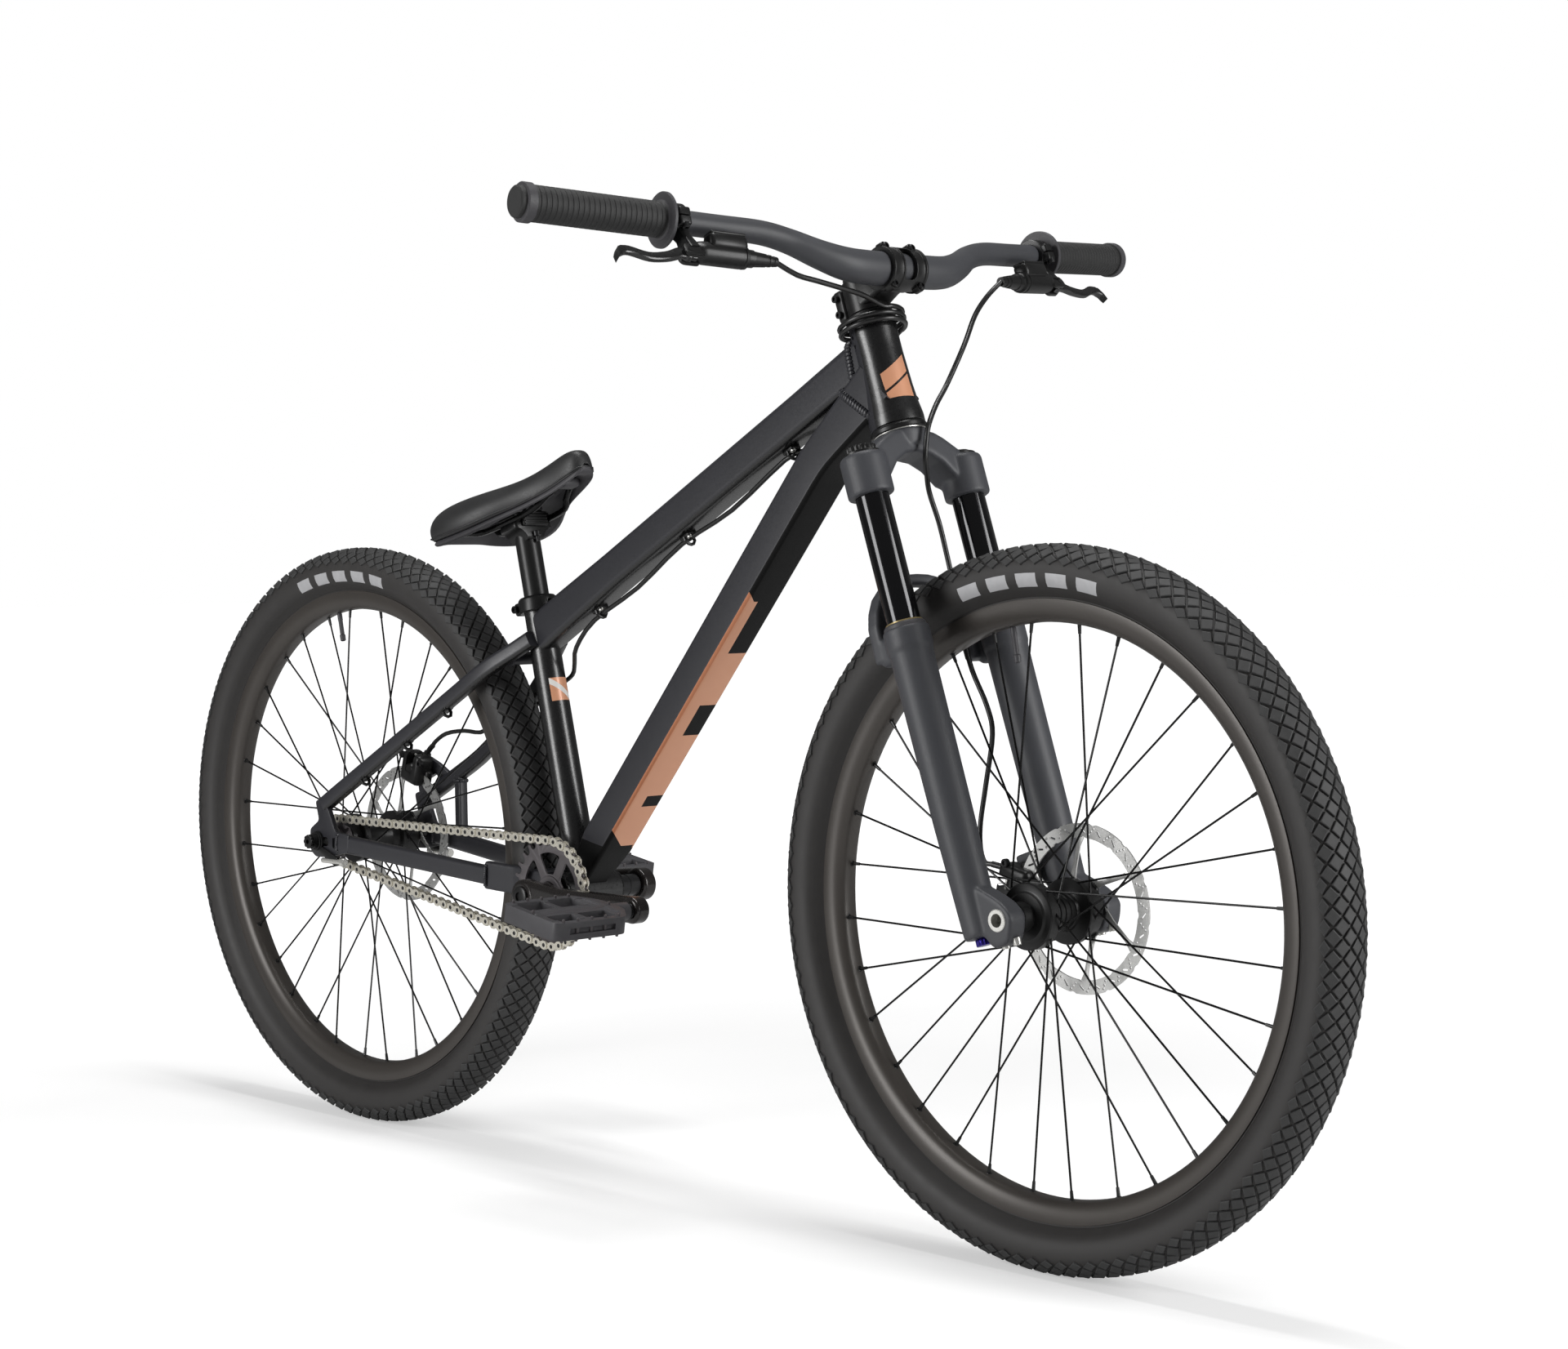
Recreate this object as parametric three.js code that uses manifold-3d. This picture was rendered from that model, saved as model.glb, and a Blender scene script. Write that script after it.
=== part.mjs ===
// Dirt jump bike: a rigid steel frame with a short travel fork, single speed drive and disc brakes.
// Millimetres. +X points forward, +Y to the rider's left, +Z up; the origin is on the ground
// midway between the two tyre contact points.
import * as THREE from "three";
import { mergeVertices } from "three/addons/utils/BufferGeometryUtils.js";
import Module from "manifold-3d";

const wasm = await Module();
wasm.setup();

// Overall layout
const wheelbase = 1060;
const tyreRadius = 335;
const tyreWidth = 57;
const headAngle = THREE.MathUtils.degToRad(70.5);
const seatAngle = THREE.MathUtils.degToRad(76.7);
const forkOffset = 38;
const bracketTyreRoom = 57;
const chainstayLength = tyreRadius + bracketTyreRoom;
const bracketDrop = 32;
const clearance = 0.3;
const cutOverrun = 5;
const mergeTolerance = 1e-4;

// Facets of round forms
const wheelSegments = 32;
const roundSegments = 12;
const smallSegments = 8;
const hoseSides = 8;
const loopedHoseSides = 6;

// Wheels
const tyreHeight = 49;
const rimHookHeight = 6.5;
const rimDepth = 15;
const rimOuterRadius = tyreRadius - tyreHeight;
const rimBedRadius = rimOuterRadius - rimHookHeight;
const rimInnerRadius = rimBedRadius - rimDepth;
const rimWidth = 30;
const rimFlange = 2.4;
const rimFootWidth = 17;
const spokeCount = 32;
const spokeRadius = 1.1;
const spokeStagger = 2.6;
const spokeHoleInset = 4;
const spokeRimSpread = 2.5;
const spokeCrossing = THREE.MathUtils.degToRad(58);
const rotorRadius = 80;
const rotorTrack = 15;
const rotorThickness = 2;
const rotorHubRadius = 28;
const rotorWaves = 12;
const rotorWaveDepth = 1.4;
const rotorWindows = 6;
const rotorArmWidth = 9;
const rotorBoltRadius = 3.6;
const rotorBoreShare = 0.6;
const rotorBoltShare = 0.8;
const boltHeadShare = 1.5;

// Front hub and axle
const frontHubWidth = 110;
const frontAxleRadius = 10;
const frontAxleBore = 7.5;
const frontAxleOverhang = 23.5;
const frontHubCapRadius = 14.5;
const frontHubBodyRadius = 17;
const frontFlangeRadius = 31;
const frontFlangeRight = 30;
const frontFlangeLeft = 20;
const frontRotorOffset = 40;
const flangeThickness = 4;
const rotorSeatRadius = 27;

// Rear hub, driver and axle
const rearHubWidth = 135;
const rearAxleRadius = 5;
const rearAxleReach = 88.5;
const rearFlangeRadius = 28;
const rearFlangeRight = 22;
const rearFlangeLeft = 32;
const rearHubBodyRadius = 15;
const rearHubCapRadius = 11;
const rearRotorOffset = 52;
const driverInnerFace = 36;
const driverRadius = 15.5;
const axleNutRadius = 10.5;
const axleNutLength = 9;
const axleNutOuterShare = 0.6;
const axleWasherThickness = 1.6;
const axleKnobRadius = 8;
const axleKnobNotches = 6;
const axleKnobNotchShare = 0.82;

// Chain, sprocket and cog
const chainLine = 47;
const chainPitch = 12.7;
const sprocketTeeth = 28;
const cogTeeth = 12;
const rollerRadius = 3.7;
const toothHeight = 4;
const toothClearance = 0.8;
const sprocketThickness = 2.4;
const plateHeight = 8.8;
const plateThickness = 1.1;
const chainInnerHalf = 1.9;
const sprocketWindows = 6;
const sprocketRingWidth = 9;
const sprocketSpokeWidth = 11;
const sprocketHubRadius = 21;

// Bottom bracket, cranks and pedals
const bracketRadius = 21;
const bracketHalf = 36.5;
const bracketBore = 17.5;
const spindleRadius = 9.5;
const spindleHalf = 80;
const bearingFlange = 2.5;
const bearingDepth = 14;
const crankLength = 175;
const crankInnerFace = 57;
const crankThickness = 18;
const crankOffsetOut = 13;
const crankRootHalf = 18;
const crankEyeHalf = 14;
const crankWaistHalf = 12.5;
const crankCapRadius = 13;
const crankCapHeight = 3;
const crankWaistShare = 0.3;
const crankLinkShare = 0.94;
const capShare = 0.8;
const pedalAxleRadius = 6;
const pedalLength = 88;
const pedalWidth = 107;
const pedalThickness = 18;
const pedalTilt = THREE.MathUtils.degToRad(9.4);
const pedalGap = 22;
const pedalRail = 9;
const pedalCollarShare = 0.85;
const pedalBarrelRadius = 9.2;
const pedalPinHeight = 3;
const pedalPinRadius = 2;

// Frame tubes
const seatTubeLength = 322;
const crownTyreRoom = 142;
const crownRaceHeight = tyreRadius + crownTyreRoom;
const lowerStack = 6.5;
const headTubeBottom = crownRaceHeight + lowerStack;
const headTubeLength = 106.5;
const headTubeTopRadius = 22.5;
const headTubeLowRadius = 26.5;
const headTubeBore = 19;
const topTubeDepth = 38;
const topTubeWidth = 36;
const topTubeJoinShare = 0.7183;
const topTubeFrontHeight = headTubeBottom + topTubeJoinShare * headTubeLength;
const seatTubeStandout = 42;
const topTubeRearHeight = seatTubeLength - seatTubeStandout;
const downTubeDepth = 38;
const downTubeWidth = 44;
const downTubeFrontDepth = 54;
const downTubeJoinShare = 0.4085;
const downTubeFrontHeight = headTubeBottom + downTubeJoinShare * headTubeLength;
const downTubeRise = 10;
const downTubeBendBack = 103.5;
const downTubeBendRise = 4.9;
const downTubeEntry = 60;
const downTubeRootShare = 0.75;
const topTubeRearDepth = 44;
const topTubeRearWidth = 31;
const topTubeTaperShare = 0.25;
const seatTubeLowRadius = 17.5;
const seatTubeTopRadius = 16;
const seatTubeBore = 14;
const seatTubeBoreDepth = 250;
const tubeFacetShare = 0.3;

// Stays and dropouts
const yokeArm = 10;
const yokeHeight = 33;
const yokeLength = 92;
const yokeBridge = 26;
const yokeRise = 11;
const yokeFront = 22;
const yokeNeck = 70;
const yokeNeckY = 37;
const chainstayHeight = 21;
const chainstayWidth = 13;
const chainstayFootForward = 35;
const seatstayHeight = 18;
const seatstayFootForward = 10;
const seatstayFootRise = 43;
const seatstayBridgeShare = 0.9;
const seatstayBridgeRadius = 7;
const discStayDrop = 22;
const seatstayWidth = 14;
const dropoutThickness = 6;
const dropoutReach = 60;
const dropoutHeight = 50;
const dropoutSlot = 36;
const braceForward = 97;
const braceWidth = 12;
const braceTopGap = 6;
const discTabThickness = 6;
const discTabSpan = 34;
const discTabRise = 2;
const stayUnder = 12;
const tugThickness = 3;
const tugRadius = 11.5;
const tugArm = 42;
const tugHeight = 20;
const tugScrewRadius = 3;

// Headset, stem and handlebar
const cupLipRadius = 24;
const lowerCupLipRadius = 27.5;
const cupDepth = 14;
const cupLip = 6.2;
const crownRaceRadius = 23;
const upperCupHeight = 7;
const steererRadius = 14.3;
const stemGap = 0.8;
const stemHeight = 34;
const stemReach = 47;
const stemRise = 8;
const stemClampRadius = 19.5;
const stemBodyWidth = 34;
const stemBodyHeight = 26;
const stemSlit = 3;
const stemBoltRadius = 3.5;
const faceplateGap = 2.4;
const stemEarLength = 16;
const stemEarWidth = 22;
const barClampHalf = 23;
const barClampWall = 4.6;
const faceplateWindowHalf = 8;
const topCapHeight = 5;
const topCapRadius = 17;
const barHalfWidth = 398.5;
const barCentreRadius = 15.9;
const barClampOuter = barCentreRadius + clearance + barClampWall;
const barEndRadius = 11.1;
const barCentreHalf = 42;
const barBendShare = 0.3764;
const barBendHalf = barHalfWidth * barBendShare;
const barRise = 34;
const barBackset = 17.5;
const barTipRise = 60;
const barTipBackset = 53;
const gripLength = 134;
const gripRadius = 16;
const gripFlangeRadius = 25;
const gripFlangeThickness = 4;
const gripEndRadius = 17.5;
const gripEndLength = 9;
const gripPlugLength = 6;

// Brake levers
const leverGripGap = 9.5;
const leverClampWidth = 13;
const leverClampWall = 5;
const leverNeckShare = 0.4;
const leverBodyForward = 12;
const leverBodyDrop = 34;
const leverBodyLength = 78;
const leverBodyRadius = 10.5;
const reliefLength = 34;
const reliefRadius = 4.4;
const leverInwardShare = 0.8;
const hoseLeverGap = 1.6;
const leverPivotOut = 6;
const leverPivotForward = 14;
const leverPivotDrop = 38;
const leverPinRadius = 3;
const leverBladeLength = 78;
const leverBladeHeight = 12;
const leverBladeThickness = 7;
const leverTipDrop = 10;
const leverEarGap = 8;
const leverEar = 4;

// Fork
const legSpacing = 130;
const legOffset = 6;
const stanchionRadius = 16;
const stanchionOverlap = 135;
const bossRadius = 22;
const bossDrop = 24;
const bossHeight = 40;
const bossTop = crownRaceHeight - bossDrop;
const bossBottom = bossTop - bossHeight;
const legCapRadius = 15;
const legCapHeight = 7;
const crownHalfDepth = 18;
const collarRadius = 22;
const collarLength = 18;
const legTopRadius = 20.5;
const legMidRadius = 19.5;
const legFootRadius = 17.5;
const legBottom = -9;
const legBore = 16.7;
const legBoreFloor = 48;
const lugRadius = 17.5;
const lugInnerHalf = 55.3;
const lugThickness = 22;
const pinchSlit = 1.6;
const archBack = 28;
const archTyreRoom = 13;
const archTop = tyreRadius + archTyreRoom;
const archHalfDepth = 8;
const archHeight = 86;
const archFoot = archTop - archHeight;
const lowerStandout = 23;
const lowerTop = archFoot + lowerStandout;
const archPadShare = 0.4;
const guideClipDrop = 72;
const guideClipHeight = lowerTop - guideClipDrop;
const guideClipSize = 8;
const knobRadius = 8.5;
const knobHeight = 7;
const postMountThickness = 6;

// Brake calipers
const caliperWidth = 24;
const caliperRadial = 38;
const caliperTangential = 40;
const caliperSlot = 4.2;
const caliperOverlap = 17;
const caliperFacet = 8;
const frontCaliperAngle = THREE.MathUtils.degToRad(148);
const rearCaliperAngle = THREE.MathUtils.degToRad(74);

// Seat
const clampHeight = 16;
const clampWall = 4.5;
const clampLugLength = 14;
const clampLugWidth = 18;
const clampSlit = 3;
const postRadius = 13.6;
const postInsert = 117;
const postBottom = seatTubeLength - postInsert;
const postTopDrop = 8;
const postHeadHalfWidth = 26;
const postHeadHeight = 26;
const postHeadDepth = 30;
const railRadius = 3.5;
const railSpacing = 44;
const postShown = 82;
const railHeight = seatTubeLength + postShown;
const railClampDrop = 4;
const railClampThickness = 7;
const railStraightHalf = 38;
const railBendShare = 0.5;
const saddleTilt = THREE.MathUtils.degToRad(15.5);
const saddleFront = 118;
const saddleRear = 112;
const saddleHalfWidth = 68;
const saddleTop = 45;
const saddleBaseThickness = 3;
const cushionDepth = 14;
const baseWidthShare = 0.64;
const railRise = 5;
const railRearX = -88;
const railRearY = 29;
const railRearRise = 23;
const railNoseX = 78;
const railNoseY = 8;
const railNoseRise = 22.5;

// Hoses
const hoseRadius = 2.5;
const hoseStep = 18;
const guideSize = 11;
const guideLength = 12;
const guideHeight = 15.4;
const guideLift = 3.7;
const loopRadius = 31;
const loopTurns = 2.305;
const loopStart = THREE.MathUtils.degToRad(-20);
const loopPitch = 6;
const loopLift = 4;
const loopSteps = 24;

// Finishes
const finish = (color, roughness, metalness) => ({ color, roughness, metalness });
const satinCharcoal = finish(0x3b3b3f, 0.5, 0.3);
const glossBlack = finish(0x0b0b0c, 0.15, 0.2);
const satinBlack = finish(0x1b1b1c, 0.5, 0.1);
const forkGrey = finish(0x55555a, 0.6, 0.2);
const rubberBlack = finish(0x242424, 0.9, 0);
const tyreBlack = finish(0x3a3a3a, 0.95, 0);
const bareSteel = finish(0xb9b9b4, 0.35, 1);
const blueAnodised = finish(0x2a2370, 0.3, 0.8);
const plasticBlack = finish(0x3b3b3e, 0.7, 0);

// Vectors and frames
const vector = (x, y, z) => new THREE.Vector3(x, y, z);
const upAxis = vector(0, 0, 1);
const acrossAxis = vector(0, 1, 0);
const rearAxleAt = vector(-wheelbase / 2, 0, tyreRadius);
const frontAxleAt = vector(wheelbase / 2, 0, tyreRadius);
const bracketForward = Math.sqrt(chainstayLength ** 2 - bracketDrop ** 2);
const bracketAt = vector(rearAxleAt.x + bracketForward, 0, tyreRadius - bracketDrop);
const steeringTilt = headAngle - Math.PI / 2;
const steeringForward = vector(Math.sin(headAngle), 0, Math.cos(headAngle));
const steeringFoot = frontAxleAt.clone().addScaledVector(steeringForward, -forkOffset);
const steeringFrame = new THREE.Matrix4()
  .makeRotationY(steeringTilt)
  .setPosition(steeringFoot);
const seatDirection = vector(-Math.cos(seatAngle), 0, Math.sin(seatAngle));
const steeringPoint = (forward, across, height) =>
  vector(forward, across, height).applyMatrix4(steeringFrame);
const seatPoint = (height, forward = 0) =>
  bracketAt
    .clone()
    .addScaledVector(seatDirection, height)
    .add(vector(forward * Math.sin(seatAngle), 0, forward * Math.cos(seatAngle)));

// Shapes: each function returns a closed geometry
function turned(profile, segments = roundSegments) {
  const points = profile.map(([height, radius]) => new THREE.Vector2(radius, height));
  return new THREE.LatheGeometry(points, segments).rotateX(Math.PI / 2);
}

function aimed(geometry, from, direction) {
  const turn = new THREE.Quaternion().setFromUnitVectors(upAxis, direction.clone().normalize());
  return geometry.applyQuaternion(turn).translate(from.x, from.y, from.z);
}

function rod(from, to, radius, segments = smallSegments, endRadius = radius) {
  const span = to.clone().sub(from);
  const length = span.length();
  const profile = [[0, 0], [0, radius], [length, endRadius], [length, 0]];
  return aimed(turned(profile, segments), from, span);
}

function acrossTurned(profile, centre, segments = roundSegments) {
  return aimed(turned(profile, segments), centre, acrossAxis);
}

function extruded(outline, thickness) {
  const shape = new THREE.Shape(outline.map(([u, v]) => new THREE.Vector2(u, v)));
  return new THREE.ExtrudeGeometry(shape, { depth: thickness, bevelEnabled: false, steps: 1 });
}

// Flat pieces: an outline seen from the side, from the top or from the front, made thick.
function plate(outline, centreY, thickness) {
  return extruded(outline, thickness)
    .rotateX(Math.PI / 2)
    .translate(0, centreY + thickness / 2, 0);
}

function slab(outline, centreZ, thickness) {
  return extruded(outline, thickness).translate(0, 0, centreZ - thickness / 2);
}

function frontPlate(outline, centreX, thickness) {
  const turn = new THREE.Matrix4().makeBasis(vector(0, 1, 0), vector(0, 0, 1), vector(1, 0, 0));
  return extruded(outline, thickness)
    .applyMatrix4(turn)
    .translate(centreX - thickness / 2, 0, 0);
}

// The same outline maker, with windows cut through.
function pierced(make, outline, centre, thickness, holes) {
  return cut(
    make(outline, centre, thickness), ...holes.map((hole) => make(hole, centre, 2 * thickness)));
}

function box(centre, sizeX, sizeY, sizeZ) {
  return new THREE.BoxGeometry(sizeX, sizeY, sizeZ).translate(centre.x, centre.y, centre.z);
}

function circle(centreX, centreZ, radius, sides) {
  return Array.from({ length: sides }, (_, i) => {
    const turn = (i / sides) * 2 * Math.PI;
    return [centreX + radius * Math.cos(turn), centreZ + radius * Math.sin(turn)];
  });
}

// A skin over rings of points, with both ends closed or joined into a loop.
function loft(rings, looped = false) {
  const count = rings[0].length;
  const positions = rings.flat().flatMap((p) => [p.x, p.y, p.z]);
  const faces = [];
  const spans = looped ? rings.length : rings.length - 1;
  for (let ring = 0; ring < spans; ring++) {
    const here = ring * count;
    const next = ((ring + 1) % rings.length) * count;
    for (let side = 0; side < count; side++) {
      const after = (side + 1) % count;
      faces.push(here + side, here + after, next + side, here + after, next + after, next + side);
    }
  }
  const last = (rings.length - 1) * count;
  for (let side = 1; side + 1 < count && !looped; side++) {
    faces.push(0, side + 1, side, last, last + side, last + side + 1);
  }
  const geometry = new THREE.BufferGeometry();
  geometry.setAttribute("position", new THREE.Float32BufferAttribute(positions, 3));
  geometry.setIndex(faces);
  return geometry;
}

// A flat-sided section with cut corners, square to the given direction.
function facetedRing(centre, direction, halfWidth, halfDepth) {
  const along = direction.clone().normalize();
  const side = acrossAxis.clone().addScaledVector(along, -along.y).normalize();
  const up = new THREE.Vector3().crossVectors(along, side);
  const cutShare = 1 - tubeFacetShare;
  const facetShares = [
    [1, cutShare], [cutShare, 1], [-cutShare, 1], [-1, cutShare],
    [-1, -cutShare], [-cutShare, -1], [cutShare, -1], [1, -cutShare],
  ];
  return facetShares.map(([w, d]) =>
    centre.clone().addScaledVector(side, w * halfWidth).addScaledVector(up, d * halfDepth));
}

function facetedTube(stations, grow = 0) {
  const rings = stations.map(({ at, width, depth }, i) => {
    const before = stations[Math.max(i - 1, 0)].at;
    const after = stations[Math.min(i + 1, stations.length - 1)].at;
    return facetedRing(at, after.clone().sub(before), width / 2 + grow, depth / 2 + grow);
  });
  return loft(rings);
}

// A round tube whose radius may change along a list of points.
function roundTube(points, radii, sides) {
  const headings = points.map((point, i) => {
    const before = points[Math.max(i - 1, 0)];
    const after = points[Math.min(i + 1, points.length - 1)];
    return after.clone().sub(before).normalize();
  });
  let side = Math.abs(headings[0].z) > 0.9 ? vector(1, 0, 0) : upAxis.clone();
  const rings = points.map((point, i) => {
    side = side.clone().addScaledVector(headings[i], -side.dot(headings[i])).normalize();
    const other = new THREE.Vector3().crossVectors(headings[i], side);
    return Array.from({ length: sides }, (_, n) => {
      const turn = (n / sides) * 2 * Math.PI;
      return point
        .clone()
        .addScaledVector(side, radii[i] * Math.cos(turn))
        .addScaledVector(other, radii[i] * Math.sin(turn));
    });
  });
  return loft(rings);
}

// Solids
function solid(geometry) {
  const bare = new THREE.BufferGeometry();
  bare.setAttribute("position", geometry.getAttribute("position"));
  bare.setIndex(geometry.getIndex());
  const merged = mergeVertices(bare, mergeTolerance);
  const kept = [];
  const source = merged.index.array;
  for (let i = 0; i < source.length; i += 3) {
    const [a, b, c] = [source[i], source[i + 1], source[i + 2]];
    if (a !== b && b !== c && a !== c) kept.push(a, b, c);
  }
  const build = (triVerts) =>
    new wasm.Manifold(
      new wasm.Mesh({
        numProp: 3,
        vertProperties: new Float32Array(merged.attributes.position.array),
        triVerts: new Uint32Array(triVerts),
      }),
    );
  const made = build(kept);
  if (made.volume() > 0) return made;
  const flipped = [];
  for (let i = 0; i < kept.length; i += 3) flipped.push(kept[i], kept[i + 2], kept[i + 1]);
  return build(flipped);
}

// A bore whose flats, not its corners, clear the shaft inside it.
const aroundShaft = (radius, facets = roundSegments) =>
  (radius + clearance) / Math.cos(Math.PI / facets);
const asSolid = (shape) => (shape.isBufferGeometry ? solid(shape) : shape);
const joined = (...shapes) => shapes.map(asSolid).reduce((a, b) => a.add(b));
const cut = (shape, ...cutters) =>
  cutters.map(asSolid).reduce((a, b) => a.subtract(b), asSolid(shape));

// A tube cut back from its neighbours: the part between them is kept.
function mitred(tube, ...neighbours) {
  const bodies = cut(tube, ...neighbours).decompose();
  return bodies.reduce((a, b) => (a.volume() > b.volume() ? a : b));
}

// Cuts along slanted faces can leave specks too small to be pieces; they are dropped.
function withoutSpecks(shape) {
  const least = (2 * clearance) ** 3;
  const kept = asSolid(shape).decompose().filter((body) => body.volume() > least);
  return wasm.Manifold.union(kept);
}

function named(name, shape, look) {
  const made = withoutSpecks(shape).getMesh();
  const geometry = new THREE.BufferGeometry();
  const positions = [];
  for (let i = 0; i < made.numVert; i++) {
    positions.push(...made.vertProperties.slice(i * made.numProp, i * made.numProp + 3));
  }
  geometry.setAttribute("position", new THREE.Float32BufferAttribute(positions, 3));
  geometry.setIndex([...made.triVerts]);
  geometry.computeVertexNormals();
  const material = new THREE.MeshStandardMaterial({ ...look, flatShading: true });
  const mesh = new THREE.Mesh(geometry, material);
  mesh.name = name;
  return mesh;
}

const bike = new THREE.Group();
const frameGroup = new THREE.Group();
const seatGroup = new THREE.Group();
const steeringGroup = new THREE.Group();
const lowersGroup = new THREE.Group();
const frontWheel = new THREE.Group();
const rearWheel = new THREE.Group();
const crankGroup = new THREE.Group();
steeringGroup.position.copy(steeringFoot);
steeringGroup.rotation.y = steeringTilt;
frontWheel.position.copy(frontAxleAt);
rearWheel.position.copy(rearAxleAt);
crankGroup.position.copy(bracketAt);
bike.add(frameGroup, seatGroup, steeringGroup, frontWheel, rearWheel, crankGroup);
steeringGroup.add(lowersGroup);
const inSteering = (geometry) => geometry.applyMatrix4(steeringFrame);
const origin = vector(0, 0, 0);
const sides = [["right", -1], ["left", 1]];

// Wheels, each in a group centred on its axle
function rimSolid() {
  const half = rimWidth / 2;
  const bed = half - rimFlange;
  const foot = rimFootWidth / 2;
  const profile = [
    [-half, rimOuterRadius], [-bed, rimOuterRadius], [-bed, rimBedRadius], [bed, rimBedRadius],
    [bed, rimOuterRadius], [half, rimOuterRadius], [half, rimBedRadius - rimFlange],
    [foot, rimInnerRadius], [-foot, rimInnerRadius], [-half, rimBedRadius - rimFlange],
    [-half, rimOuterRadius],
  ];
  return acrossTurned(profile, origin, wheelSegments);
}

// Shares of the half width and of the depth from bead to crown.
const tyreOuterShares = [[0.95, 0.4], [0.97, 0.7], [0.6, 0.93], [0, 1]];
const tyreInnerShares = [[0, 0.92], [0.74, 0.5]];
const beadInnerShare = 0.3;

function tyreSolid() {
  const seat = rimBedRadius + clearance;
  const depth = tyreRadius - seat;
  const beadOuter = rimWidth / 2 - rimFlange - clearance;
  const beadTop = rimOuterRadius + 2 * clearance;
  const at = ([w, d]) => [(w * tyreWidth) / 2, seat + d * depth];
  const beadInner = (beadInnerShare * tyreWidth) / 2;
  const outer = [[beadOuter, seat], [beadOuter, beadTop], ...tyreOuterShares.map(at)];
  const inner = [...tyreInnerShares.map(at), [beadInner, seat]];
  const mirror = (list) => list.map(([w, r]) => [-w, r]).reverse();
  const right = mirror(outer.slice(0, -1));
  const innerLeft = mirror(inner.slice(1));
  const profile = [...outer, ...right, ...innerLeft, ...inner, outer[0]];
  return acrossTurned(profile, origin, wheelSegments);
}

function spokes(rightFlange, leftFlange, flangeRadius) {
  const holeRadius = flangeRadius - spokeHoleInset;
  const rimReach = rimInnerRadius * Math.cos(Math.PI / wheelSegments) - 2 * clearance;
  const perSide = spokeCount / 2;
  const made = [];
  for (let i = 0; i < spokeCount; i++) {
    const side = i % 2 ? 1 : -1;
    const flange = side < 0 ? rightFlange : leftFlange;
    const leads = Math.floor(i / 2) % 2 ? 1 : -1;
    const rimTurn = ((i + 0.5) / spokeCount) * 2 * Math.PI;
    const hubTurn = rimTurn - leads * spokeCrossing;
    const y = side * flange + leads * spokeStagger;
    const from = vector(holeRadius * Math.cos(hubTurn), y, holeRadius * Math.sin(hubTurn));
    const to = vector(
      rimReach * Math.cos(rimTurn), side * spokeRimSpread, rimReach * Math.sin(rimTurn));
    made.push(rod(from, to, spokeRadius, 3));
  }
  return joined(...made.slice(0, perSide), ...made.slice(perSide));
}

function frontHubSolid() {
  const end = frontHubWidth / 2;
  const coverIn = frontFlangeRight - flangeThickness;
  const coverOut = frontFlangeRight + 2 * flangeThickness;
  const leftIn = frontFlangeLeft - flangeThickness;
  const leftOut = frontFlangeLeft + flangeThickness;
  const seat = frontRotorOffset - rotorThickness / 2 - clearance;
  const neck = rotorHubRadius * rotorBoreShare;
  const profile = [
    [-end, aroundShaft(frontAxleRadius)], [-end, frontHubCapRadius],
    [-coverOut, frontHubCapRadius], [-coverOut, frontFlangeRadius], [-coverIn, frontFlangeRadius],
    [-coverIn, frontHubBodyRadius], [leftIn, frontHubBodyRadius], [leftIn, frontFlangeRadius],
    [leftOut, frontFlangeRadius], [leftOut, rotorSeatRadius], [seat, rotorSeatRadius],
    [seat, neck], [frontRotorOffset + rotorThickness, neck],
    [frontRotorOffset + rotorThickness, frontHubCapRadius], [end, frontHubCapRadius],
    [end, aroundShaft(frontAxleRadius)], [-end, aroundShaft(frontAxleRadius)],
  ];
  const body = acrossTurned(profile, origin);
  return joined(body, spokes(frontFlangeRight, frontFlangeLeft, frontFlangeRadius));
}

function rearHubSolid() {
  const rightEnd = driverInnerFace - 2 * clearance;
  const leftEnd = rearHubWidth / 2 - axleNutLength;
  const rightIn = rearFlangeRight - flangeThickness;
  const rightOut = rearFlangeRight + flangeThickness;
  const leftIn = rearFlangeLeft - flangeThickness;
  const leftOut = rearFlangeLeft + flangeThickness;
  const seat = rearRotorOffset - rotorThickness / 2 - clearance;
  const neck = rotorHubRadius * rotorBoreShare;
  const bore = rearAxleRadius + clearance;
  const profile = [
    [-rightEnd, bore], [-rightEnd, rearHubBodyRadius], [-rightOut, rearHubBodyRadius],
    [-rightOut, rearFlangeRadius], [-rightIn, rearFlangeRadius], [-rightIn, rearHubBodyRadius],
    [leftIn, rearHubBodyRadius], [leftIn, rearFlangeRadius], [leftOut, rearFlangeRadius],
    [leftOut, rotorSeatRadius], [seat, rotorSeatRadius], [seat, neck],
    [rearRotorOffset + rotorThickness, neck], [rearRotorOffset + rotorThickness, rearHubCapRadius],
    [leftEnd, rearHubCapRadius], [leftEnd, bore], [-rightEnd, bore],
  ];
  const body = acrossTurned(profile, origin);
  return joined(body, spokes(rearFlangeRight, rearFlangeLeft, rearFlangeRadius));
}

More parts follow.
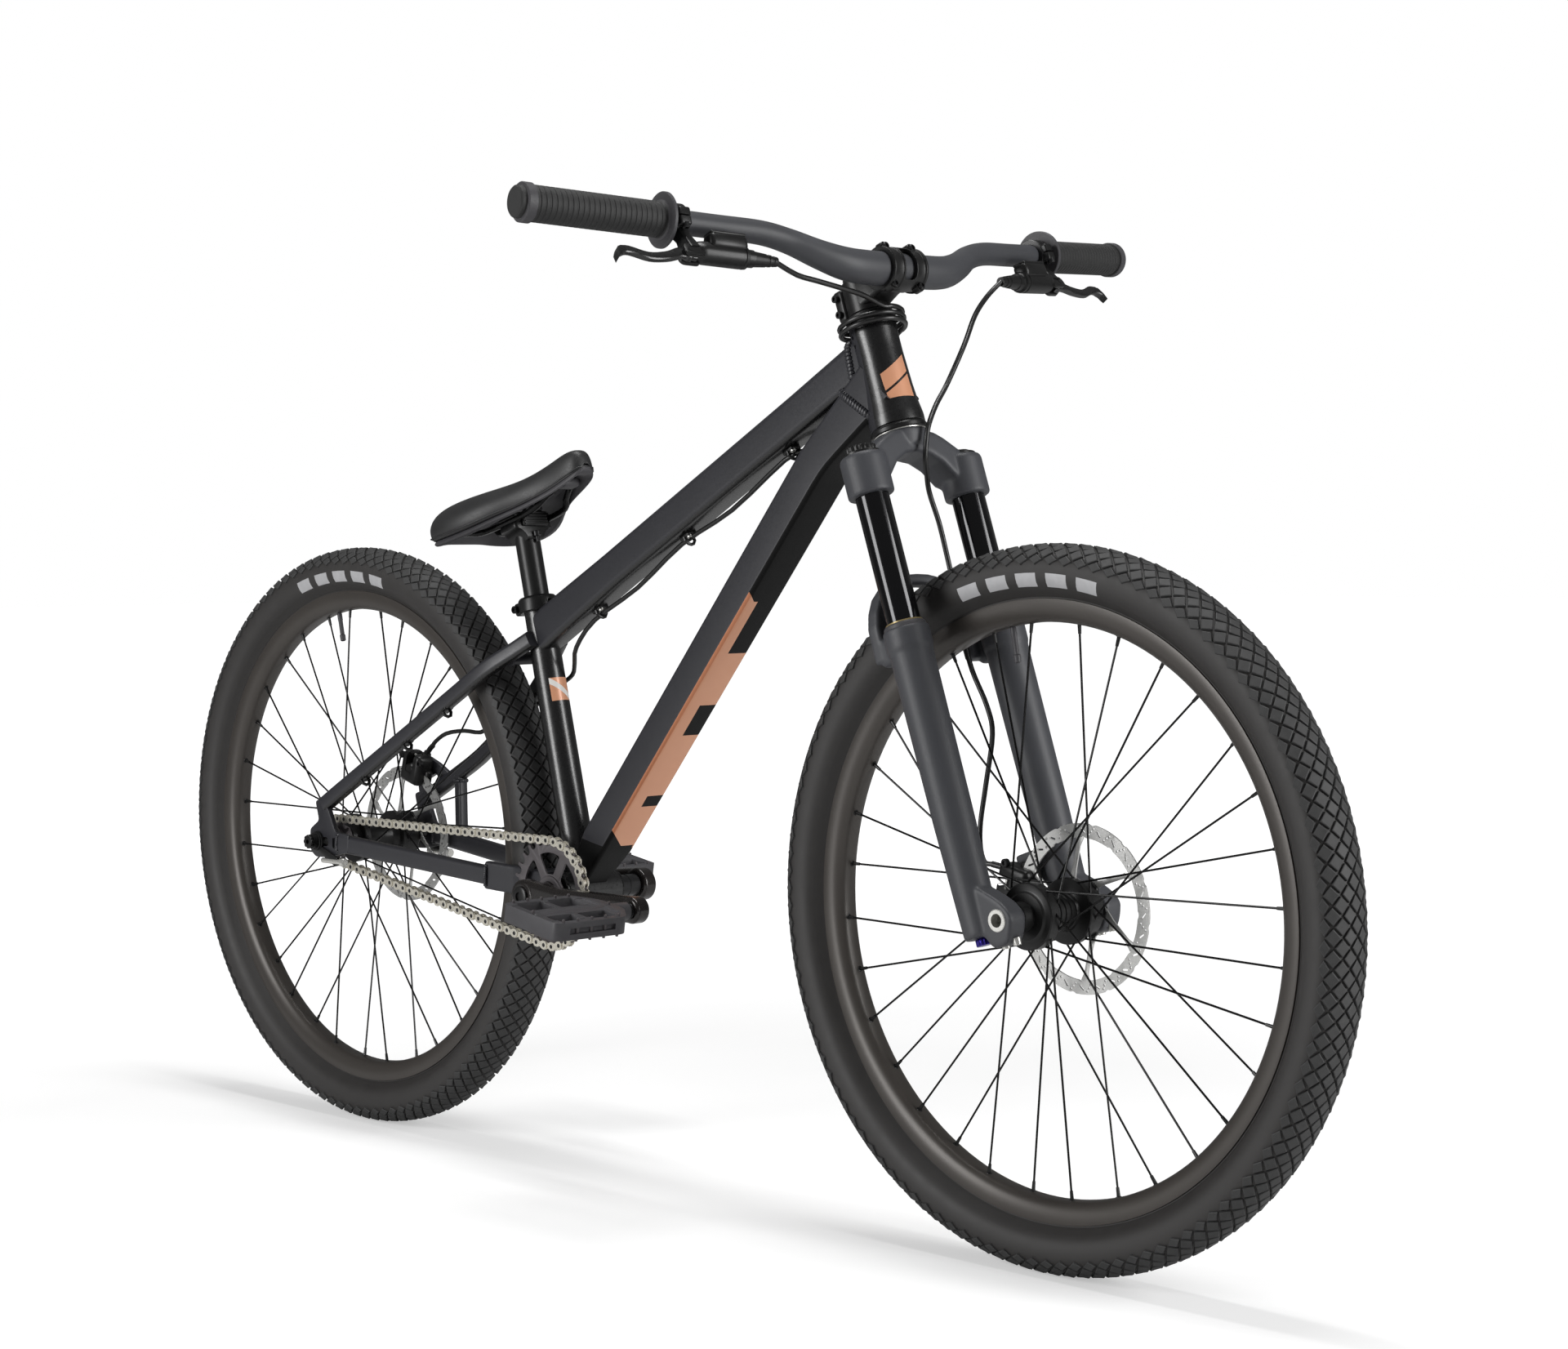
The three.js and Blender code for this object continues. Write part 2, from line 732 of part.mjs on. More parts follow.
function rotorSolid(offset) {
  const waves = Array.from({ length: rotorWaves * 3 }, (_, i) => {
    const turn = (i / (rotorWaves * 3)) * 2 * Math.PI;
    const radius = rotorRadius - (i % 3 === 2 ? rotorWaveDepth : 0);
    return [radius * Math.cos(turn), radius * Math.sin(turn)];
  });
  const inner = rotorRadius - rotorTrack;
  const outer = rotorHubRadius;
  const windows = Array.from({ length: rotorWindows }, (_, i) => {
    const middle = ((i + 0.5) / rotorWindows) * 2 * Math.PI;
    const reach = (radius) => Math.PI / rotorWindows - rotorArmWidth / 2 / radius;
    const corner = (radius, share) => [
      radius * Math.cos(middle + share * reach(radius)),
      radius * Math.sin(middle + share * reach(radius)),
    ];
    return [
      corner(outer, -1), corner(inner, -1), corner(inner, 0), corner(inner, 1),
      corner(outer, 1), corner(outer, 0),
    ];
  });
  const bore = circle(0, 0, rotorHubRadius * rotorBoreShare + 2 * clearance, roundSegments);
  const disc = pierced(plate, waves, offset, rotorThickness, [...windows, bore]);
  const boltCircle = rotorHubRadius * rotorBoltShare;
  const bolts = circle(0, 0, boltCircle, rotorWindows).map(([x, z]) => {
    const from = vector(x, offset, z);
    return rod(from, vector(x, offset + boltHeadShare * rotorThickness, z), rotorBoltRadius, 6);
  });
  return joined(disc, ...bolts);
}

frontWheel.add(
  named("front_rim", rimSolid(), satinBlack),
  named("front_tyre", tyreSolid(), tyreBlack),
  named("front_hub_and_spokes", frontHubSolid(), satinBlack),
  named("front_rotor", rotorSolid(frontRotorOffset), bareSteel),
);
rearWheel.add(
  named("rear_rim", rimSolid(), satinBlack),
  named("rear_tyre", tyreSolid(), tyreBlack),
  named("rear_hub_and_spokes", rearHubSolid(), satinBlack),
  named("rear_rotor", rotorSolid(rearRotorOffset), bareSteel),
);

// Chain path: an open belt round the sprocket and the cog, its pitch solved for whole links
const driveSpan = rearAxleAt.distanceTo(bracketAt);
const driveTurn = Math.atan2(rearAxleAt.z - bracketAt.z, rearAxleAt.x - bracketAt.x);

function beltFor(pitch) {
  const big = (sprocketTeeth * pitch) / (2 * Math.PI);
  const small = (cogTeeth * pitch) / (2 * Math.PI);
  const tangent = Math.acos((big - small) / driveSpan);
  const straight = Math.sqrt(driveSpan ** 2 - (big - small) ** 2);
  const bigArc = big * (2 * Math.PI - 2 * tangent);
  const smallArc = small * 2 * tangent;
  return { big, small, tangent, straight, bigArc, smallArc, length: bigArc + smallArc + 2 * straight };
}

const linkCount = 2 * Math.round(beltFor(chainPitch).length / chainPitch / 2);
let solvedPitch = chainPitch;
for (let i = 0; i < linkCount; i++) solvedPitch = beltFor(solvedPitch).length / linkCount;
const belt = beltFor(solvedPitch);
const bigStart = driveTurn + belt.tangent;
const smallStart = driveTurn - belt.tangent;

function beltAt(distance) {
  const along = ((distance % belt.length) + belt.length) % belt.length;
  const onCircle = (centre, radius, turn) => ({
    x: centre.x + radius * Math.cos(turn),
    z: centre.z + radius * Math.sin(turn),
    turn,
  });
  if (along < belt.bigArc) return onCircle(bracketAt, belt.big, bigStart + along / belt.big);
  const upper = along - belt.bigArc;
  const run = (share, from, to, turn) => ({
    x: from.x + share * (to.x - from.x), z: from.z + share * (to.z - from.z), turn,
  });
  const topBig = onCircle(bracketAt, belt.big, smallStart);
  const topSmall = onCircle(rearAxleAt, belt.small, smallStart);
  if (upper < belt.straight) return run(upper / belt.straight, topBig, topSmall, smallStart);
  const round = upper - belt.straight;
  if (round < belt.smallArc) {
    return onCircle(rearAxleAt, belt.small, smallStart + round / belt.small);
  }
  const lower = round - belt.smallArc;
  const lowBig = onCircle(bracketAt, belt.big, bigStart);
  const lowSmall = onCircle(rearAxleAt, belt.small, bigStart);
  return run(lower / belt.straight, lowSmall, lowBig, bigStart);
}

function chainSolid() {
  const half = plateHeight / 2;
  const band = (inner, outer) => {
    const rings = Array.from({ length: linkCount }, (_, i) => {
      const { x, z, turn } = beltAt((i + 0.5) * solvedPitch);
      const point = (reach, y) => vector(x + reach * Math.cos(turn), y, z + reach * Math.sin(turn));
      return [point(half, inner), point(half, outer), point(-half, outer), point(-half, inner)];
    });
    return loft(rings, true);
  };
  const outerFace = chainInnerHalf + 2 * plateThickness;
  const pieces = [
    band(-chainLine - outerFace, -chainLine - chainInnerHalf),
    band(-chainLine + chainInnerHalf, -chainLine + outerFace),
  ];
  const reach = chainInnerHalf + plateThickness;
  for (let i = 0; i < linkCount; i++) {
    const { x, z } = beltAt(i * solvedPitch);
    pieces.push(rod(
      vector(x, -chainLine - reach, z), vector(x, -chainLine + reach, z), rollerRadius, 5));
  }
  return wasm.Manifold.union(pieces.map(solid));
}

// Teeth stand between roller seats; the first seat lies at the given turn.
function toothedOutline(teeth, radius, firstTurn) {
  const seatRadius = rollerRadius + toothClearance;
  const seatTurns = [-60, 0, 60].map((v) => THREE.MathUtils.degToRad(v));
  const tipReach = radius + toothHeight;
  const tipShare = 0.42;
  const outline = [];
  for (let i = 0; i < teeth; i++) {
    const turn = firstTurn + (i / teeth) * 2 * Math.PI;
    const seat = [radius * Math.cos(turn), radius * Math.sin(turn)];
    for (const bend of seatTurns) {
      const heading = turn + Math.PI - bend;
      outline.push([
        seat[0] + seatRadius * Math.cos(heading), seat[1] + seatRadius * Math.sin(heading)]);
    }
    for (const share of [tipShare, 1 - tipShare]) {
      const tipTurn = turn + (share / teeth) * 2 * Math.PI;
      outline.push([tipReach * Math.cos(tipTurn), tipReach * Math.sin(tipTurn)]);
    }
  }
  return outline;
}

function sprocketSolid() {
  const ringInner = belt.big - rollerRadius - sprocketRingWidth;
  const windows = Array.from({ length: sprocketWindows }, (_, i) => {
    const middle = ((i + 0.5) / sprocketWindows) * 2 * Math.PI;
    const reach = (radius) => Math.PI / sprocketWindows - sprocketSpokeWidth / 2 / radius;
    const corner = (radius, share) => [
      radius * Math.cos(middle + share * reach(radius)),
      radius * Math.sin(middle + share * reach(radius)),
    ];
    return [
      corner(sprocketHubRadius, -1), corner(ringInner, -1), corner(ringInner, 0),
      corner(ringInner, 1), corner(sprocketHubRadius, 1),
    ];
  });
  const bore = circle(0, 0, crankCapRadius + clearance, roundSegments);
  const outline = toothedOutline(sprocketTeeth, belt.big, bigStart);
  return pierced(plate, outline, -chainLine, sprocketThickness, [...windows, bore]);
}

function cogSolid() {
  const outline = toothedOutline(cogTeeth, belt.small, cogFirstTurn());
  const bore = circle(0, 0, rearAxleRadius + clearance, roundSegments);
  const teeth = pierced(plate, outline, -chainLine, sprocketThickness, [bore]);
  const inner = driverInnerFace;
  const outer = rearHubWidth / 2 - axleNutLength;
  const gap = rearAxleRadius + clearance;
  const profile = [[-outer, gap], [-outer, driverRadius], [-inner, driverRadius], [-inner, gap]];
  const driver = acrossTurned([...profile, profile[0]], origin);
  return joined(teeth, driver);
}

// The turn of the first roller that lies on the cog.
function cogFirstTurn() {
  const wrapStart = belt.bigArc + belt.straight;
  const first = Math.ceil(wrapStart / solvedPitch) * solvedPitch;
  return smallStart + (first - wrapStart) / belt.small;
}

frameGroup.add(named("chain", chainSolid(), bareSteel));
const cog = named("rear_cog", cogSolid(), satinBlack);
cog.position.copy(rearAxleAt);
frameGroup.add(cog);

// Cranks and pedals, in a group centred on the bottom bracket; the right arm points forward
function crankArmSolid(side) {
  const eye = -side * crankLength;
  const rootY = side * (crankInnerFace + crankOffsetOut + crankThickness / 2);
  const waist = -side * crankLength * crankWaistShare;
  const sideAt = (x, half) => [[x, half], [x, -half]];
  const [w1, w2] = sideAt(waist, crankWaistHalf);
  const root = circle(0, 0, crankRootHalf, roundSegments);
  const far = circle(eye, 0, crankEyeHalf, roundSegments);
  const link = eye > 0
    ? [[0, crankRootHalf], w1, [eye, crankEyeHalf], [eye, -crankEyeHalf], w2, [0, -crankRootHalf]]
    : [[0, crankRootHalf], [0, -crankRootHalf], w2, [eye, -crankEyeHalf], [eye, crankEyeHalf], w1];
  const body = joined(
    plate(root, rootY, crankThickness),
    plate(far, rootY, crankThickness),
    plate(link, rootY, crankThickness * crankLinkShare),
  );
  const innerReach = side < 0 ? chainLine - sprocketThickness : crankInnerFace;
  const outerFace = crankInnerFace + crankOffsetOut + crankThickness;
  const boss = rod(
    vector(0, side * innerReach, 0), vector(0, rootY, 0), crankCapRadius,
    roundSegments);
  const cap = rod(
    vector(0, side * outerFace, 0), vector(0, side * (outerFace + crankCapHeight), 0),
    crankCapRadius * capShare, smallSegments);
  const axleEnd = outerFace + pedalGap + pedalWidth - pedalRail;
  const axle = rod(
    vector(eye, rootY, 0), vector(eye, side * axleEnd, 0), pedalAxleRadius, smallSegments);
  const bore = rod(
    origin, vector(0, side * (spindleHalf + 2 * clearance), 0), spindleRadius + clearance,
    roundSegments);
  return joined(cut(joined(body, boss), bore), cap, axle);
}

// Shares of half the pedal length and of its width, from the crank side outwards.
const pedalOutlineShares = [
  [-1, 0.18], [-1, 0.93], [-0.9, 1], [0.9, 1], [1, 0.93], [1, 0.18], [0.42, 0], [-0.42, 0],
];
const pedalPinShares = { along: [-0.88, 0.88], out: [0.24, 0.56, 0.88] };
const pedalWindowShares = [[[0.27, 0.2], [0.27, 0.52], [0.82, 0.52], [0.82, 0.22]],
  [[0.27, 0.6], [0.27, 0.91], [0.82, 0.91], [0.82, 0.6]]];

function pedalSolid(side) {
  const inner = crankInnerFace + crankOffsetOut + crankThickness + pedalGap;
  const at = ([length, width]) => [
    (length * pedalLength) / 2, side * (inner + width * pedalWidth)];
  const holes = pedalWindowShares.flatMap((window) => [
    window.map(at), window.map(([along, out]) => at([-along, out]))]);
  const cage = pierced(slab, pedalOutlineShares.map(at), 0, pedalThickness, holes);
  const outerEnd = inner + pedalWidth;
  const barrel = rod(
    vector(0, side * (inner - pedalGap * pedalCollarShare), 0),
    vector(0, side * (outerEnd - pedalRail / 2), 0), pedalBarrelRadius, smallSegments);
  const pins = [];
  for (const along of pedalPinShares.along) {
    for (const out of pedalPinShares.out) {
      const [x, y] = at([along, out]);
      const reach = pedalThickness / 2 + pedalPinHeight;
      pins.push(rod(vector(x, y, -reach), vector(x, y, reach), pedalPinRadius, 4));
    }
  }
  const bore = rod(
    origin, vector(0, side * (outerEnd - pedalRail + clearance), 0),
    aroundShaft(pedalAxleRadius, smallSegments), smallSegments);
  return cut(joined(cage, barrel, ...pins), bore);
}

for (const [word, side] of sides) {
  crankGroup.add(named(`crank_arm_${word}`, crankArmSolid(side), satinBlack));
  const pedal = named(`pedal_${word}`, pedalSolid(side), plasticBlack);
  pedal.position.x = -side * crankLength;
  pedal.rotation.y = pedalTilt;
  crankGroup.add(pedal);
}

function spindleSolid() {
  const collar = spindleRadius + bearingFlange;
  const bearing = bracketHalf + bearingFlange + 2 * clearance;
  const right = chainLine - sprocketThickness - clearance;
  const left = crankInnerFace - clearance;
  const profile = [
    [-spindleHalf, 0], [-spindleHalf, spindleRadius], [-right, spindleRadius], [-right, collar],
    [-bearing, collar], [-bearing, spindleRadius], [bearing, spindleRadius], [bearing, collar],
    [left, collar], [left, spindleRadius], [spindleHalf, spindleRadius], [spindleHalf, 0],
  ];
  return acrossTurned(profile, origin);
}
crankGroup.add(
  named("crank_spindle", spindleSolid(), satinBlack),
  named("sprocket", sprocketSolid(), bareSteel),
);

// Frame. Each tube's maker takes a growth, so a neighbour can be cut back from it by the clearance.
const headTubeTop = headTubeBottom + headTubeLength;

function headTubeShape(grow = 0) {
  const profile = [
    [headTubeBottom, 0], [headTubeBottom, headTubeLowRadius + grow],
    [headTubeTop, headTubeTopRadius + grow], [headTubeTop, 0],
  ];
  return inSteering(turned(profile));
}

function seatTubeShape(grow = 0) {
  return rod(
    bracketAt, seatPoint(seatTubeLength), seatTubeLowRadius + grow, roundSegments,
    seatTubeTopRadius + grow);
}

function bracketShape(grow = 0) {
  const half = bracketHalf + grow;
  return rod(
    bracketAt.clone().setY(-half), bracketAt.clone().setY(half), bracketRadius + grow,
    roundSegments);
}


function downTubeShape(grow = 0) {
  const line = bracketAt.clone().add(vector(0, 0, downTubeRise));
  const bend = steeringPoint(-downTubeBendBack, 0, headTubeBottom + downTubeBendRise);
  const along = bend.clone().sub(line).normalize();
  const root = { width: downTubeWidth * downTubeRootShare, depth: downTubeDepth * downTubeRootShare };
  const full = { width: downTubeWidth, depth: downTubeDepth };
  const front = { width: downTubeWidth, depth: downTubeFrontDepth };
  return facetedTube([
    { at: bracketAt, ...root },
    { at: line.addScaledVector(along, downTubeEntry), ...full },
    { at: bend, ...full },
    { at: steeringPoint(0, 0, downTubeFrontHeight), ...front },
  ], grow);
}


function topTubeShape(grow = 0) {
  const rear = seatPoint(topTubeRearHeight);
  const front = steeringPoint(0, 0, topTubeFrontHeight);
  const full = { width: topTubeWidth, depth: topTubeDepth };
  return facetedTube([
    { at: rear, width: topTubeRearWidth, depth: topTubeRearDepth },
    { at: rear.clone().lerp(front, topTubeTaperShare), ...full },
    { at: front, ...full },
  ], grow);
}

function headTubeSolid() {
  const bore = rod(
    steeringPoint(0, 0, headTubeBottom - cutOverrun), steeringPoint(0, 0, headTubeTop + cutOverrun),
    headTubeBore, roundSegments);
  return cut(headTubeShape(), bore);
}

function seatTubeSolid() {
  const bore = rod(
    seatPoint(seatTubeLength - seatTubeBoreDepth), seatPoint(seatTubeLength + cutOverrun),
    seatTubeBore, roundSegments);
  return cut(seatTubeShape(), bracketShape(clearance), bore);
}

function bracketSolid() {
  const bore = rod(
    bracketAt.clone().setY(-bracketHalf - cutOverrun),
    bracketAt.clone().setY(bracketHalf + cutOverrun), bracketBore, roundSegments);
  return cut(bracketShape(), bore);
}

function bearingSolid(side) {
  const flangeOut = bracketHalf + clearance + bearingFlange;
  const profile = [
    [bracketHalf - bearingDepth, spindleRadius + clearance],
    [bracketHalf - bearingDepth, bracketBore - clearance],
    [bracketHalf + clearance, bracketBore - clearance], [bracketHalf + clearance, bracketRadius],
    [flangeOut, bracketRadius], [flangeOut, spindleRadius + clearance],
    [bracketHalf - bearingDepth, spindleRadius + clearance],
  ];
  return acrossTurned(profile.map(([y, r]) => [side * y, r]), bracketAt);
}

// Stays. The stay line is straight from the side; its spread is given as shares of the dropout's.
const dropoutY = rearHubWidth / 2 + dropoutThickness / 2;
const seatstaySpreadShares = [[0, 0.98], [0.38, 0.79], [0.7, 0.63], [0.84, 0.58], [1, 0.25]];
const chainstaySpreadShares = [[0, 0.98], [0.5, 0.8], [1, 0.62]];
const discStayDropShares = [[0, 0.25], [0.38, 1], [0.7, 0.8], [0.84, 0.35], [1, 0]];

// Reads a table of [share along, value] rows between its rows.
function sharedAt(rows, along) {
  const next = Math.max(1, rows.findIndex(([at]) => at >= along));
  const [[fromAt, from], [toAt, to]] = rows.slice(next - 1, next + 1);
  return THREE.MathUtils.lerp(from, to, (along - fromAt) / (toAt - fromAt));
}

// A point of a seatstay's middle line; the left one hangs lower, over its disc brake.
function seatstayLine(side, along) {
  const foot = rearAxleAt.clone().add(vector(seatstayFootForward, 0, seatstayFootRise));
  const top = seatPoint(topTubeRearHeight - cutOverrun, cutOverrun);
  const at = foot.lerp(top, along).setY(side * sharedAt(seatstaySpreadShares, along) * dropoutY);
  if (side > 0) at.z -= discStayDrop * sharedAt(discStayDropShares, along);
  return at;
}

function seatstayShape(side, grow = 0) {
  const size = { width: seatstayWidth, depth: seatstayHeight };
  const stations = seatstaySpreadShares.map(([along]) => ({ at: seatstayLine(side, along), ...size }));
  return facetedTube(stations, grow);
}

function chainstayShape(side) {
  const foot = rearAxleAt.clone().add(vector(chainstayFootForward, 0, 0));
  const front = yokeRear().add(vector(yokeArm / 4, 0, 0));
  const stations = chainstaySpreadShares.map(([along, spread]) => ({
    at: foot.clone().lerp(front, along).setY(side * spread * dropoutY),
    width: chainstayWidth,
    depth: chainstayHeight,
  }));
  return facetedTube(stations);
}

const yokeRear = () => bracketAt.clone().add(vector(-yokeLength - yokeFront, 0, yokeRise));

function yokeArmShape(side, grow = 0) {
  const rearY = chainstaySpreadShares.at(-1)[1] * dropoutY - (chainstayWidth - yokeArm) / 2;
  const rear = yokeRear().setY(side * rearY);
  const neck = bracketAt.clone().add(vector(-yokeNeck, side * yokeNeckY, yokeRise * 0.75));
  const front = bracketAt.clone().add(vector(-yokeFront, side * (yokeNeckY - clearance), yokeRise / 2));
  const size = { width: yokeArm, depth: yokeHeight };
  return facetedTube([{ at: rear, ...size }, { at: neck, ...size }, { at: front, ...size }], grow);
}

function yokeSolid() {
  const front = bracketAt.clone().add(vector(-yokeFront - yokeBridge / 2, 0, yokeRise / 2));
  const bridge = box(front, yokeBridge, 2 * yokeNeckY, yokeHeight);
  const arms = sides.map(([, side]) => yokeArmShape(side));
  return cut(joined(...arms, bridge), bracketShape(clearance), seatTubeShape(clearance));
}

// Shares of the dropout's reach forward and of its height above the axle.
const dropoutOutlineShares = [
  [-0.2667, -0.24], [-0.1, -0.38], [0.2667, -0.36], [0.9667, -0.2], [1, 0.2],
  [0.5667, 0.24], [0.35, 0.76], [0.1667, 1], [-0.0667, 0.92],
  [0.0333, 0.48], [-0.2667, 0.26],
];

function dropoutPlate(side, thickness) {
  const outline = dropoutOutlineShares.map(([x, z]) => [
    rearAxleAt.x + x * dropoutReach, rearAxleAt.z + z * dropoutHeight]);
  return plate(outline, side * dropoutY, thickness);
}

function dropoutSolid(side) {
  const slotHalf = rearAxleRadius + clearance;
  const body = dropoutPlate(side, dropoutThickness);
  const slotRear = rearAxleAt.clone().add(vector(-dropoutSlot / 2, side * dropoutY, 0));
  const slot = box(
    slotRear.add(vector(slotHalf * 2, 0, 0)), dropoutSlot, 2 * dropoutThickness, 2 * slotHalf);
  return cut(body, slot);
}

function chainstaySolid(side) {
  return cut(joined(chainstayShape(side), dropoutSolid(side)), yokeArmShape(side, clearance));
}

const tugPlateY = () => dropoutY + dropoutThickness / 2 + clearance + tugThickness / 2;

// Hoses: points chosen by hand along the real route
function eased(points, gap) {
  const curve = new THREE.CatmullRomCurve3(points, false, "centripetal");
  const made = [];
  for (let i = 0; i + 1 < points.length; i++) {
    const count = Math.max(1, Math.round(points[i].distanceTo(points[i + 1]) / gap));
    for (let n = 0; n < count; n++) made.push(curve.getPoint((i + n / count) / (points.length - 1)));
  }
  made.push(points.at(-1));
  return made;
}

// From the lever to the loops, and from the loops to the top tube: places beside the crown race.
const rearHoseFromLever = [
  [34.3, -120, 138.6], [33.9, -95, 134.4], [33, -60, 128.9],
  [31.5, -35, 124.7],
];
const rearHoseBehindHead = [
  [-31.5, 30, 90.7], [-61.5, 27, 74.9], [-83.6, 25, 60.4], [-105, 21, 47.8], [-127, 9, 36.5],
];
// Under the top tube: shares of its length from the seat tube, and of its depth below its middle.
const rearHoseUnderTubeShares = [
  [0.7225, 0.6415], [0.5668, 0.7829], [0.4241, 0.6123],
  [0.2815, 0.7715], [0.1451, 0.6980],
];
// Down the left stay to the caliper: places beside the bottom bracket.
const rearHoseAlongStay = [
  [-10.7, 2, 260], [-28.7, 14, 242], [-44.7, 24, 229], [-72.7, 30, 217], [-122.7, 34, 192],
  [-170.7, 35, 177], [-205.7, 38.5, 167], [-232.7, 42, 158], [-270.7, 48, 158], [-310.7, 53, 153],
  [-332.7, 54, 143],
];

function loopPoints() {
  const count = Math.round(loopTurns * loopSteps);
  return Array.from({ length: count + 1 }, (_, i) => {
    const turn = loopStart + (i / loopSteps) * 2 * Math.PI;
    const height = headTubeTop + loopLift - (i / loopSteps) * loopPitch;
    return steeringPoint(loopRadius * Math.cos(turn), loopRadius * Math.sin(turn), height);
  });
}

function leastLoopGap(points) {
  let least = Infinity;
  points.forEach((p, i) => {
    for (let n = i + loopSteps / 2; n < points.length; n++) {
      least = Math.min(least, p.distanceTo(points[n]) - 2 * hoseRadius);
    }
  });
  return least;
}

const toVectors = (list) => list.map(([x, y, z]) => vector(x, y, z));
const rearLoop = loopPoints();
console.log("least gap between the rear hose's loops:", leastLoopGap(rearLoop).toFixed(2));

const besideRace = (list) =>
  list.map(([x, y, z]) => steeringPoint(x, y, crownRaceHeight + z));

function underTopTube([along, drop]) {
  const rear = seatPoint(topTubeRearHeight);
  const front = steeringPoint(0, 0, topTubeFrontHeight);
  const under = front.clone().sub(rear).normalize().cross(acrossAxis).negate();
  return rear.lerp(front, along).addScaledVector(under, drop * topTubeDepth);
}

function rearHosePoints() {
  const start = hoseAtLever(-1).applyMatrix4(steeringFrame);
  const into = eased([start, ...besideRace(rearHoseFromLever), rearLoop[0]], hoseStep).slice(0, -1);
  const away = eased([
    rearLoop.at(-1), ...besideRace(rearHoseBehindHead), ...rearHoseUnderTubeShares.map(underTopTube),
    ...toVectors(rearHoseAlongStay).map((p) => p.add(bracketAt)),
  ], hoseStep).slice(1);
  return [...into, ...rearLoop, ...away];
}

function hoseShape(points, radius, count = hoseSides) {
  return roundTube(points, points.map(() => radius), count);
}


function topTubeSolid() {
  const guided = rearHoseUnderTubeShares.filter((_, row) => row % 2 === 0);
  const guides = guided.map((row) => box(
    underTopTube(row).add(vector(0, 0, guideLift)), guideLength, guideSize, guideHeight));
  const tube = mitred(topTubeShape(), headTubeShape(clearance), downTubeShape(clearance),
    seatTubeShape(clearance));
  const hose = hoseShape(rearHosePoints(), hoseRadius + clearance, loopedHoseSides);
  return cut(joined(tube, ...guides), hose);
}

function downTubeSolid() {
  return mitred(downTubeShape(), headTubeShape(clearance), bracketShape(clearance),
    seatTubeShape(clearance));
}

function seatstaySolid(side) {
  const dropout = dropoutPlate(side, dropoutThickness + 2 * clearance);
  const stay = cut(seatstayShape(side), seatTubeShape(clearance), topTubeShape(clearance), dropout);
  if (side < 0) return stay;
  return cut(joined(stay, braceShape(), discTabShape()), dropout);
}

function seatstayBridgeSolid() {
  const [right, left] = sides.map(([, side]) => seatstayLine(side, seatstayBridgeShare));
  const bridge = rod(right, left, seatstayBridgeRadius, smallSegments);
  return cut(bridge, seatstayShape(-1, clearance), seatstayShape(1, clearance));
}

// Disc brake on the rear: a brace under the left stay, a tab that carries the caliper

// The left stay's middle line at a distance forward of the axle.
function leftStayAt(forward) {
  const [foot, top] = [0, 1].map((share) => seatstayLine(1, share));
  return seatstayLine(1, (rearAxleAt.x + forward - foot.x) / (top.x - foot.x));
}

function braceShape() {
  const top = leftStayAt(braceForward);
  const foot = vector(rearAxleAt.x + braceForward, top.y, tyreRadius + chainstayHeight / 2 - clearance);
  return facetedTube([
    { at: foot, width: braceWidth, depth: braceWidth },
    { at: top.clone().add(vector(0, 0, -braceTopGap)), width: braceWidth, depth: braceWidth },
  ]);
}

const rearCaliperAt = () => caliperCentre(rearAxleAt, rearCaliperAngle, rearRotorOffset);
const caliperMiddle = rotorRadius - caliperOverlap + caliperRadial / 2;

function caliperCentre(axle, angle, offset) {
  return axle.clone().add(vector(
    caliperMiddle * Math.cos(angle), offset, caliperMiddle * Math.sin(angle)));
}

// A caliper block that straddles the rotor's edge, its length square to the spoke direction.
function caliperShape(centre, angle, grow = 0) {
  const radial = caliperRadial / 2 + grow;
  const across = caliperTangential / 2 + grow;
  const shoulder = across - caliperFacet;
  const outline = [
    [-radial, -across], [radial - caliperFacet, -across], [radial, -shoulder],
    [radial, shoulder], [radial - caliperFacet, across], [-radial, across],
  ];
  const turnedOutline = outline.map(([r, t]) => [
    centre.x + r * Math.cos(angle) - t * Math.sin(angle),
    centre.z + r * Math.sin(angle) + t * Math.cos(angle),
  ]);
  return plate(turnedOutline, centre.y, caliperWidth + 2 * grow);
}

function caliperSolid(centre, angle, banjoShare) {
  const slotDepth = caliperOverlap + 2 * clearance + cutOverrun;
  const middle = -caliperRadial / 2 - cutOverrun + slotDepth / 2;
  const slotAt = centre.clone().add(vector(middle * Math.cos(angle), 0, middle * Math.sin(angle)));
  const slot = box(origin, slotDepth, caliperSlot, 2 * caliperTangential)
    .rotateY(-angle)
    .translate(slotAt.x, slotAt.y, slotAt.z);
  const out = caliperRadial / 2 - caliperFacet / 2;
  const tangent = banjoShare * (caliperTangential / 2 - caliperFacet);
  const foot = centre.clone().add(vector(
    out * Math.cos(angle) - tangent * Math.sin(angle), 0,
    out * Math.sin(angle) + tangent * Math.cos(angle)));
  const heading = vector(Math.cos(angle), 0, Math.sin(angle));
  const banjo = rod(foot, foot.clone().addScaledVector(heading, caliperFacet * 1.6), reliefRadius);
  return cut(joined(caliperShape(centre, angle), banjo), slot);
}

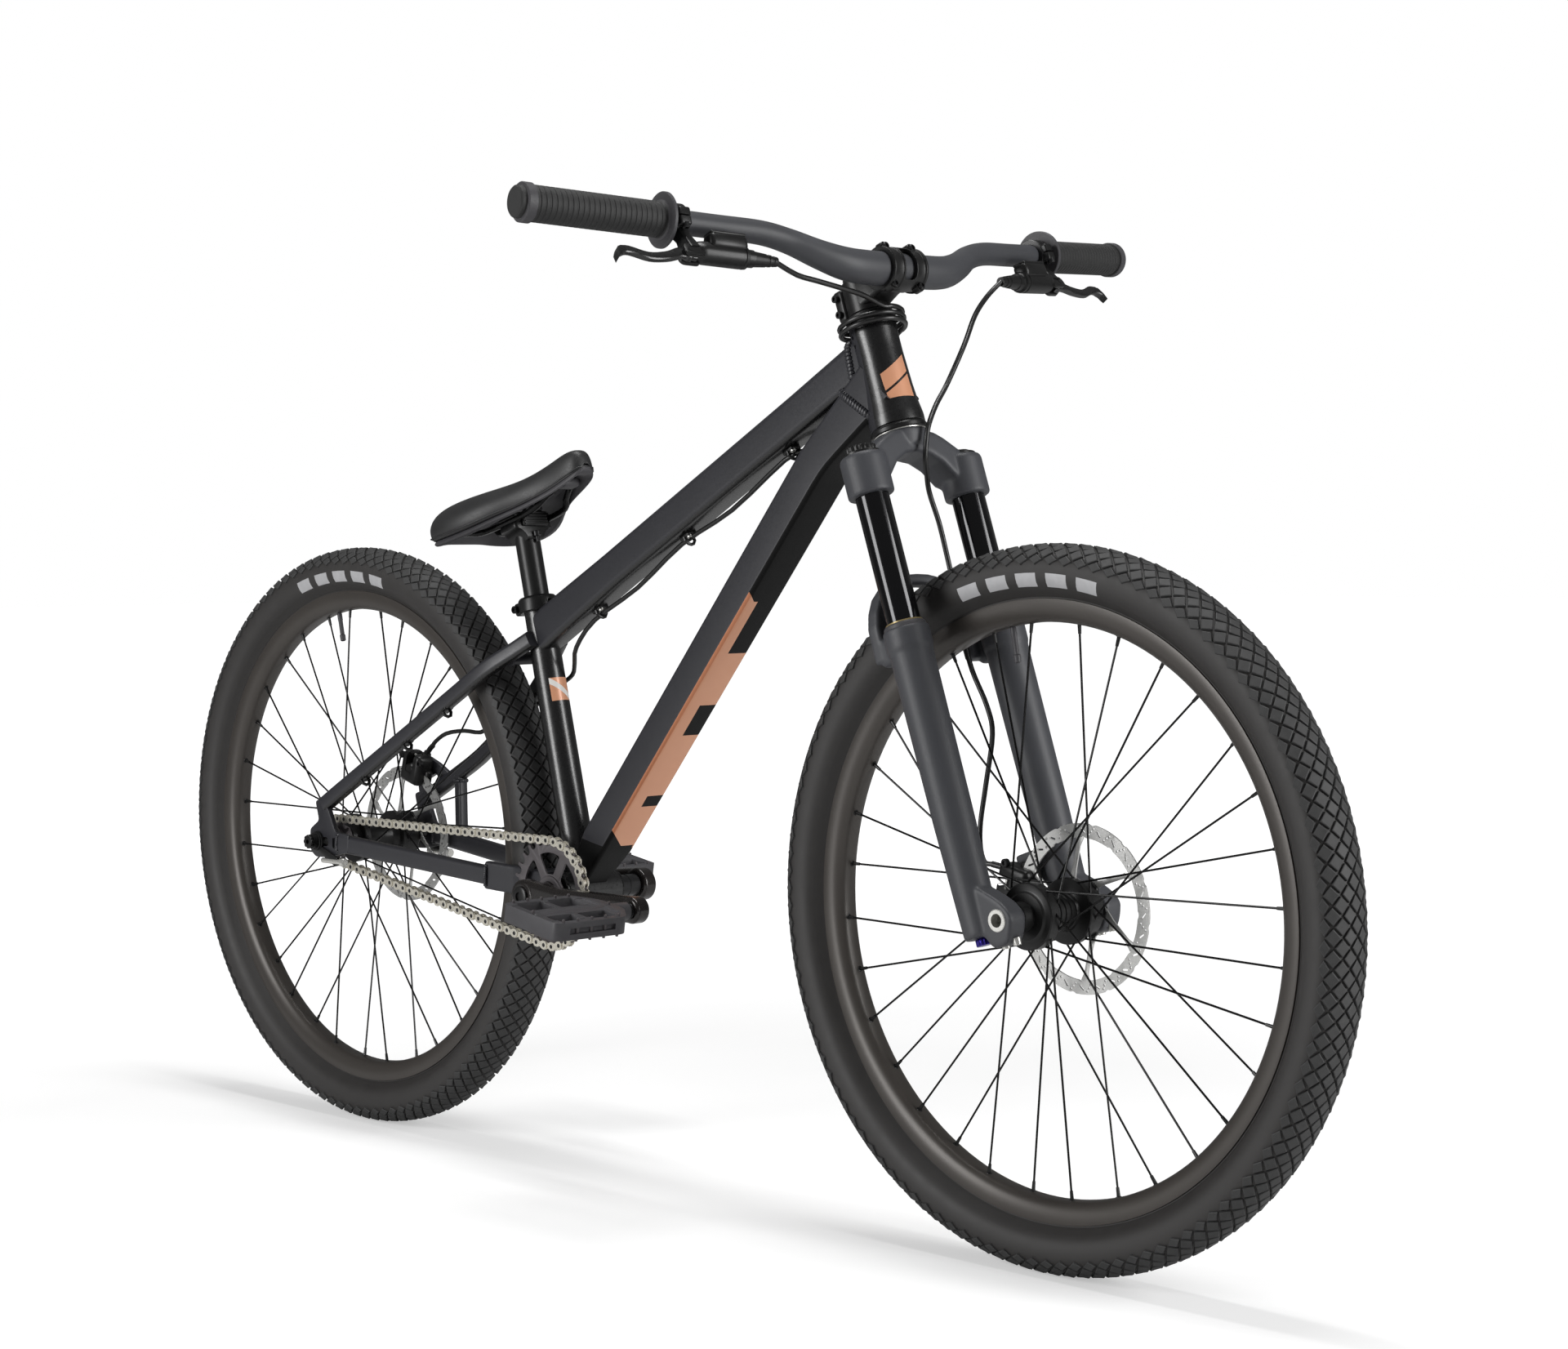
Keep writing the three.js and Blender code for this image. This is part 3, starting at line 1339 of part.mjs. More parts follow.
function discTabShape() {
  const centre = rearCaliperAt();
  const inner = rearRotorOffset + caliperWidth / 2 + clearance;
  const stay = leftStayAt(stayUnder);
  const stayFar = leftStayAt(stayUnder + 2 * discTabSpan);
  const outline = [
    [stay.x, stay.z], [stayFar.x, stayFar.z], [centre.x + discTabSpan * 0.6, centre.z + discTabRise],
    [centre.x, centre.z + discTabSpan * 0.4], [centre.x - discTabSpan * 0.5, centre.z - discTabRise],
  ];
  return plate(outline, inner + discTabThickness / 2, discTabThickness);
}

function tugSolid(side) {
  const y = side * tugPlateY();
  const at = rearAxleAt;
  const ring = circle(at.x, at.z, tugRadius, roundSegments);
  const arm = [
    [at.x, at.z - tugRadius], [at.x + tugArm, at.z - tugHeight - 2 * tugScrewRadius],
    [at.x + tugArm, at.z - tugHeight + tugScrewRadius], [at.x + tugRadius, at.z - tugRadius / 2],
  ];
  const screwZ = at.z - tugHeight - tugScrewRadius / 2;
  const screw = rod(
    vector(at.x + tugRadius, y, screwZ), vector(at.x + tugArm + tugRadius, y, screwZ),
    tugScrewRadius, smallSegments);
  const bore = rod(
    at.clone().setY(y - tugThickness), at.clone().setY(y + tugThickness),
    rearAxleRadius + clearance, roundSegments);
  return cut(joined(plate(ring, y, tugThickness), plate(arm, y, tugThickness), screw), bore);
}

function rearAxleSolid() {
  const outer = Math.abs(tugPlateY()) + tugThickness / 2 + clearance;
  const inner = rearHubWidth / 2 - clearance;
  const spacer = rearHubWidth / 2 - axleNutLength + clearance;
  const nut = outer + axleWasherThickness;
  const nutEnd = nut + axleNutLength * axleNutOuterShare;
  const half = (s) => [
    [s * spacer, rearAxleRadius], [s * spacer, rearHubCapRadius - clearance],
    [s * inner, rearHubCapRadius - clearance], [s * inner, rearAxleRadius],
    [s * outer, rearAxleRadius], [s * outer, axleNutRadius], [s * nut, axleNutRadius],
    [s * nut, axleKnobRadius + clearance], [s * nutEnd, axleKnobRadius + clearance],
    [s * nutEnd, 0],
  ];
  const shaft = acrossTurned([...half(-1).reverse(), ...half(1)], rearAxleAt);
  const knobs = sides.map(([, side]) => {
    const notches = Array.from({ length: 4 * axleKnobNotches }, (_, i) => {
      const turn = (i / (4 * axleKnobNotches)) * 2 * Math.PI;
      const radius = i % 4 < 2 ? axleKnobRadius : axleKnobRadius * axleKnobNotchShare;
      return [rearAxleAt.x + radius * Math.cos(turn), rearAxleAt.z + radius * Math.sin(turn)];
    });
    const thickness = rearAxleReach - nutEnd;
    return plate(notches, side * (nutEnd + thickness / 2 - clearance), thickness + 2 * clearance);
  });
  return joined(shaft, ...knobs);
}

// Headset, all turned about the steering axis
function cupSolid(lipLow, lipHigh, lipRadius, insertEnd) {
  const insert = headTubeBore - clearance;
  const bore = steererRadius + 2 * clearance;
  const inner = insertEnd > lipHigh ? lipHigh : lipLow;
  const outer = insertEnd > lipHigh ? lipLow : lipHigh;
  const profile = [
    [outer, bore], [outer, lipRadius], [inner, lipRadius], [inner, insert], [insertEnd, insert],
    [insertEnd, bore], [outer, bore],
  ];
  return inSteering(turned(profile));
}

// Seat clamp, post and saddle
const clampBase = seatTubeLength - clampHeight * 0.55;

function seatClampSolid() {
  const low = clampBase;
  const step = seatTubeLength + clearance;
  const top = clampBase + clampHeight;
  const tubeBore = seatTubeTopRadius + 2 * clearance;
  const outer = tubeBore + clampWall;
  const postBore = postRadius + 2 * clearance;
  const profile = [
    [low, tubeBore], [low, outer], [top, outer], [top, postBore], [step, postBore],
    [step, tubeBore], [low, tubeBore],
  ];
  const ring = aimed(turned(profile), bracketAt, seatDirection);
  const middle = low + clampHeight / 2;
  const lug = box(origin, clampLugLength, clampLugWidth, clampHeight * 0.8)
    .translate(-outer - clampLugLength / 2 + clampWall, 0, 0);
  const slit = box(origin, clampLugLength * 2, clampSlit, clampHeight * 2)
    .translate(-outer - clampWall, 0, 0);
  const bolt = rod(
    vector(-outer - clampWall, -clampLugWidth * 0.6, 0),
    vector(-outer - clampWall, clampLugWidth * 0.6, 0), clampWall * 0.7, smallSegments);
  const place = (geometry) => {
    const spot = seatPoint(middle);
    return geometry.rotateY(seatAngle - Math.PI / 2).translate(spot.x, spot.y, spot.z);
  };
  return joined(cut(joined(ring, place(lug)), place(slit)), place(bolt));
}

// The saddle's frame: its origin on the rail clamp, X along the rails towards the nose.
const saddleFrame = new THREE.Matrix4()
  .makeRotationY(-saddleTilt)
  .setPosition(seatPoint(railHeight - railClampDrop));
const postTop = () => railHeight - railClampDrop - postTopDrop;
const inSaddle = (geometry) => geometry.applyMatrix4(saddleFrame);

// Each row: shares of the front or rear length, of the half width, of the height to the top and
// to the edge, and how hollow it is underneath.
const saddleStationShares = [
  [-1, 0.36, 0.6667, 0.3111, 0], [-0.95, 0.62, 0.8222, 0.2222, 0.25],
  [-0.84, 0.86, 0.9556, 0.1333, 1], [-0.66, 0.98, 1.0222, 0.0444, 1], [-0.42, 1, 1.0222, 0, 1],
  [-0.16, 0.92, 0.9889, 0.0222, 1], [0.06, 0.76, 0.9556, 0.1111, 1], [0.26, 0.54, 0.9556, 0.2, 1],
  [0.46, 0.39, 0.9889, 0.2889, 1], [0.66, 0.31, 1.0444, 0.3556, 1],
  [0.82, 0.27, 1.0889, 0.4222, 0.6], [0.93, 0.2, 1.0444, 0.4889, 0.2],
  [1, 0.08, 0.8444, 0.6222, 0],
];
const cushionOuterShares = [
  [-0.93, 0], [-1, 0.3], [-0.86, 0.76], [-0.46, 0.96], [0, 1], [0.46, 0.96], [0.86, 0.76],
  [1, 0.3], [0.93, 0],
];
const cushionInnerShares = [0.86, 0.7, 0, -0.7, -0.86];

function saddleStationAt([along, width, top, edge, hollow]) {
  const reach = along < 0 ? saddleRear : saddleFront;
  return {
    x: along * reach, half: width * saddleHalfWidth, top: top * saddleTop, edge: edge * saddleTop,
    hollow,
  };
}

function cushionSolid() {
  const rings = saddleStationShares.map(saddleStationAt).map(({ x, half, top, edge, hollow }) => {
    const outer = cushionOuterShares.map(([w, h]) => vector(x, w * half, edge + h * (top - edge)));
    const ceiling = top - cushionDepth - edge;
    const inner = cushionInnerShares.map((w) => {
      const rise = Math.abs(w) > 0.8 ? 0 : hollow * ceiling;
      return vector(x, w * half, edge + rise - (1 - hollow) * (1 - Math.abs(w)));
    });
    return [...outer, ...inner];
  });
  return inSaddle(loft(rings));
}

function baseSolid() {
  const kept = saddleStationShares.filter(([, , , , hollow]) => hollow === 1).map(saddleStationAt);
  const rings = kept.map(({ x, half, top }) => {
    const high = top - cushionDepth - clearance;
    const low = high - saddleBaseThickness;
    const side = half * baseWidthShare;
    return [vector(x, -side, low), vector(x, -side, high), vector(x, side, high), vector(x, side, low)];
  });
  return inSaddle(loft(rings));
}


function railSolid() {
  const half = railSpacing / 2;
  const rear = vector(railRearX, -railRearY, railRearRise);
  const rearBend = vector(-railStraightHalf, -half, railRise);
  const noseBend = vector(railStraightHalf, -half, railRise);
  const nose = vector(railNoseX, -railNoseY, railNoseRise);
  const between = (a, b) => a.clone().lerp(b, railBendShare);
  const right = [
    rear, between(rear, rearBend), rearBend, noseBend, between(noseBend, nose), nose,
  ];
  const left = right.map((p) => p.clone().setY(-p.y)).reverse();
  const points = [...right, vector(railNoseX + railNoseY, 0, railNoseRise), ...left];
  return inSaddle(roundTube(points, points.map(() => railRadius), 8));
}

function railGrooves() {
  const half = railSpacing / 2;
  return sides.map(([, side]) => inSaddle(rod(
    vector(-railStraightHalf, side * half, railRise), vector(railStraightHalf, side * half, railRise),
    railRadius + clearance, 8)));
}

function postSolid() {
  const shaft = rod(seatPoint(postBottom), seatPoint(postTop()), postRadius, roundSegments);
  const high = railRise - clearance / 2;
  const low = high - postHeadHeight;
  const outline = [
    [-postHeadDepth / 2, high], [-postHeadDepth / 2, high - postHeadHeight * 0.35],
    [-postRadius, low], [postRadius, low], [postHeadDepth / 2, high - postHeadHeight * 0.35],
    [postHeadDepth / 2, high],
  ];
  const head = inSaddle(plate(outline, 0, 2 * postHeadHalfWidth));
  return cut(joined(shaft, head), ...railGrooves());
}

function railClampSolid() {
  const low = railRise + clearance / 2;
  const centre = vector(0, 0, low + railClampThickness / 2 + clearance / 2);
  const block = inSaddle(box(centre, postHeadDepth, 2 * postHeadHalfWidth, railClampThickness));
  return cut(block, ...railGrooves());
}

// Fork. Everything here is in the steering frame: X forward, Z up the steering axis.
const lowSide = (side) => (side * legSpacing) / 2;
const crownTop = crownRaceHeight;

// Half outlines in shares of the leg spacing's half and of the rise from boss foot to crown top.
const crownTopShares = [[0, 1], [0.43, 0.96], [0.77, 0.77], [1, 0.62]];
const crownUnderShares = [[1, 0.2], [0.68, 0.24], [0.46, 0.5], [0, 0.66]];

function bothSides(half) {
  const left = half.filter(([y]) => y !== 0).map(([y, z]) => [-y, z]).reverse();
  return { half, left };
}

function archedOutline(topShares, underShares, low, high, reach) {
  const at = ([y, z]) => [y * reach, low + z * (high - low)];
  const top = bothSides(topShares.map(at));
  const under = bothSides(underShares.map(at));
  const topRun = [...top.left, ...top.half];
  const underRun = [...under.half, ...under.left];
  return [...topRun, ...underRun];
}

function crownSolid() {
  const outline = archedOutline(
    crownTopShares, crownUnderShares, bossBottom, crownTop, legSpacing / 2);
  const bridge = frontPlate(outline, legOffset / 2, 2 * crownHalfDepth);
  const bosses = sides.map(([, side]) => rod(
    vector(legOffset, lowSide(side), bossBottom), vector(legOffset, lowSide(side), bossTop),
    bossRadius, roundSegments));
  const raceTop = headTubeBottom - cupLip - clearance;
  const caps = sides.map(([, side]) => rod(
    vector(legOffset, lowSide(side), bossTop - clearance),
    vector(legOffset, lowSide(side), bossTop + legCapHeight), legCapRadius, roundSegments));
  const steererTop = stemBase + stemHeight - stemGap * 4;
  const race = rod(vector(0, 0, crownTop - crownHalfDepth), vector(0, 0, raceTop), crownRaceRadius,
    roundSegments);
  const steerer = rod(vector(0, 0, crownTop - crownHalfDepth), vector(0, 0, steererTop),
    steererRadius, roundSegments);
  const bores = sides.map(([, side]) => rod(
    vector(legOffset, lowSide(side), bossBottom - cutOverrun),
    vector(legOffset, lowSide(side), bossTop - clearance), stanchionRadius + clearance,
    roundSegments));
  return cut(joined(bridge, ...bosses, ...caps, race, steerer), ...bores);
}

function stanchionSolid(side) {
  return rod(
    vector(legOffset, lowSide(side), lowerTop - stanchionOverlap),
    vector(legOffset, lowSide(side), bossTop - 3 * clearance), stanchionRadius, roundSegments);
}

const archOuterShares = [[0, 1], [0.46, 0.965], [0.9, 0.77], [1.11, 0.44], [1.13, 0]];
const archInnerShares = [[0.74, 0], [0.71, 0.44], [0.64, 0.65], [0.37, 0.84], [0, 0.87]];

function archShape() {
  const outline = archedOutline(
    archOuterShares, archInnerShares, archFoot, archTop, legSpacing / 2);
  const arch = frontPlate(outline, -archBack, 2 * archHalfDepth);
  const padHeight = (archTop - archFoot) * archPadShare;
  const pads = sides.map(([, side]) => box(
    vector(-archBack / 2 - archHalfDepth, lowSide(side) * 0.95, archFoot + padHeight / 2),
    archBack - legOffset - archHalfDepth / 4, collarRadius, padHeight));
  return joined(arch, ...pads);
}

// Outline of the axle lug: shares of the fork offset forward and of the lug radius up.
const lugOutlineShares = [
  [0.2, 2.6], [0.75, 1.75], [1.22, 0.85], [1.46, 0], [1.3, -0.8], [1.1, -1.35], [0.62, -1.35],
  [0.45, -0.5], [0, -0.3], [-0.2, 0.6],
];

function lugShape(side) {
  const outline = lugOutlineShares.map(([x, z]) => [x * forkOffset, z * lugRadius]);
  return plate(outline, side * (lugInnerHalf + lugThickness / 2), lugThickness);
}

function legShape(side, grow = 0) {
  const profile = [
    [legBottom, 0], [legBottom, legFootRadius + grow], [lowerTop * 0.35, legMidRadius + grow],
    [lowerTop - collarLength, legTopRadius + grow], [lowerTop - collarLength, collarRadius + grow],
    [lowerTop, collarRadius + grow], [lowerTop, 0],
  ];
  return turned(profile).translate(legOffset, lowSide(side), 0);
}

// Disc mount on the left leg: shares of the caliper centre's distance back and of its height.
const mountOutlineShares = [
  [-0.1, 0.3], [-0.1, 2.1], [0.5, 2.1], [1.35, 1.35], [1.75, 0.8], [1.4, 0.45], [0.7, 0.2],
];
const frontCaliperAt = () =>
  caliperCentre(vector(forkOffset, 0, 0), frontCaliperAngle, frontRotorOffset);

function discMountShape() {
  const centre = frontCaliperAt();
  const inner = frontRotorOffset + caliperWidth / 2 + clearance;
  const outline = mountOutlineShares.map(([x, z]) => [x * centre.x, z * centre.z]);
  return plate(outline, inner + postMountThickness / 2, postMountThickness);
}

function lowersSolid() {
  const legs = sides.flatMap(([, side]) => [legShape(side), lugShape(side)]);
  const clip = box(
    vector(-guideClipSize, lowSide(1) - collarRadius * 0.8, guideClipHeight),
    guideClipSize * 3, guideClipSize, guideClipSize);
  const bolts = sides.flatMap(([, side]) => [-1, 1].map((row) => {
    const y = side * (lugInnerHalf + lugThickness / 2 + (row * lugThickness) / 4);
    const z = -lugRadius * 1.15;
    return rod(
      vector(forkOffset * 1.1, y, z), vector(forkOffset * 1.34, y, z), tugScrewRadius, 6);
  }));
  const body = joined(...legs, archShape(), discMountShape(), clip);
  const slits = box(
    vector(forkOffset, 0, -lugRadius), pinchSlit, 2 * (lugInnerHalf + lugThickness + cutOverrun),
    2 * lugRadius);
  const bores = sides.map(([, side]) => rod(
    vector(legOffset, lowSide(side), legBoreFloor),
    vector(legOffset, lowSide(side), lowerTop + cutOverrun), legBore, roundSegments));
  const axleBore = rod(
    vector(forkOffset, -lugInnerHalf - 2 * lugThickness, 0),
    vector(forkOffset, lugInnerHalf + 2 * lugThickness, 0), frontAxleRadius + clearance,
    roundSegments);
  const shaped = joined(cut(body, slits), ...bolts);
  return cut(shaped, ...bores, axleBore, hoseShape(frontHosePoints(), hoseRadius + clearance));
}

function frontAxleSolid() {
  const half = frontHubWidth / 2 + frontAxleOverhang;
  const collar = lugInnerHalf + lugThickness + clearance;
  const profile = [
    [-half, frontAxleBore], [-half, frontAxleRadius + 1.5 * clearance],
    [-collar, frontAxleRadius + 1.5 * clearance], [-collar, frontAxleRadius],
    [half, frontAxleRadius], [half, frontAxleBore], [-half, frontAxleBore],
  ];
  return acrossTurned(profile, vector(forkOffset, 0, 0));
}

// Places beside the crown race, then beside the front axle.
const frontHoseFromLever = [
  [37, 130, 131], [41.6, 100, 108], [43, 72, 76], [34, 45, 40], [32.5, 24, 19],
  [32.5, 7, -1], [28.5, 2, -16], [23, 1, -31], [13.4, 8, -43], [0, 20, -57], [-6.5, 30, -85],
  [-12, 35.5, -115], [-14.6, 37.3, -139], [-16.5, 37.6, -163], [-21, 39.5, -197],
  [-21.5, 40.5, -227], [-16, 42, -264],
];
const frontHoseToCaliper = [
  [-20, 44, 186], [-45, 46, 145], [-64, 46, 112], [-70, 44, 90], [-67, 41, 74],
];

function frontHosePoints() {
  const upper = frontHoseFromLever.map(([x, y, z]) => [x, y, crownRaceHeight + z]);
  return eased([hoseAtLever(1), ...toVectors([...upper, ...frontHoseToCaliper])], hoseStep);
}

function knobSolid() {
  const profile = [
    [legBottom - clearance - knobHeight, 0], [legBottom - clearance - knobHeight, knobRadius * 0.8],
    [legBottom - clearance - knobHeight / 2, knobRadius], [legBottom - clearance, knobRadius],
    [legBottom - clearance, 0],
  ];
  return turned(profile, smallSegments).translate(legOffset, lowSide(-1), 0);
}

// Cockpit, still in the steering frame
const stemBase = headTubeTop + upperCupHeight + stemGap;
const barHeight = stemBase + stemHeight / 2 + stemRise;
const barStationShares = [[0, 0], [0.28, 0], [0.45, 0.08], [0.62, 0.36], [0.8, 0.76], [1, 1]];
const barTaperShares = [0, 0, 0.15, 0.55, 0.9, 1];

// The bar's middle line on one side, as points from the stem outwards.
function barLine(side) {
  const bends = barStationShares.map(([out, rise]) =>
    vector(stemReach - rise * barBackset, side * out * barBendHalf, barHeight + rise * barRise));
  const tip = vector(stemReach - barTipBackset, side * barHalfWidth, barHeight + barTipRise);
  return [...bends, tip];
}

function barAt(side, across) {
  const [bend, tip] = barLine(side).slice(-2);
  return bend.lerp(tip, (across - barBendHalf) / (barHalfWidth - barBendHalf));
}

const gripStart = barHalfWidth - gripLength - gripEndLength - gripPlugLength;
const leverClampY = gripStart - leverGripGap;
const leverPivotY = leverClampY + leverPivotOut;
const barEnd = barHalfWidth - gripPlugLength - clearance;

function handlebarSolid() {
  const radii = [...barTaperShares.map((s) => THREE.MathUtils.lerp(barCentreRadius, barEndRadius, s)),
    barEndRadius];
  const line = (side) => [...barLine(side).slice(0, -1), barAt(side, barEnd)];
  const points = [...line(-1).reverse(), ...line(1).slice(1)];
  return roundTube(points, [...radii.slice().reverse(), ...radii.slice(1)], roundSegments);
}

function gripSolid(side) {
  const from = barAt(side, gripStart);
  const heading = barAt(side, barHalfWidth).sub(from);
  const length = heading.length();
  const bore = aroundShaft(barEndRadius);
  const boreEnd = barAt(side, barEnd).sub(from).length() + clearance;
  const ringStart = length - gripEndLength - gripPlugLength;
  const profile = [
    [0, bore], [0, gripFlangeRadius], [gripFlangeThickness, gripFlangeRadius],
    [gripFlangeThickness, gripRadius], [ringStart, gripRadius], [ringStart, gripEndRadius],
    [ringStart + gripEndLength, gripEndRadius], [length, gripEndRadius * 0.8], [length, 0],
    [boreEnd, 0], [boreEnd, bore], [0, bore],
  ];
  return aimed(turned(profile), from, heading);
}

const barAxis = () => vector(stemReach, 0, barHeight);

function stemSolid() {
  const middle = stemBase + stemHeight / 2;
  const bore = steererRadius + clearance;
  const column = rod(
    vector(0, 0, stemBase), vector(0, 0, stemBase + stemHeight), stemClampRadius, roundSegments);
  const arm = facetedTube([
    { at: vector(0, 0, middle), width: stemBodyWidth, depth: stemBodyHeight },
    { at: vector(stemReach, 0, barHeight), width: stemBodyWidth, depth: stemBodyHeight },
  ]);
  const shell = acrossTurned([
    [-barClampHalf, 0], [-barClampHalf, barClampOuter], [barClampHalf, barClampOuter],
    [barClampHalf, 0],
  ], barAxis());
  const ears = box(
    vector(-stemClampRadius - stemEarLength / 2 + stemSlit, 0, middle), stemEarLength,
    stemEarWidth, stemHeight - stemSlit);
  const slit = box(
    vector(-stemClampRadius - stemEarLength, 0, middle), 2 * stemEarLength + stemSlit, stemSlit,
    2 * stemHeight);
  const bolts = [-1, 1].map((row) => rod(
    vector(-stemClampRadius - stemEarLength / 3, -stemEarWidth * 0.6, middle + (row * stemHeight) / 4),
    vector(-stemClampRadius - stemEarLength / 3, stemEarWidth * 0.6, middle + (row * stemHeight) / 4),
    stemBoltRadius, smallSegments));
  const front = box(
    vector(stemReach + barClampOuter - faceplateGap / 2, 0, barHeight), 2 * barClampOuter,
    4 * barClampHalf, 4 * barClampOuter);
  const steererBore = rod(
    vector(0, 0, stemBase - cutOverrun), vector(0, 0, stemBase + stemHeight + cutOverrun), bore,
    roundSegments);
  const body = cut(joined(column, arm, shell, ears), slit, front, barBore());
  return cut(joined(body, ...bolts), steererBore);
}


function barBore() {
  return acrossTurned([
    [-2 * barClampHalf, 0], [-2 * barClampHalf, aroundShaft(barCentreRadius)],
    [2 * barClampHalf, aroundShaft(barCentreRadius)], [2 * barClampHalf, 0],
  ], barAxis(), roundSegments);
}

function faceplateSolid() {
  const shell = acrossTurned([
    [-barClampHalf, 0], [-barClampHalf, barClampOuter], [barClampHalf, barClampOuter],
    [barClampHalf, 0],
  ], barAxis());
  const back = box(
    vector(stemReach - barClampOuter + faceplateGap / 2, 0, barHeight), 2 * barClampOuter,
    4 * barClampHalf, 4 * barClampOuter);
  const window = box(
    vector(stemReach + barClampOuter, 0, barHeight), barClampOuter, 2 * faceplateWindowHalf,
    barClampOuter);
  const boltX = stemReach + faceplateGap / 2;
  const bolts = [-1, 1].flatMap((row) => [-1, 1].map((column) => {
    const z = barHeight + row * (barClampOuter - stemBoltRadius * 0.6);
    const y = column * (barClampHalf - stemBoltRadius);
    return rod(
      vector(boltX, y, z), vector(boltX + 3 * stemBoltRadius, y, z), stemBoltRadius, smallSegments);
  }));
  return cut(joined(cut(shell, back, window), ...bolts), barBore());
}

function topCapSolid() {
  const base = stemBase + stemHeight + clearance;
  const profile = [
    [base, 0], [base, topCapRadius], [base + topCapHeight * 0.6, topCapRadius],
    [base + topCapHeight, topCapRadius * 0.8], [base + topCapHeight, stemBoltRadius],
    [base + topCapHeight / 2, stemBoltRadius], [base + topCapHeight / 2, 0],
  ];
  return turned(profile);
}

// Brake levers: the blade turns on a pin whose line is square to the pull towards the grip.
function leverFrame(side) {
  const bar = barAt(side, leverPivotY);
  const pivot = bar.clone().add(vector(leverPivotForward, 0, -leverPivotDrop));
  const out = barAt(side, barHalfWidth).sub(bar).normalize();
  const towardBar = bar.clone().sub(pivot);
  towardBar.addScaledVector(out, -towardBar.dot(out)).normalize();
  const pin = new THREE.Vector3().crossVectors(out, towardBar).multiplyScalar(side);
  return { pivot, out, towardBar, pin };
}

function inLever(shape, side) {
  const { pivot, out, towardBar, pin } = leverFrame(side);
  const place = new THREE.Matrix4().makeBasis(out, towardBar, pin).setPosition(pivot);
  return asSolid(shape).transform(place.elements.slice());
}

// Blade stations: shares of its length outwards and of its height, away from the bar or to it.
const bladeStationShares = [
  [-0.1, 0, 1], [0.1, 0, 1], [0.3, -0.5, 0.85], [0.55, -0.75, 0.75], [0.8, -0.35, 0.75],
  [0.93, -0.55, 0.8], [1, -1.2, 0.6],
];

function bladeSolid(side) {
  const half = leverBladeThickness / 2;
  const rings = bladeStationShares.map(([out, toward, height]) => {
    const x = out * leverBladeLength;
    const y = toward * leverBladeHeight;
    const h = (height * leverBladeHeight) / 2;
    return [vector(x, y - h, -half), vector(x, y + h, -half), vector(x, y + h, half),
      vector(x, y - h, half)];
  });
  const bore = rod(
    vector(0, 0, -2 * half), vector(0, 0, 2 * half), aroundShaft(leverPinRadius, smallSegments),
    smallSegments);
  return inLever(cut(loft(rings), bore), side);
}

// The inner end of the lever's barrel, and the place where the hose leaves its boot.
function leverInnerEnd(side) {
  return barAt(side, leverPivotY - leverBodyLength * leverInwardShare)
    .add(vector(leverBodyForward, 0, -leverBodyDrop));
}

function hoseAtLever(side) {
  const out = leverFrame(side).out;
  return leverInnerEnd(side).addScaledVector(out, -reliefLength - hoseLeverGap);
}

function leverBodySolid(side) {
  const bar = barAt(side, leverClampY);
  const out = barAt(side, barHalfWidth).sub(bar).normalize();
  const half = leverClampWidth / 2;
  const bore = aroundShaft(barEndRadius);
  const ring = aimed(turned([
    [-half, bore], [-half, bore + leverClampWall], [half, bore + leverClampWall], [half, bore],
    [-half, bore],
  ]), bar, out);
  const offset = vector(leverBodyForward, 0, -leverBodyDrop);
  const innerEnd = leverInnerEnd(side);
  const outerEnd = leverFrame(side).pivot;
  const barrel = rod(innerEnd, outerEnd.clone().addScaledVector(out, -leverEarGap * 1.2),
    leverBodyRadius, smallSegments);
  const neckFrom = bar.clone().addScaledVector(
    offset.clone().normalize(), bore + leverClampWall * leverNeckShare);
  const neckTo = bar.clone().add(offset);
  const neck = rod(neckFrom, neckTo, half, 8);
  const reservoirFrom = innerEnd.clone().add(vector(leverBodyRadius * 0.4, 0, leverBodyRadius));
  const reservoir = rod(reservoirFrom,
    reservoirFrom.clone().addScaledVector(out, leverBodyLength * 0.5), leverBodyRadius * 0.8, 8);
  const relief = rod(
    innerEnd.clone().addScaledVector(out, 1), innerEnd.clone().addScaledVector(out, -reliefLength),
    leverBodyRadius * 0.7, smallSegments, reliefRadius);
  const earSpan = leverBladeThickness + 2 * leverEar + 2 * clearance;
  const ear = inLever(box(
    vector(-leverEarGap / 2, 0, 0), leverEarGap * 2.6, leverBladeHeight, earSpan), side);
  const slot = inLever(box(
    vector(leverEarGap / 2, 0, 0), leverEarGap * 3.8, 3 * leverBladeHeight,
    leverBladeThickness + 2 * clearance), side);
  const pin = inLever(rod(
    vector(0, 0, -earSpan / 2), vector(0, 0, earSpan / 2), leverPinRadius, smallSegments), side);
  const body = cut(joined(ring, barrel, neck, reservoir, relief, ear), slot);
  return cut(joined(body, pin), rod(
    bar.clone().addScaledVector(out, -3 * half), bar.clone().addScaledVector(out, 3 * half), bore,
    roundSegments));
}

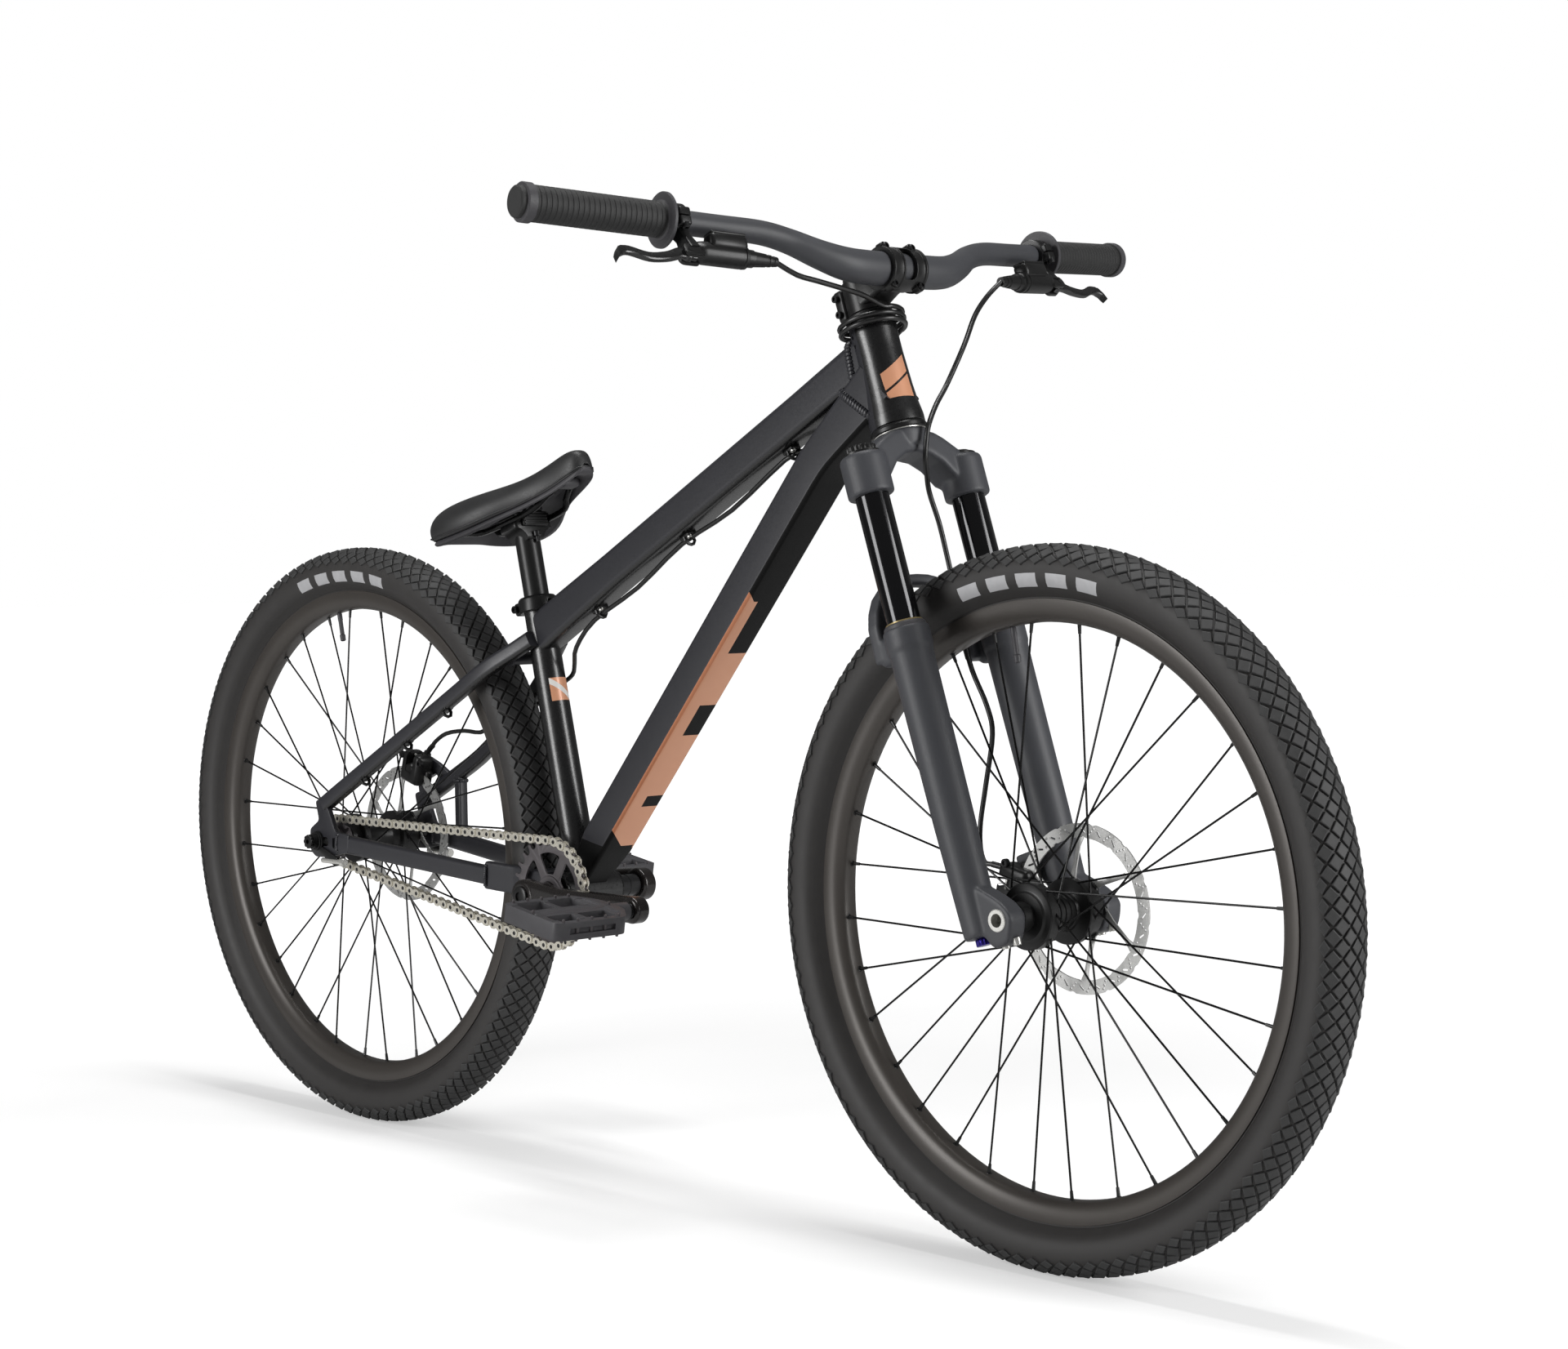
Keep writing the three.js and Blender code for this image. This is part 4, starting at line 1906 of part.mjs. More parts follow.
// The frame body
frameGroup.add(
  named("head_tube", headTubeSolid(), satinCharcoal),
  named("top_tube", topTubeSolid(), satinCharcoal),
  named("down_tube", downTubeSolid(), satinCharcoal),
  named("seat_tube", seatTubeSolid(), glossBlack),
  named("bottom_bracket_shell", bracketSolid(), glossBlack),
  named("chainstay_yoke", yokeSolid(), satinCharcoal),
  named("headset_upper_cup",
    cupSolid(headTubeTop + clearance, headTubeTop + upperCupHeight, cupLipRadius,
      headTubeTop - cupDepth), satinBlack),
  named("headset_lower_cup",
    cupSolid(headTubeBottom - cupLip, headTubeBottom - clearance, lowerCupLipRadius,
      headTubeBottom + cupDepth), satinBlack),
  named("seatstay_bridge", seatstayBridgeSolid(), satinCharcoal),
  named("seat_clamp", seatClampSolid(), satinBlack),
  named("rear_axle", rearAxleSolid(), satinBlack),
  named("rear_caliper", cut(
    caliperSolid(rearCaliperAt(), rearCaliperAngle, -0.6), seatstayShape(1, clearance)), satinBlack),
  named("rear_hose", hoseShape(rearHosePoints(), hoseRadius, loopedHoseSides), satinBlack),
);
for (const [word, side] of sides) {
  frameGroup.add(
    named(`chainstay_${word}`, chainstaySolid(side), satinCharcoal),
    named(`seatstay_${word}`, seatstaySolid(side), satinCharcoal),
    named(`bottom_bracket_bearing_${word}`, bearingSolid(side), satinBlack),
    named(`chain_tensioner_${word}`, tugSolid(side), satinBlack),
  );
}

// The seat body slides in the seat tube
seatGroup.add(
  named("seatpost", postSolid(), satinBlack),
  named("seatpost_clamp", railClampSolid(), satinBlack),
  named("saddle_rails", railSolid(), satinBlack),
  named("saddle_base", baseSolid(), plasticBlack),
  named("saddle_cushion", cushionSolid(), rubberBlack),
);

// The steering body, and the lowers that slide on it
steeringGroup.add(
  named("fork_crown", crownSolid(), forkGrey),
  named("stem", stemSolid(), satinBlack),
  named("stem_faceplate", faceplateSolid(), satinBlack),
  named("stem_top_cap", topCapSolid(), satinBlack),
  named("handlebar", handlebarSolid(), forkGrey),
);
for (const [word, side] of sides) {
  steeringGroup.add(
    named(`stanchion_${word}`, stanchionSolid(side), glossBlack),
    named(`grip_${word}`, gripSolid(side), rubberBlack),
    named(`brake_lever_body_${word}`, leverBodySolid(side), satinBlack),
    named(`brake_lever_blade_${word}`, bladeSolid(side), satinBlack),
  );
}
lowersGroup.add(
  named("fork_lowers", lowersSolid(), forkGrey),
  named("front_axle", frontAxleSolid(), bareSteel),
  named("front_caliper", cut(
    caliperSolid(frontCaliperAt(), frontCaliperAngle, -0.3), legShape(1, clearance)), satinBlack),
  named("front_hose", hoseShape(frontHosePoints(), hoseRadius), satinBlack),
  named("rebound_knob", knobSolid(), blueAnodised),
);

export default bike;
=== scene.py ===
import math

import bmesh
import bpy
from mathutils import Matrix, Vector


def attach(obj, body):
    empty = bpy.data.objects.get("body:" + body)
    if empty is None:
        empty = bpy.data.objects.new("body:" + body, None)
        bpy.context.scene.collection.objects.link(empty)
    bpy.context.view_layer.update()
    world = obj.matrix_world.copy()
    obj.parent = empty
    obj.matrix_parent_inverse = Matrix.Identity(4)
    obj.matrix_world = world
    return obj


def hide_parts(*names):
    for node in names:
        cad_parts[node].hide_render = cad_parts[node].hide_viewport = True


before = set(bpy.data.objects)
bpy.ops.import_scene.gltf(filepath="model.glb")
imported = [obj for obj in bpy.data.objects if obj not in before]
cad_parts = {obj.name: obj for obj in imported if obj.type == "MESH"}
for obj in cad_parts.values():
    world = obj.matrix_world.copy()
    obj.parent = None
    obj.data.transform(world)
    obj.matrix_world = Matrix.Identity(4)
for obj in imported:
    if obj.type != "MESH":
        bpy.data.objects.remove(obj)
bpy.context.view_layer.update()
mm = 0.001

# Where the bike's main lines lie, in mm and degrees; the origin is on the ground between the wheels
layout = {
    "rearAxle": (-530, 0, 335), "frontAxle": (530, 0, 335), "bracket": (-139.31, 0, 303),
    "headAngle": 70.5, "seatAngle": 76.7, "forkOffset": 38, "downTubeAngle": 49.4,
    "tyreRadius": 335,
}


# Frames of reference: a matrix whose Z runs along a tube and whose X looks forwards or up
def frameAlong(origin, along, front):
    up = Vector(along).normalized()
    side = up.cross(Vector(front)).normalized()
    ahead = side.cross(up)
    matrix = Matrix((ahead, side, up)).transposed().to_4x4()
    matrix.translation = Vector(origin) * mm
    return matrix


headTurn, seatTurn, downTurn = (
    math.radians(layout[key]) for key in ("headAngle", "seatAngle", "downTubeAngle"))
steerAhead = Vector((math.sin(headTurn), 0, math.cos(headTurn)))
steerUp = Vector((-math.cos(headTurn), 0, math.sin(headTurn)))
steerFoot = Vector(layout["frontAxle"]) - steerAhead * layout["forkOffset"]
steerFrame = frameAlong(steerFoot, steerUp, steerAhead)
seatUp = Vector((-math.cos(seatTurn), 0, math.sin(seatTurn)))
seatFrame = frameAlong(layout["bracket"], seatUp, (1, 0, 0))
downAlong = Vector((math.cos(downTurn), 0, math.sin(downTurn)))
downFrame = frameAlong(Vector(layout["bracket"]) + Vector((0, 0, 10)), downAlong, (-1, 0, 1))


def acrossFrame(origin):  # Z runs to the rider's left, X forwards, Y down
    return frameAlong(origin, (0, 1, 0), (1, 0, 0))


def shifted(x, y=0, z=0):
    return Matrix.Translation((x * mm, y * mm, z * mm))


def quarterTurn(axis, way=1):
    return Matrix.Rotation(way * math.pi / 2, 4, axis)


def facing(side):  # what is made for the left side turns over for the right one
    return Matrix.Rotation(0 if side > 0 else math.pi, 4, "X")


def polar(radius, turn):
    return radius * math.cos(turn), radius * math.sin(turn)


# Picking up and putting down pieces
def putAllDown():
    if bpy.context.object and bpy.context.object.mode != "OBJECT":
        closeUp()
    bpy.ops.object.select_all(action="DESELECT")


def takeUp(piece):
    putAllDown()
    piece.select_set(True)
    bpy.context.view_layer.objects.active = piece
    return piece


def openUp(kind="VERT"):
    bpy.ops.object.mode_set(mode="EDIT")
    bpy.ops.mesh.select_mode(type=kind)
    bpy.ops.mesh.select_all(action="SELECT")


def closeUp():
    bpy.ops.object.mode_set(mode="OBJECT")


def newPiece(name):
    piece = bpy.context.object
    piece.name = name
    piece.data.name = name
    return piece


def settled(piece, matrix=None):  # the place goes into the mesh
    takeUp(piece)
    if matrix is not None:
        piece.matrix_world = matrix @ piece.matrix_world
    bpy.ops.object.transform_apply(location=True, rotation=True, scale=True)
    return piece


def tidied(piece):
    takeUp(piece)
    openUp()
    bpy.ops.mesh.remove_doubles(threshold=0.002 * mm)
    bpy.ops.mesh.normals_make_consistent(inside=False)
    closeUp()
    return piece


def copied(piece, matrix, name=None):
    twin = piece.copy()
    twin.data = piece.data.copy()
    twin.name = name or piece.name + "Copy"
    bpy.context.scene.collection.objects.link(twin)
    twin.data.transform(matrix)
    if matrix.determinant() < 0:
        twin.data.flip_normals()
    return twin


def discarded(piece):
    bpy.data.objects.remove(piece)


def joinedAs(name, pieces):
    takeUp(pieces[0])
    for piece in pieces[1:]:
        piece.select_set(True)
    if len(pieces) > 1:
        bpy.ops.object.join()
    return newPiece(name)


def modified(piece, kind, **settings):
    takeUp(piece)
    modifier = piece.modifiers.new(kind.lower(), kind)
    for key, value in settings.items():
        setattr(modifier, key, value)
    bpy.ops.object.modifier_apply(modifier=modifier.name)
    return piece


def softened(piece, width, segments=2, angle=35):
    return modified(piece, "BEVEL", width=width * mm, segments=segments, limit_method="ANGLE",
                    angle_limit=math.radians(angle), use_clamp_overlap=True)


def cutBy(piece, cutters):
    for cutter in cutters:
        modified(piece, "BOOLEAN", operation="DIFFERENCE", object=cutter, solver="EXACT")
        discarded(cutter)
    return piece


def meltedAs(name, pieces, voxel, smoothing=6):  # cast or forged shapes whose parts run together
    piece = joinedAs(name, pieces)
    modified(piece, "REMESH", mode="VOXEL", voxel_size=voxel * mm)
    return modified(piece, "SMOOTH", factor=0.5, iterations=smoothing)


# Making shapes; all sizes are in mm
def pointChain(name, points):
    putAllDown()
    bpy.ops.mesh.primitive_plane_add(size=mm)
    piece = newPiece(name)
    openUp()
    bpy.ops.mesh.merge(type="CENTER")
    bpy.ops.transform.translate(value=Vector(points[0]) * mm)
    for before, after in zip(points, points[1:]):
        step = (Vector(after) - Vector(before)) * mm
        bpy.ops.mesh.extrude_vertices_move(TRANSFORM_OT_translate={"value": step})
    bpy.ops.mesh.select_all(action="SELECT")
    return piece


def turnedPiece(name, profile, steps=64, matrix=None):  # profile: (along, radius) round Z
    piece = pointChain(name, [(radius, 0, along) for along, radius in profile])
    bpy.ops.mesh.spin(steps=steps, angle=2 * math.pi, center=(0, 0, 0), axis=(0, 0, 1))
    closeUp()
    tidied(piece)
    return settled(piece, matrix) if matrix else piece


def ringPiece(name, profile, steps=64, matrix=None):  # turned from a closed section
    return turnedPiece(name, profile + profile[:1], steps, matrix)


def platePiece(name, outline, thickness, matrix=None, bevel=0):  # outline: (x, y), thickness up Z
    piece = pointChain(name, [(x, y, -thickness / 2) for x, y in outline])
    bpy.ops.mesh.edge_face_add()
    bpy.ops.mesh.extrude_region_move(TRANSFORM_OT_translate={"value": (0, 0, thickness * mm)})
    closeUp()
    tidied(piece)
    if bevel:
        softened(piece, bevel, 2)
    return settled(piece, matrix) if matrix else piece


def tubePiece(name, points, radii, sides=8, matrix=None, cyclic=False):
    line = bpy.data.curves.new(name, "CURVE")
    line.dimensions = "3D"
    spline = line.splines.new("POLY")
    spline.points.add(len(points) - 1)
    spline.use_cyclic_u = cyclic
    largest = max(radii) if hasattr(radii, "__len__") else radii
    for i, point in enumerate(points):
        spline.points[i].co = (*(Vector(point) * mm), 1)
        spline.points[i].radius = radii[i] / largest if hasattr(radii, "__len__") else 1
    line.bevel_depth = largest * mm
    line.bevel_resolution = sides // 2 - 2
    line.use_fill_caps = not cyclic
    piece = bpy.data.objects.new(name, line)
    bpy.context.scene.collection.objects.link(piece)
    takeUp(piece)
    bpy.ops.object.convert(target="MESH")
    tidied(newPiece(name))
    return settled(piece, matrix) if matrix else piece


def rodPiece(name, start, end, radius, endRadius=None, sides=24, matrix=None):
    start, end = Vector(start), Vector(end)
    putAllDown()
    bpy.ops.mesh.primitive_cone_add(
        vertices=sides, radius1=radius * mm, radius2=(endRadius or radius) * mm,
        depth=(end - start).length * mm)
    piece = newPiece(name)
    piece.matrix_world = (Matrix.Translation((start + end) / 2 * mm)
                          @ (end - start).to_track_quat("Z", "Y").to_matrix().to_4x4())
    return settled(piece, matrix)


def blockPiece(name, centre, size, bevel=0, matrix=None, segments=3):
    putAllDown()
    bpy.ops.mesh.primitive_cube_add(size=1, location=Vector(centre) * mm)
    piece = newPiece(name)
    piece.scale = Vector(size) * mm
    settled(piece)
    if bevel:
        softened(piece, bevel, segments)
    return settled(piece, matrix) if matrix else piece


def drawnTube(name, stations, edge, matrix, segments=5):  # along, depth, width, shift, drift
    first = (*stations[0], 0, 0)[:5]
    putAllDown()
    bpy.ops.mesh.primitive_plane_add(size=1)
    piece = newPiece(name)
    openUp()
    bpy.ops.transform.resize(value=(first[1] * mm, first[2] * mm, 1))
    bpy.ops.transform.translate(value=(first[3] * mm, first[4] * mm, first[0] * mm))
    for station in stations[1:]:
        along, depth, width, shift, drift = (*station, 0, 0)[:5]
        step = Vector((shift - first[3], drift - first[4], along - first[0])) * mm
        bpy.ops.mesh.extrude_region_move(TRANSFORM_OT_translate={"value": step})
        bpy.ops.transform.resize(value=(depth / first[1], width / first[2], 1),
                                 center_override=(shift * mm, drift * mm, along * mm))
        first = (along, depth, width, shift, drift)
    closeUp()
    tidied(piece)
    openUp("EDGE")
    bpy.ops.mesh.select_all(action="DESELECT")
    closeUp()
    for bar in piece.data.edges:
        a, b = (piece.data.vertices[i].co for i in bar.vertices)
        bar.select = abs(a.z - b.z) > (a.xy - b.xy).length
    bpy.ops.object.mode_set(mode="EDIT")
    bpy.ops.mesh.bevel(offset=edge * mm, segments=segments, affect="EDGES")
    closeUp()
    tidied(piece)
    return settled(piece, matrix)


def smoothLine(points, steps):  # a curve through the points, with this many parts between two
    points = [Vector(point) for point in points]
    line = []
    for i in range(len(points) - 1):
        before, after = points[max(0, i - 1)], points[min(len(points) - 1, i + 2)]
        a, b = points[i], points[i + 1]
        for n in range(steps):
            t = n / steps
            line.append(0.5 * (2 * a + (b - before) * t
                               + (2 * before - 5 * a + 4 * b - after) * t * t
                               + (3 * a - before - 3 * b + after) * t ** 3))
    return line + [points[-1]]


def roundedLoop(points, radius, steps=4):  # an outline whose corners are rounded
    rounded = []
    for i, corner in enumerate(points):
        corner = Vector(corner).to_2d()
        before = Vector(points[i - 1]).to_2d() - corner
        after = Vector(points[(i + 1) % len(points)]).to_2d() - corner
        reach = min(radius, before.length * 0.45, after.length * 0.45)
        start, end = corner + before.normalized() * reach, corner + after.normalized() * reach
        for n in range(steps + 1):
            share = n / steps
            inner = start.lerp(corner, share).lerp(corner.lerp(end, share), share)
            rounded.append((inner.x, inner.y))
    return rounded


# Handing a piece to its body
def dressed(piece, body, finish="", node="", angle=30):
    if finish:
        painted(piece, finish)
    takeUp(piece)
    bpy.ops.object.shade_smooth_by_angle(angle=math.radians(angle))
    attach(piece, body)
    if node:
        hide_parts(node)
    return piece


def repaintWhere(piece, test, slotNumber):
    for face in piece.data.polygons:
        if test(face.center / mm, face.normal):
            face.material_index = slotNumber
    return piece


def painted(piece, finish):
    piece.data.materials.clear()
    piece.data.materials.append(made[finish])
    return piece


print("helpers ready")


# Colours and surface patterns; a pattern's size is given in mm
def tone(hexText):
    shares = [int(hexText[i:i + 2], 16) / 255 for i in (0, 2, 4)]
    return (*(s / 12.92 if s <= 0.04045 else ((s + 0.055) / 1.055) ** 2.4 for s in shares), 1)


def addNode(tree, kind, values=None, links=None, **settings):
    node = tree.nodes.new(kind)
    for key, value in settings.items():
        setattr(node, key, value)
    for key, value in (values or {}).items():
        node.inputs[key].default_value = value
    for key, socket in (links or {}).items():
        tree.links.new(socket, node.inputs[key])
    return node


def newMaterial(name):
    material = bpy.data.materials.new(name)
    material.use_nodes = True
    return material, material.node_tree, material.node_tree.nodes["Principled BSDF"]


# Each finish: two tones, the width of their patches, the grain's size, its height, the gloss from
# and to. Pebbled grain is leathery, and gloss follows the patches where patchGloss says so
def finished(name, colour, lighter, patch, grain, depth, low, high, more):
    material, tree, shader = newMaterial(name)
    place = {"Vector": addNode(tree, "ShaderNodeTexCoord").outputs["Object"]}
    patches = addNode(tree, "ShaderNodeTexNoise", {
        "Scale": 1 / (patch * mm), "Detail": more.get("patchDetail", 3)}, place).outputs["Fac"]
    blend = addNode(tree, "ShaderNodeMix", {6: tone(colour), 7: tone(lighter)}, {0: patches},
                    data_type="RGBA")
    if "pebbled" in more:
        texture = addNode(tree, "ShaderNodeTexVoronoi", {"Scale": 1 / (grain * mm)}, place)
    else:
        texture = addNode(tree, "ShaderNodeTexNoise", {
            "Scale": 1 / (grain * mm), "Detail": more.get("grainDetail", 4)}, place)
    height = texture.outputs["Distance" if "pebbled" in more else "Fac"]
    bump = addNode(tree, "ShaderNodeBump", {"Strength": more.get("bump", 0.5),
                                            "Distance": depth * mm}, {"Height": height},
                   invert=more.get("pebbled") == "raised")
    for socket, key, plain in (("Metallic", "metallic", 0), ("Coat Weight", "coat", 0),
                               ("Coat Roughness", "coatRoughness", 0.05),
                               ("Specular IOR Level", "specular", 0.5)):
        shader.inputs[socket].default_value = more.get(key, plain)
    shader.inputs["Roughness"].default_value = low
    if high > low:
        start, stop = more.get("glossSpan", (0.3, 0.7))
        gloss = addNode(tree, "ShaderNodeMapRange", {
            "From Min": start, "From Max": stop, "To Min": low, "To Max": high},
            {"Value": patches if "patchGloss" in more else height})
        tree.links.new(gloss.outputs["Result"], shader.inputs["Roughness"])
    tree.links.new(blend.outputs[2], shader.inputs["Base Color"])
    tree.links.new(bump.outputs["Normal"], shader.inputs["Normal"])
    return material


whole = (0, 1)
finishes = {
    # Powder coat over steel: slight orange peel, satin, bluish charcoal
    "satinPowderCoat": ("232327", "2A2A2F", 60, 1.6, 0.03, 0.33, 0.43, {}),
    # Wet paint under clear lacquer: deep black with a sharp reflection
    "glossLacquer": ("060606", "0B0B0C", 50, 2.5, 0.012, 0.26, 0.34,
                     {"coat": 0.15, "specular": 0.7}),
    # Black under the down tube and at its foot: real black paint, painted darker and duller than the
    # lacquer as painted shade, so it reflects almost nothing
    "blackPaintAndPaintedShade": ("040404", "070707", 40, 1, 0.008, 0.45, 0.55, {"specular": 0.15}),
    # Painted magnesium casting: matte charcoal with a fine tooth
    "castForkPaint": ("36373B", "3F4044", 45, 0.8, 0.03, 0.43, 0.57, {}),
    # Bead-blasted, anodised aluminium: near black, satin
    "blackAnodised": ("161616", "202020", 30, 0.5, 0.012, 0.27, 0.41, {"metallic": 0.35}),
    # Painted bar: plain matte grey
    "matteBarPaint": ("36373A", "3E3F43", 40, 0.7, 0.02, 0.44, 0.56, {}),
    # Polished and hard-anodised fork legs: black mirror
    "stanchionAnodised": ("101012", "17171A", 60, 1, 0.003, 0.1, 0.16,
                          {"metallic": 0.7, "coat": 0.6}),
    # Anodised rim: brownish black, satin
    "rimAnodised": ("3E3A37", "484440", 55, 0.6, 0.012, 0.3, 0.42, {"metallic": 0.3}),
    # Black-oxide stainless wire: dark with a thin bright line
    "spokeWire": ("1A1A1A", "242424", 12, 0.6, 0.01, 0.17, 0.33, {"metallic": 0.8}),
    # Forged and polished crank, black anodised: brown-black with broad highlights
    "forgedCrank": ("1A1715", "252120", 35, 1.2, 0.015, 0.19, 0.31,
                    {"metallic": 0.4, "coat": 0.4}),
    # Black-oxide steel: screws and the crank axle, dark with a soft shine
    "blackOxide": ("1D1D1E", "2A2A2B", 14, 0.5, 0.01, 0.25, 0.39, {"metallic": 0.5}),
    # Zinc-plated steel screw heads: bright, slightly cloudy
    "platedSteel": ("CFCEC9", "E4E3DE", 6, 0.5, 0.01, 0.22, 0.38, {"metallic": 0.75}),
    # Nickel-plated chain: warm silver
    "nickelChain": ("CDC8BA", "E6E2D6", 7, 0.8, 0.02, 0.22, 0.42, {"metallic": 0.7}),
    # Grey phosphate-coated steel teeth
    "phosphateSteel": ("4E4A4C", "5A5658", 18, 0.6, 0.02, 0.42, 0.58, {"metallic": 0.3}),
    # Glass-filled nylon, moulded: dark grey with a visible speckle in its gloss
    "mouldedNylon": ("363538", "424144", 15, 0.9, 0.05, 0.44, 0.6, {}),
    # Extruded hose jacket: smooth black plastic
    "hoseJacket": ("121212", "1C1C1C", 25, 0.7, 0.01, 0.28, 0.38, {}),
    # Dyed anodised aluminium: deep violet blue
    "blueAnodised": ("2A2170", "3A2F93", 6, 0.4, 0.01, 0.19, 0.31, {"metallic": 0.9}),
    # Copper-toned decal under lacquer: pinkish metallic film
    "copperFilm": ("D0926F", "D99E7C", 45, 0.5, 0.006, 0.35, 0.45,
                   {"metallic": 0.15, "coat": 0.3}),
    # The film's folded edge: the same copper in shade
    "copperEdge": ("B5724F", "C07E5B", 30, 0.5, 0.006, 0.3, 0.4, {"metallic": 0.3}),
    # Silver print on the tyre wall
    "silverPrint": ("A6A6A8", "BDBDBF", 9, 0.8, 0.02, 0.44, 0.56, {"metallic": 0.2}),
    # White print on the seat tube badge
    "paleFilm": ("DAD8D4", "E6E4E0", 9, 0.8, 0.01, 0.35, 0.45, {}),
    # Soft bushing seal and wiper: gold-tinted film of oil on rubber
    "wiperSeal": ("8A7A52", "A39265", 5, 0.5, 0.01, 0.27, 0.43, {"metallic": 0.5}),
    # Moulded tyre rubber: brownish black, dull, dusty in patches
    "tyreRubber": ("242221", "302E2D", 14, 0.9, 0.06, 0.5, 0.68,
                   {"patchDetail": 5, "grainDetail": 3, "glossSpan": whole, "patchGloss": True}),
    # The same rubber, paler on the tread blocks than on the carcass between them
    "treadRubber": ("262626", "3A3A3A", 6, 6, 0.15, 0.62, 0.62,
                    {"patchDetail": 6, "grainDetail": 6, "bump": 0.6}),
    # Stainless rotor: ground, lighter where the pads have run
    "brushedStainless": ("B4B4B2", "D8D8D6", 1.5, 1.5, 0.02, 0.26, 0.44,
                         {"patchDetail": 4, "bump": 0.4, "metallic": 0.75, "glossSpan": whole}),
    # Pressed vinyl: fine leathery pebbles, low sheen
    "saddleVinyl": ("1B1B1B", "252526", 30, 1.6, 0.08, 0.4, 0.55,
                    {"pebbled": "raised", "bump": 0.35, "glossSpan": whole}),
    # Soft moulded rubber of the grips: matte with a fine tooth
    "gripRubber": ("191919", "242424", 18, 1.2, 0.1, 0.62, 0.62,
                   {"pebbled": "sunk", "bump": 0.4}),
}
made = {name: finished(name, *look) for name, look in finishes.items()}
print("finishes ready:", len(made))


# Wheels; each is modelled about the origin with its axle on Z, then copied to both places
wheelPlaces = {
    "front": acrossFrame(layout["frontAxle"]), "rear": acrossFrame(layout["rearAxle"]),
}


def mirroredHalf(half):
    return [(-x, y) for x, y in half]


def turnedCopies(piece, count, name, first=0.0):
    ring = [copied(piece, Matrix.Rotation(first + 2 * math.pi * i / count, 4, "Z"))
            for i in range(count)]
    discarded(piece)
    return joinedAs(name, ring)


tyreLook = {
    "wall": [(12.3, 280), (13.2, 284), (13.6, 287.5), (15.2, 289.3), (20, 293), (24, 296.6),
             (26.4, 300.5), (27.7, 304.5), (28.3, 309), (28.4, 314), (27.6, 318.5),
             (26.2, 321.5), (22.5, 326), (16, 330), (8, 332.3), (0, 333)],
    "lining": [(0, 329), (12, 327.5), (21, 321), (24.5, 310), (22, 300), (14, 292), (9.5, 285),
               (9.5, 280.5)],
    "steps": 160, "pitch": 116, "rowGap": 8, "blockHeight": 2.2, "grooveShare": 0.86,
    "rows": [(0, 333, 0), (8, 332.3, 12), (15.8, 330.1, 26), (22.2, 326, 44), (26.4, 320.6, 66)],
    "edgeBlockShare": 0.72, "printBand": (296.6, 308.9), "printSteps": (112, 126),
    "printOut": 23,
}


def tyreCarcass():
    wall, lining = tyreLook["wall"], tyreLook["lining"]
    profile = mirroredHalf(wall) + wall[-2::-1] + lining[::-1] + mirroredHalf(lining[1:])
    carcass = painted(ringPiece("carcass", profile, tyreLook["steps"]), "tyreRubber")
    low, high = tyreLook["printBand"]
    first, last = tyreLook["printSteps"]

    def printed(spot, normal):  # plain silver bars, two steps on and one off
        step = math.degrees(math.atan2(spot.y, spot.x)) % 360 * tyreLook["steps"] / 360
        return (low < math.hypot(spot.x, spot.y) < high and first < step < last
                and (math.floor(step) - first) % 3 < 2 and normal.z * spot.z > 0
                and abs(spot.z) > tyreLook["printOut"])

    carcass.data.materials.append(made["silverPrint"])
    return repaintWhere(carcass, printed, 1)


def treadBlock(share):  # a diamond with a bevelled shoulder
    height = tyreLook["blockHeight"]
    alongHalf = math.pi * layout["tyreRadius"] / tyreLook["pitch"] * tyreLook["grooveShare"]
    acrossHalf = tyreLook["rowGap"] * tyreLook["grooveShare"] * share
    putAllDown()
    bpy.ops.mesh.primitive_circle_add(vertices=4, radius=mm, fill_type="NGON",
                                      location=(0, 0, -0.6 * mm))
    block = newPiece("treadBlock")
    openUp()
    bpy.ops.transform.resize(value=(alongHalf, acrossHalf, 1))
    bpy.ops.mesh.extrude_region_move(TRANSFORM_OT_translate={
        "value": (0, 0, (height + 0.2) * mm)})
    bpy.ops.transform.resize(value=(0.95, 0.95, 1))
    bpy.ops.mesh.extrude_region_move(TRANSFORM_OT_translate={"value": (0, 0, 0.4 * mm)})
    bpy.ops.transform.resize(value=(0.86, 0.86, 1))
    closeUp()
    return settled(tidied(block))


def treadRow(half, radius, tilt, odd, share):
    lean = math.radians(tilt)
    outward = Vector((math.cos(lean), 0, math.sin(lean)))
    across = Vector((-math.sin(lean), 0, math.cos(lean)))
    seat = Matrix(((0, 1, 0), across, outward)).transposed().to_4x4()
    seat.translation = Vector((radius, 0, half)) * mm
    start = Matrix.Rotation(math.pi / tyreLook["pitch"] * odd, 4, "Z")
    block = settled(treadBlock(share), start @ seat)
    steps = tyreLook["pitch"] - 1
    openUp()
    bpy.ops.mesh.spin(steps=steps, angle=2 * math.pi * steps / tyreLook["pitch"], dupli=True,
                      center=(0, 0, 0), axis=(0, 0, 1))
    closeUp()
    return painted(newPiece("treadRow"), "treadRubber")


def tyrePieces():
    parts = [tyreCarcass()]
    for count, (half, radius, tilt) in enumerate(tyreLook["rows"]):
        share = tyreLook["edgeBlockShare"] if count == len(tyreLook["rows"]) - 1 else 1
        for side in ((1, -1) if half else (1,)):
            parts.append(treadRow(half * side, radius, tilt * side, count % 2, share))
    return parts


tyre = joinedAs("tyre", tyrePieces())
for end, place in wheelPlaces.items():
    dressed(copied(tyre, place, end + "Tyre"), end + "_wheel", "",
            end + "_tyre")
discarded(tyre)
print("tyres ready")

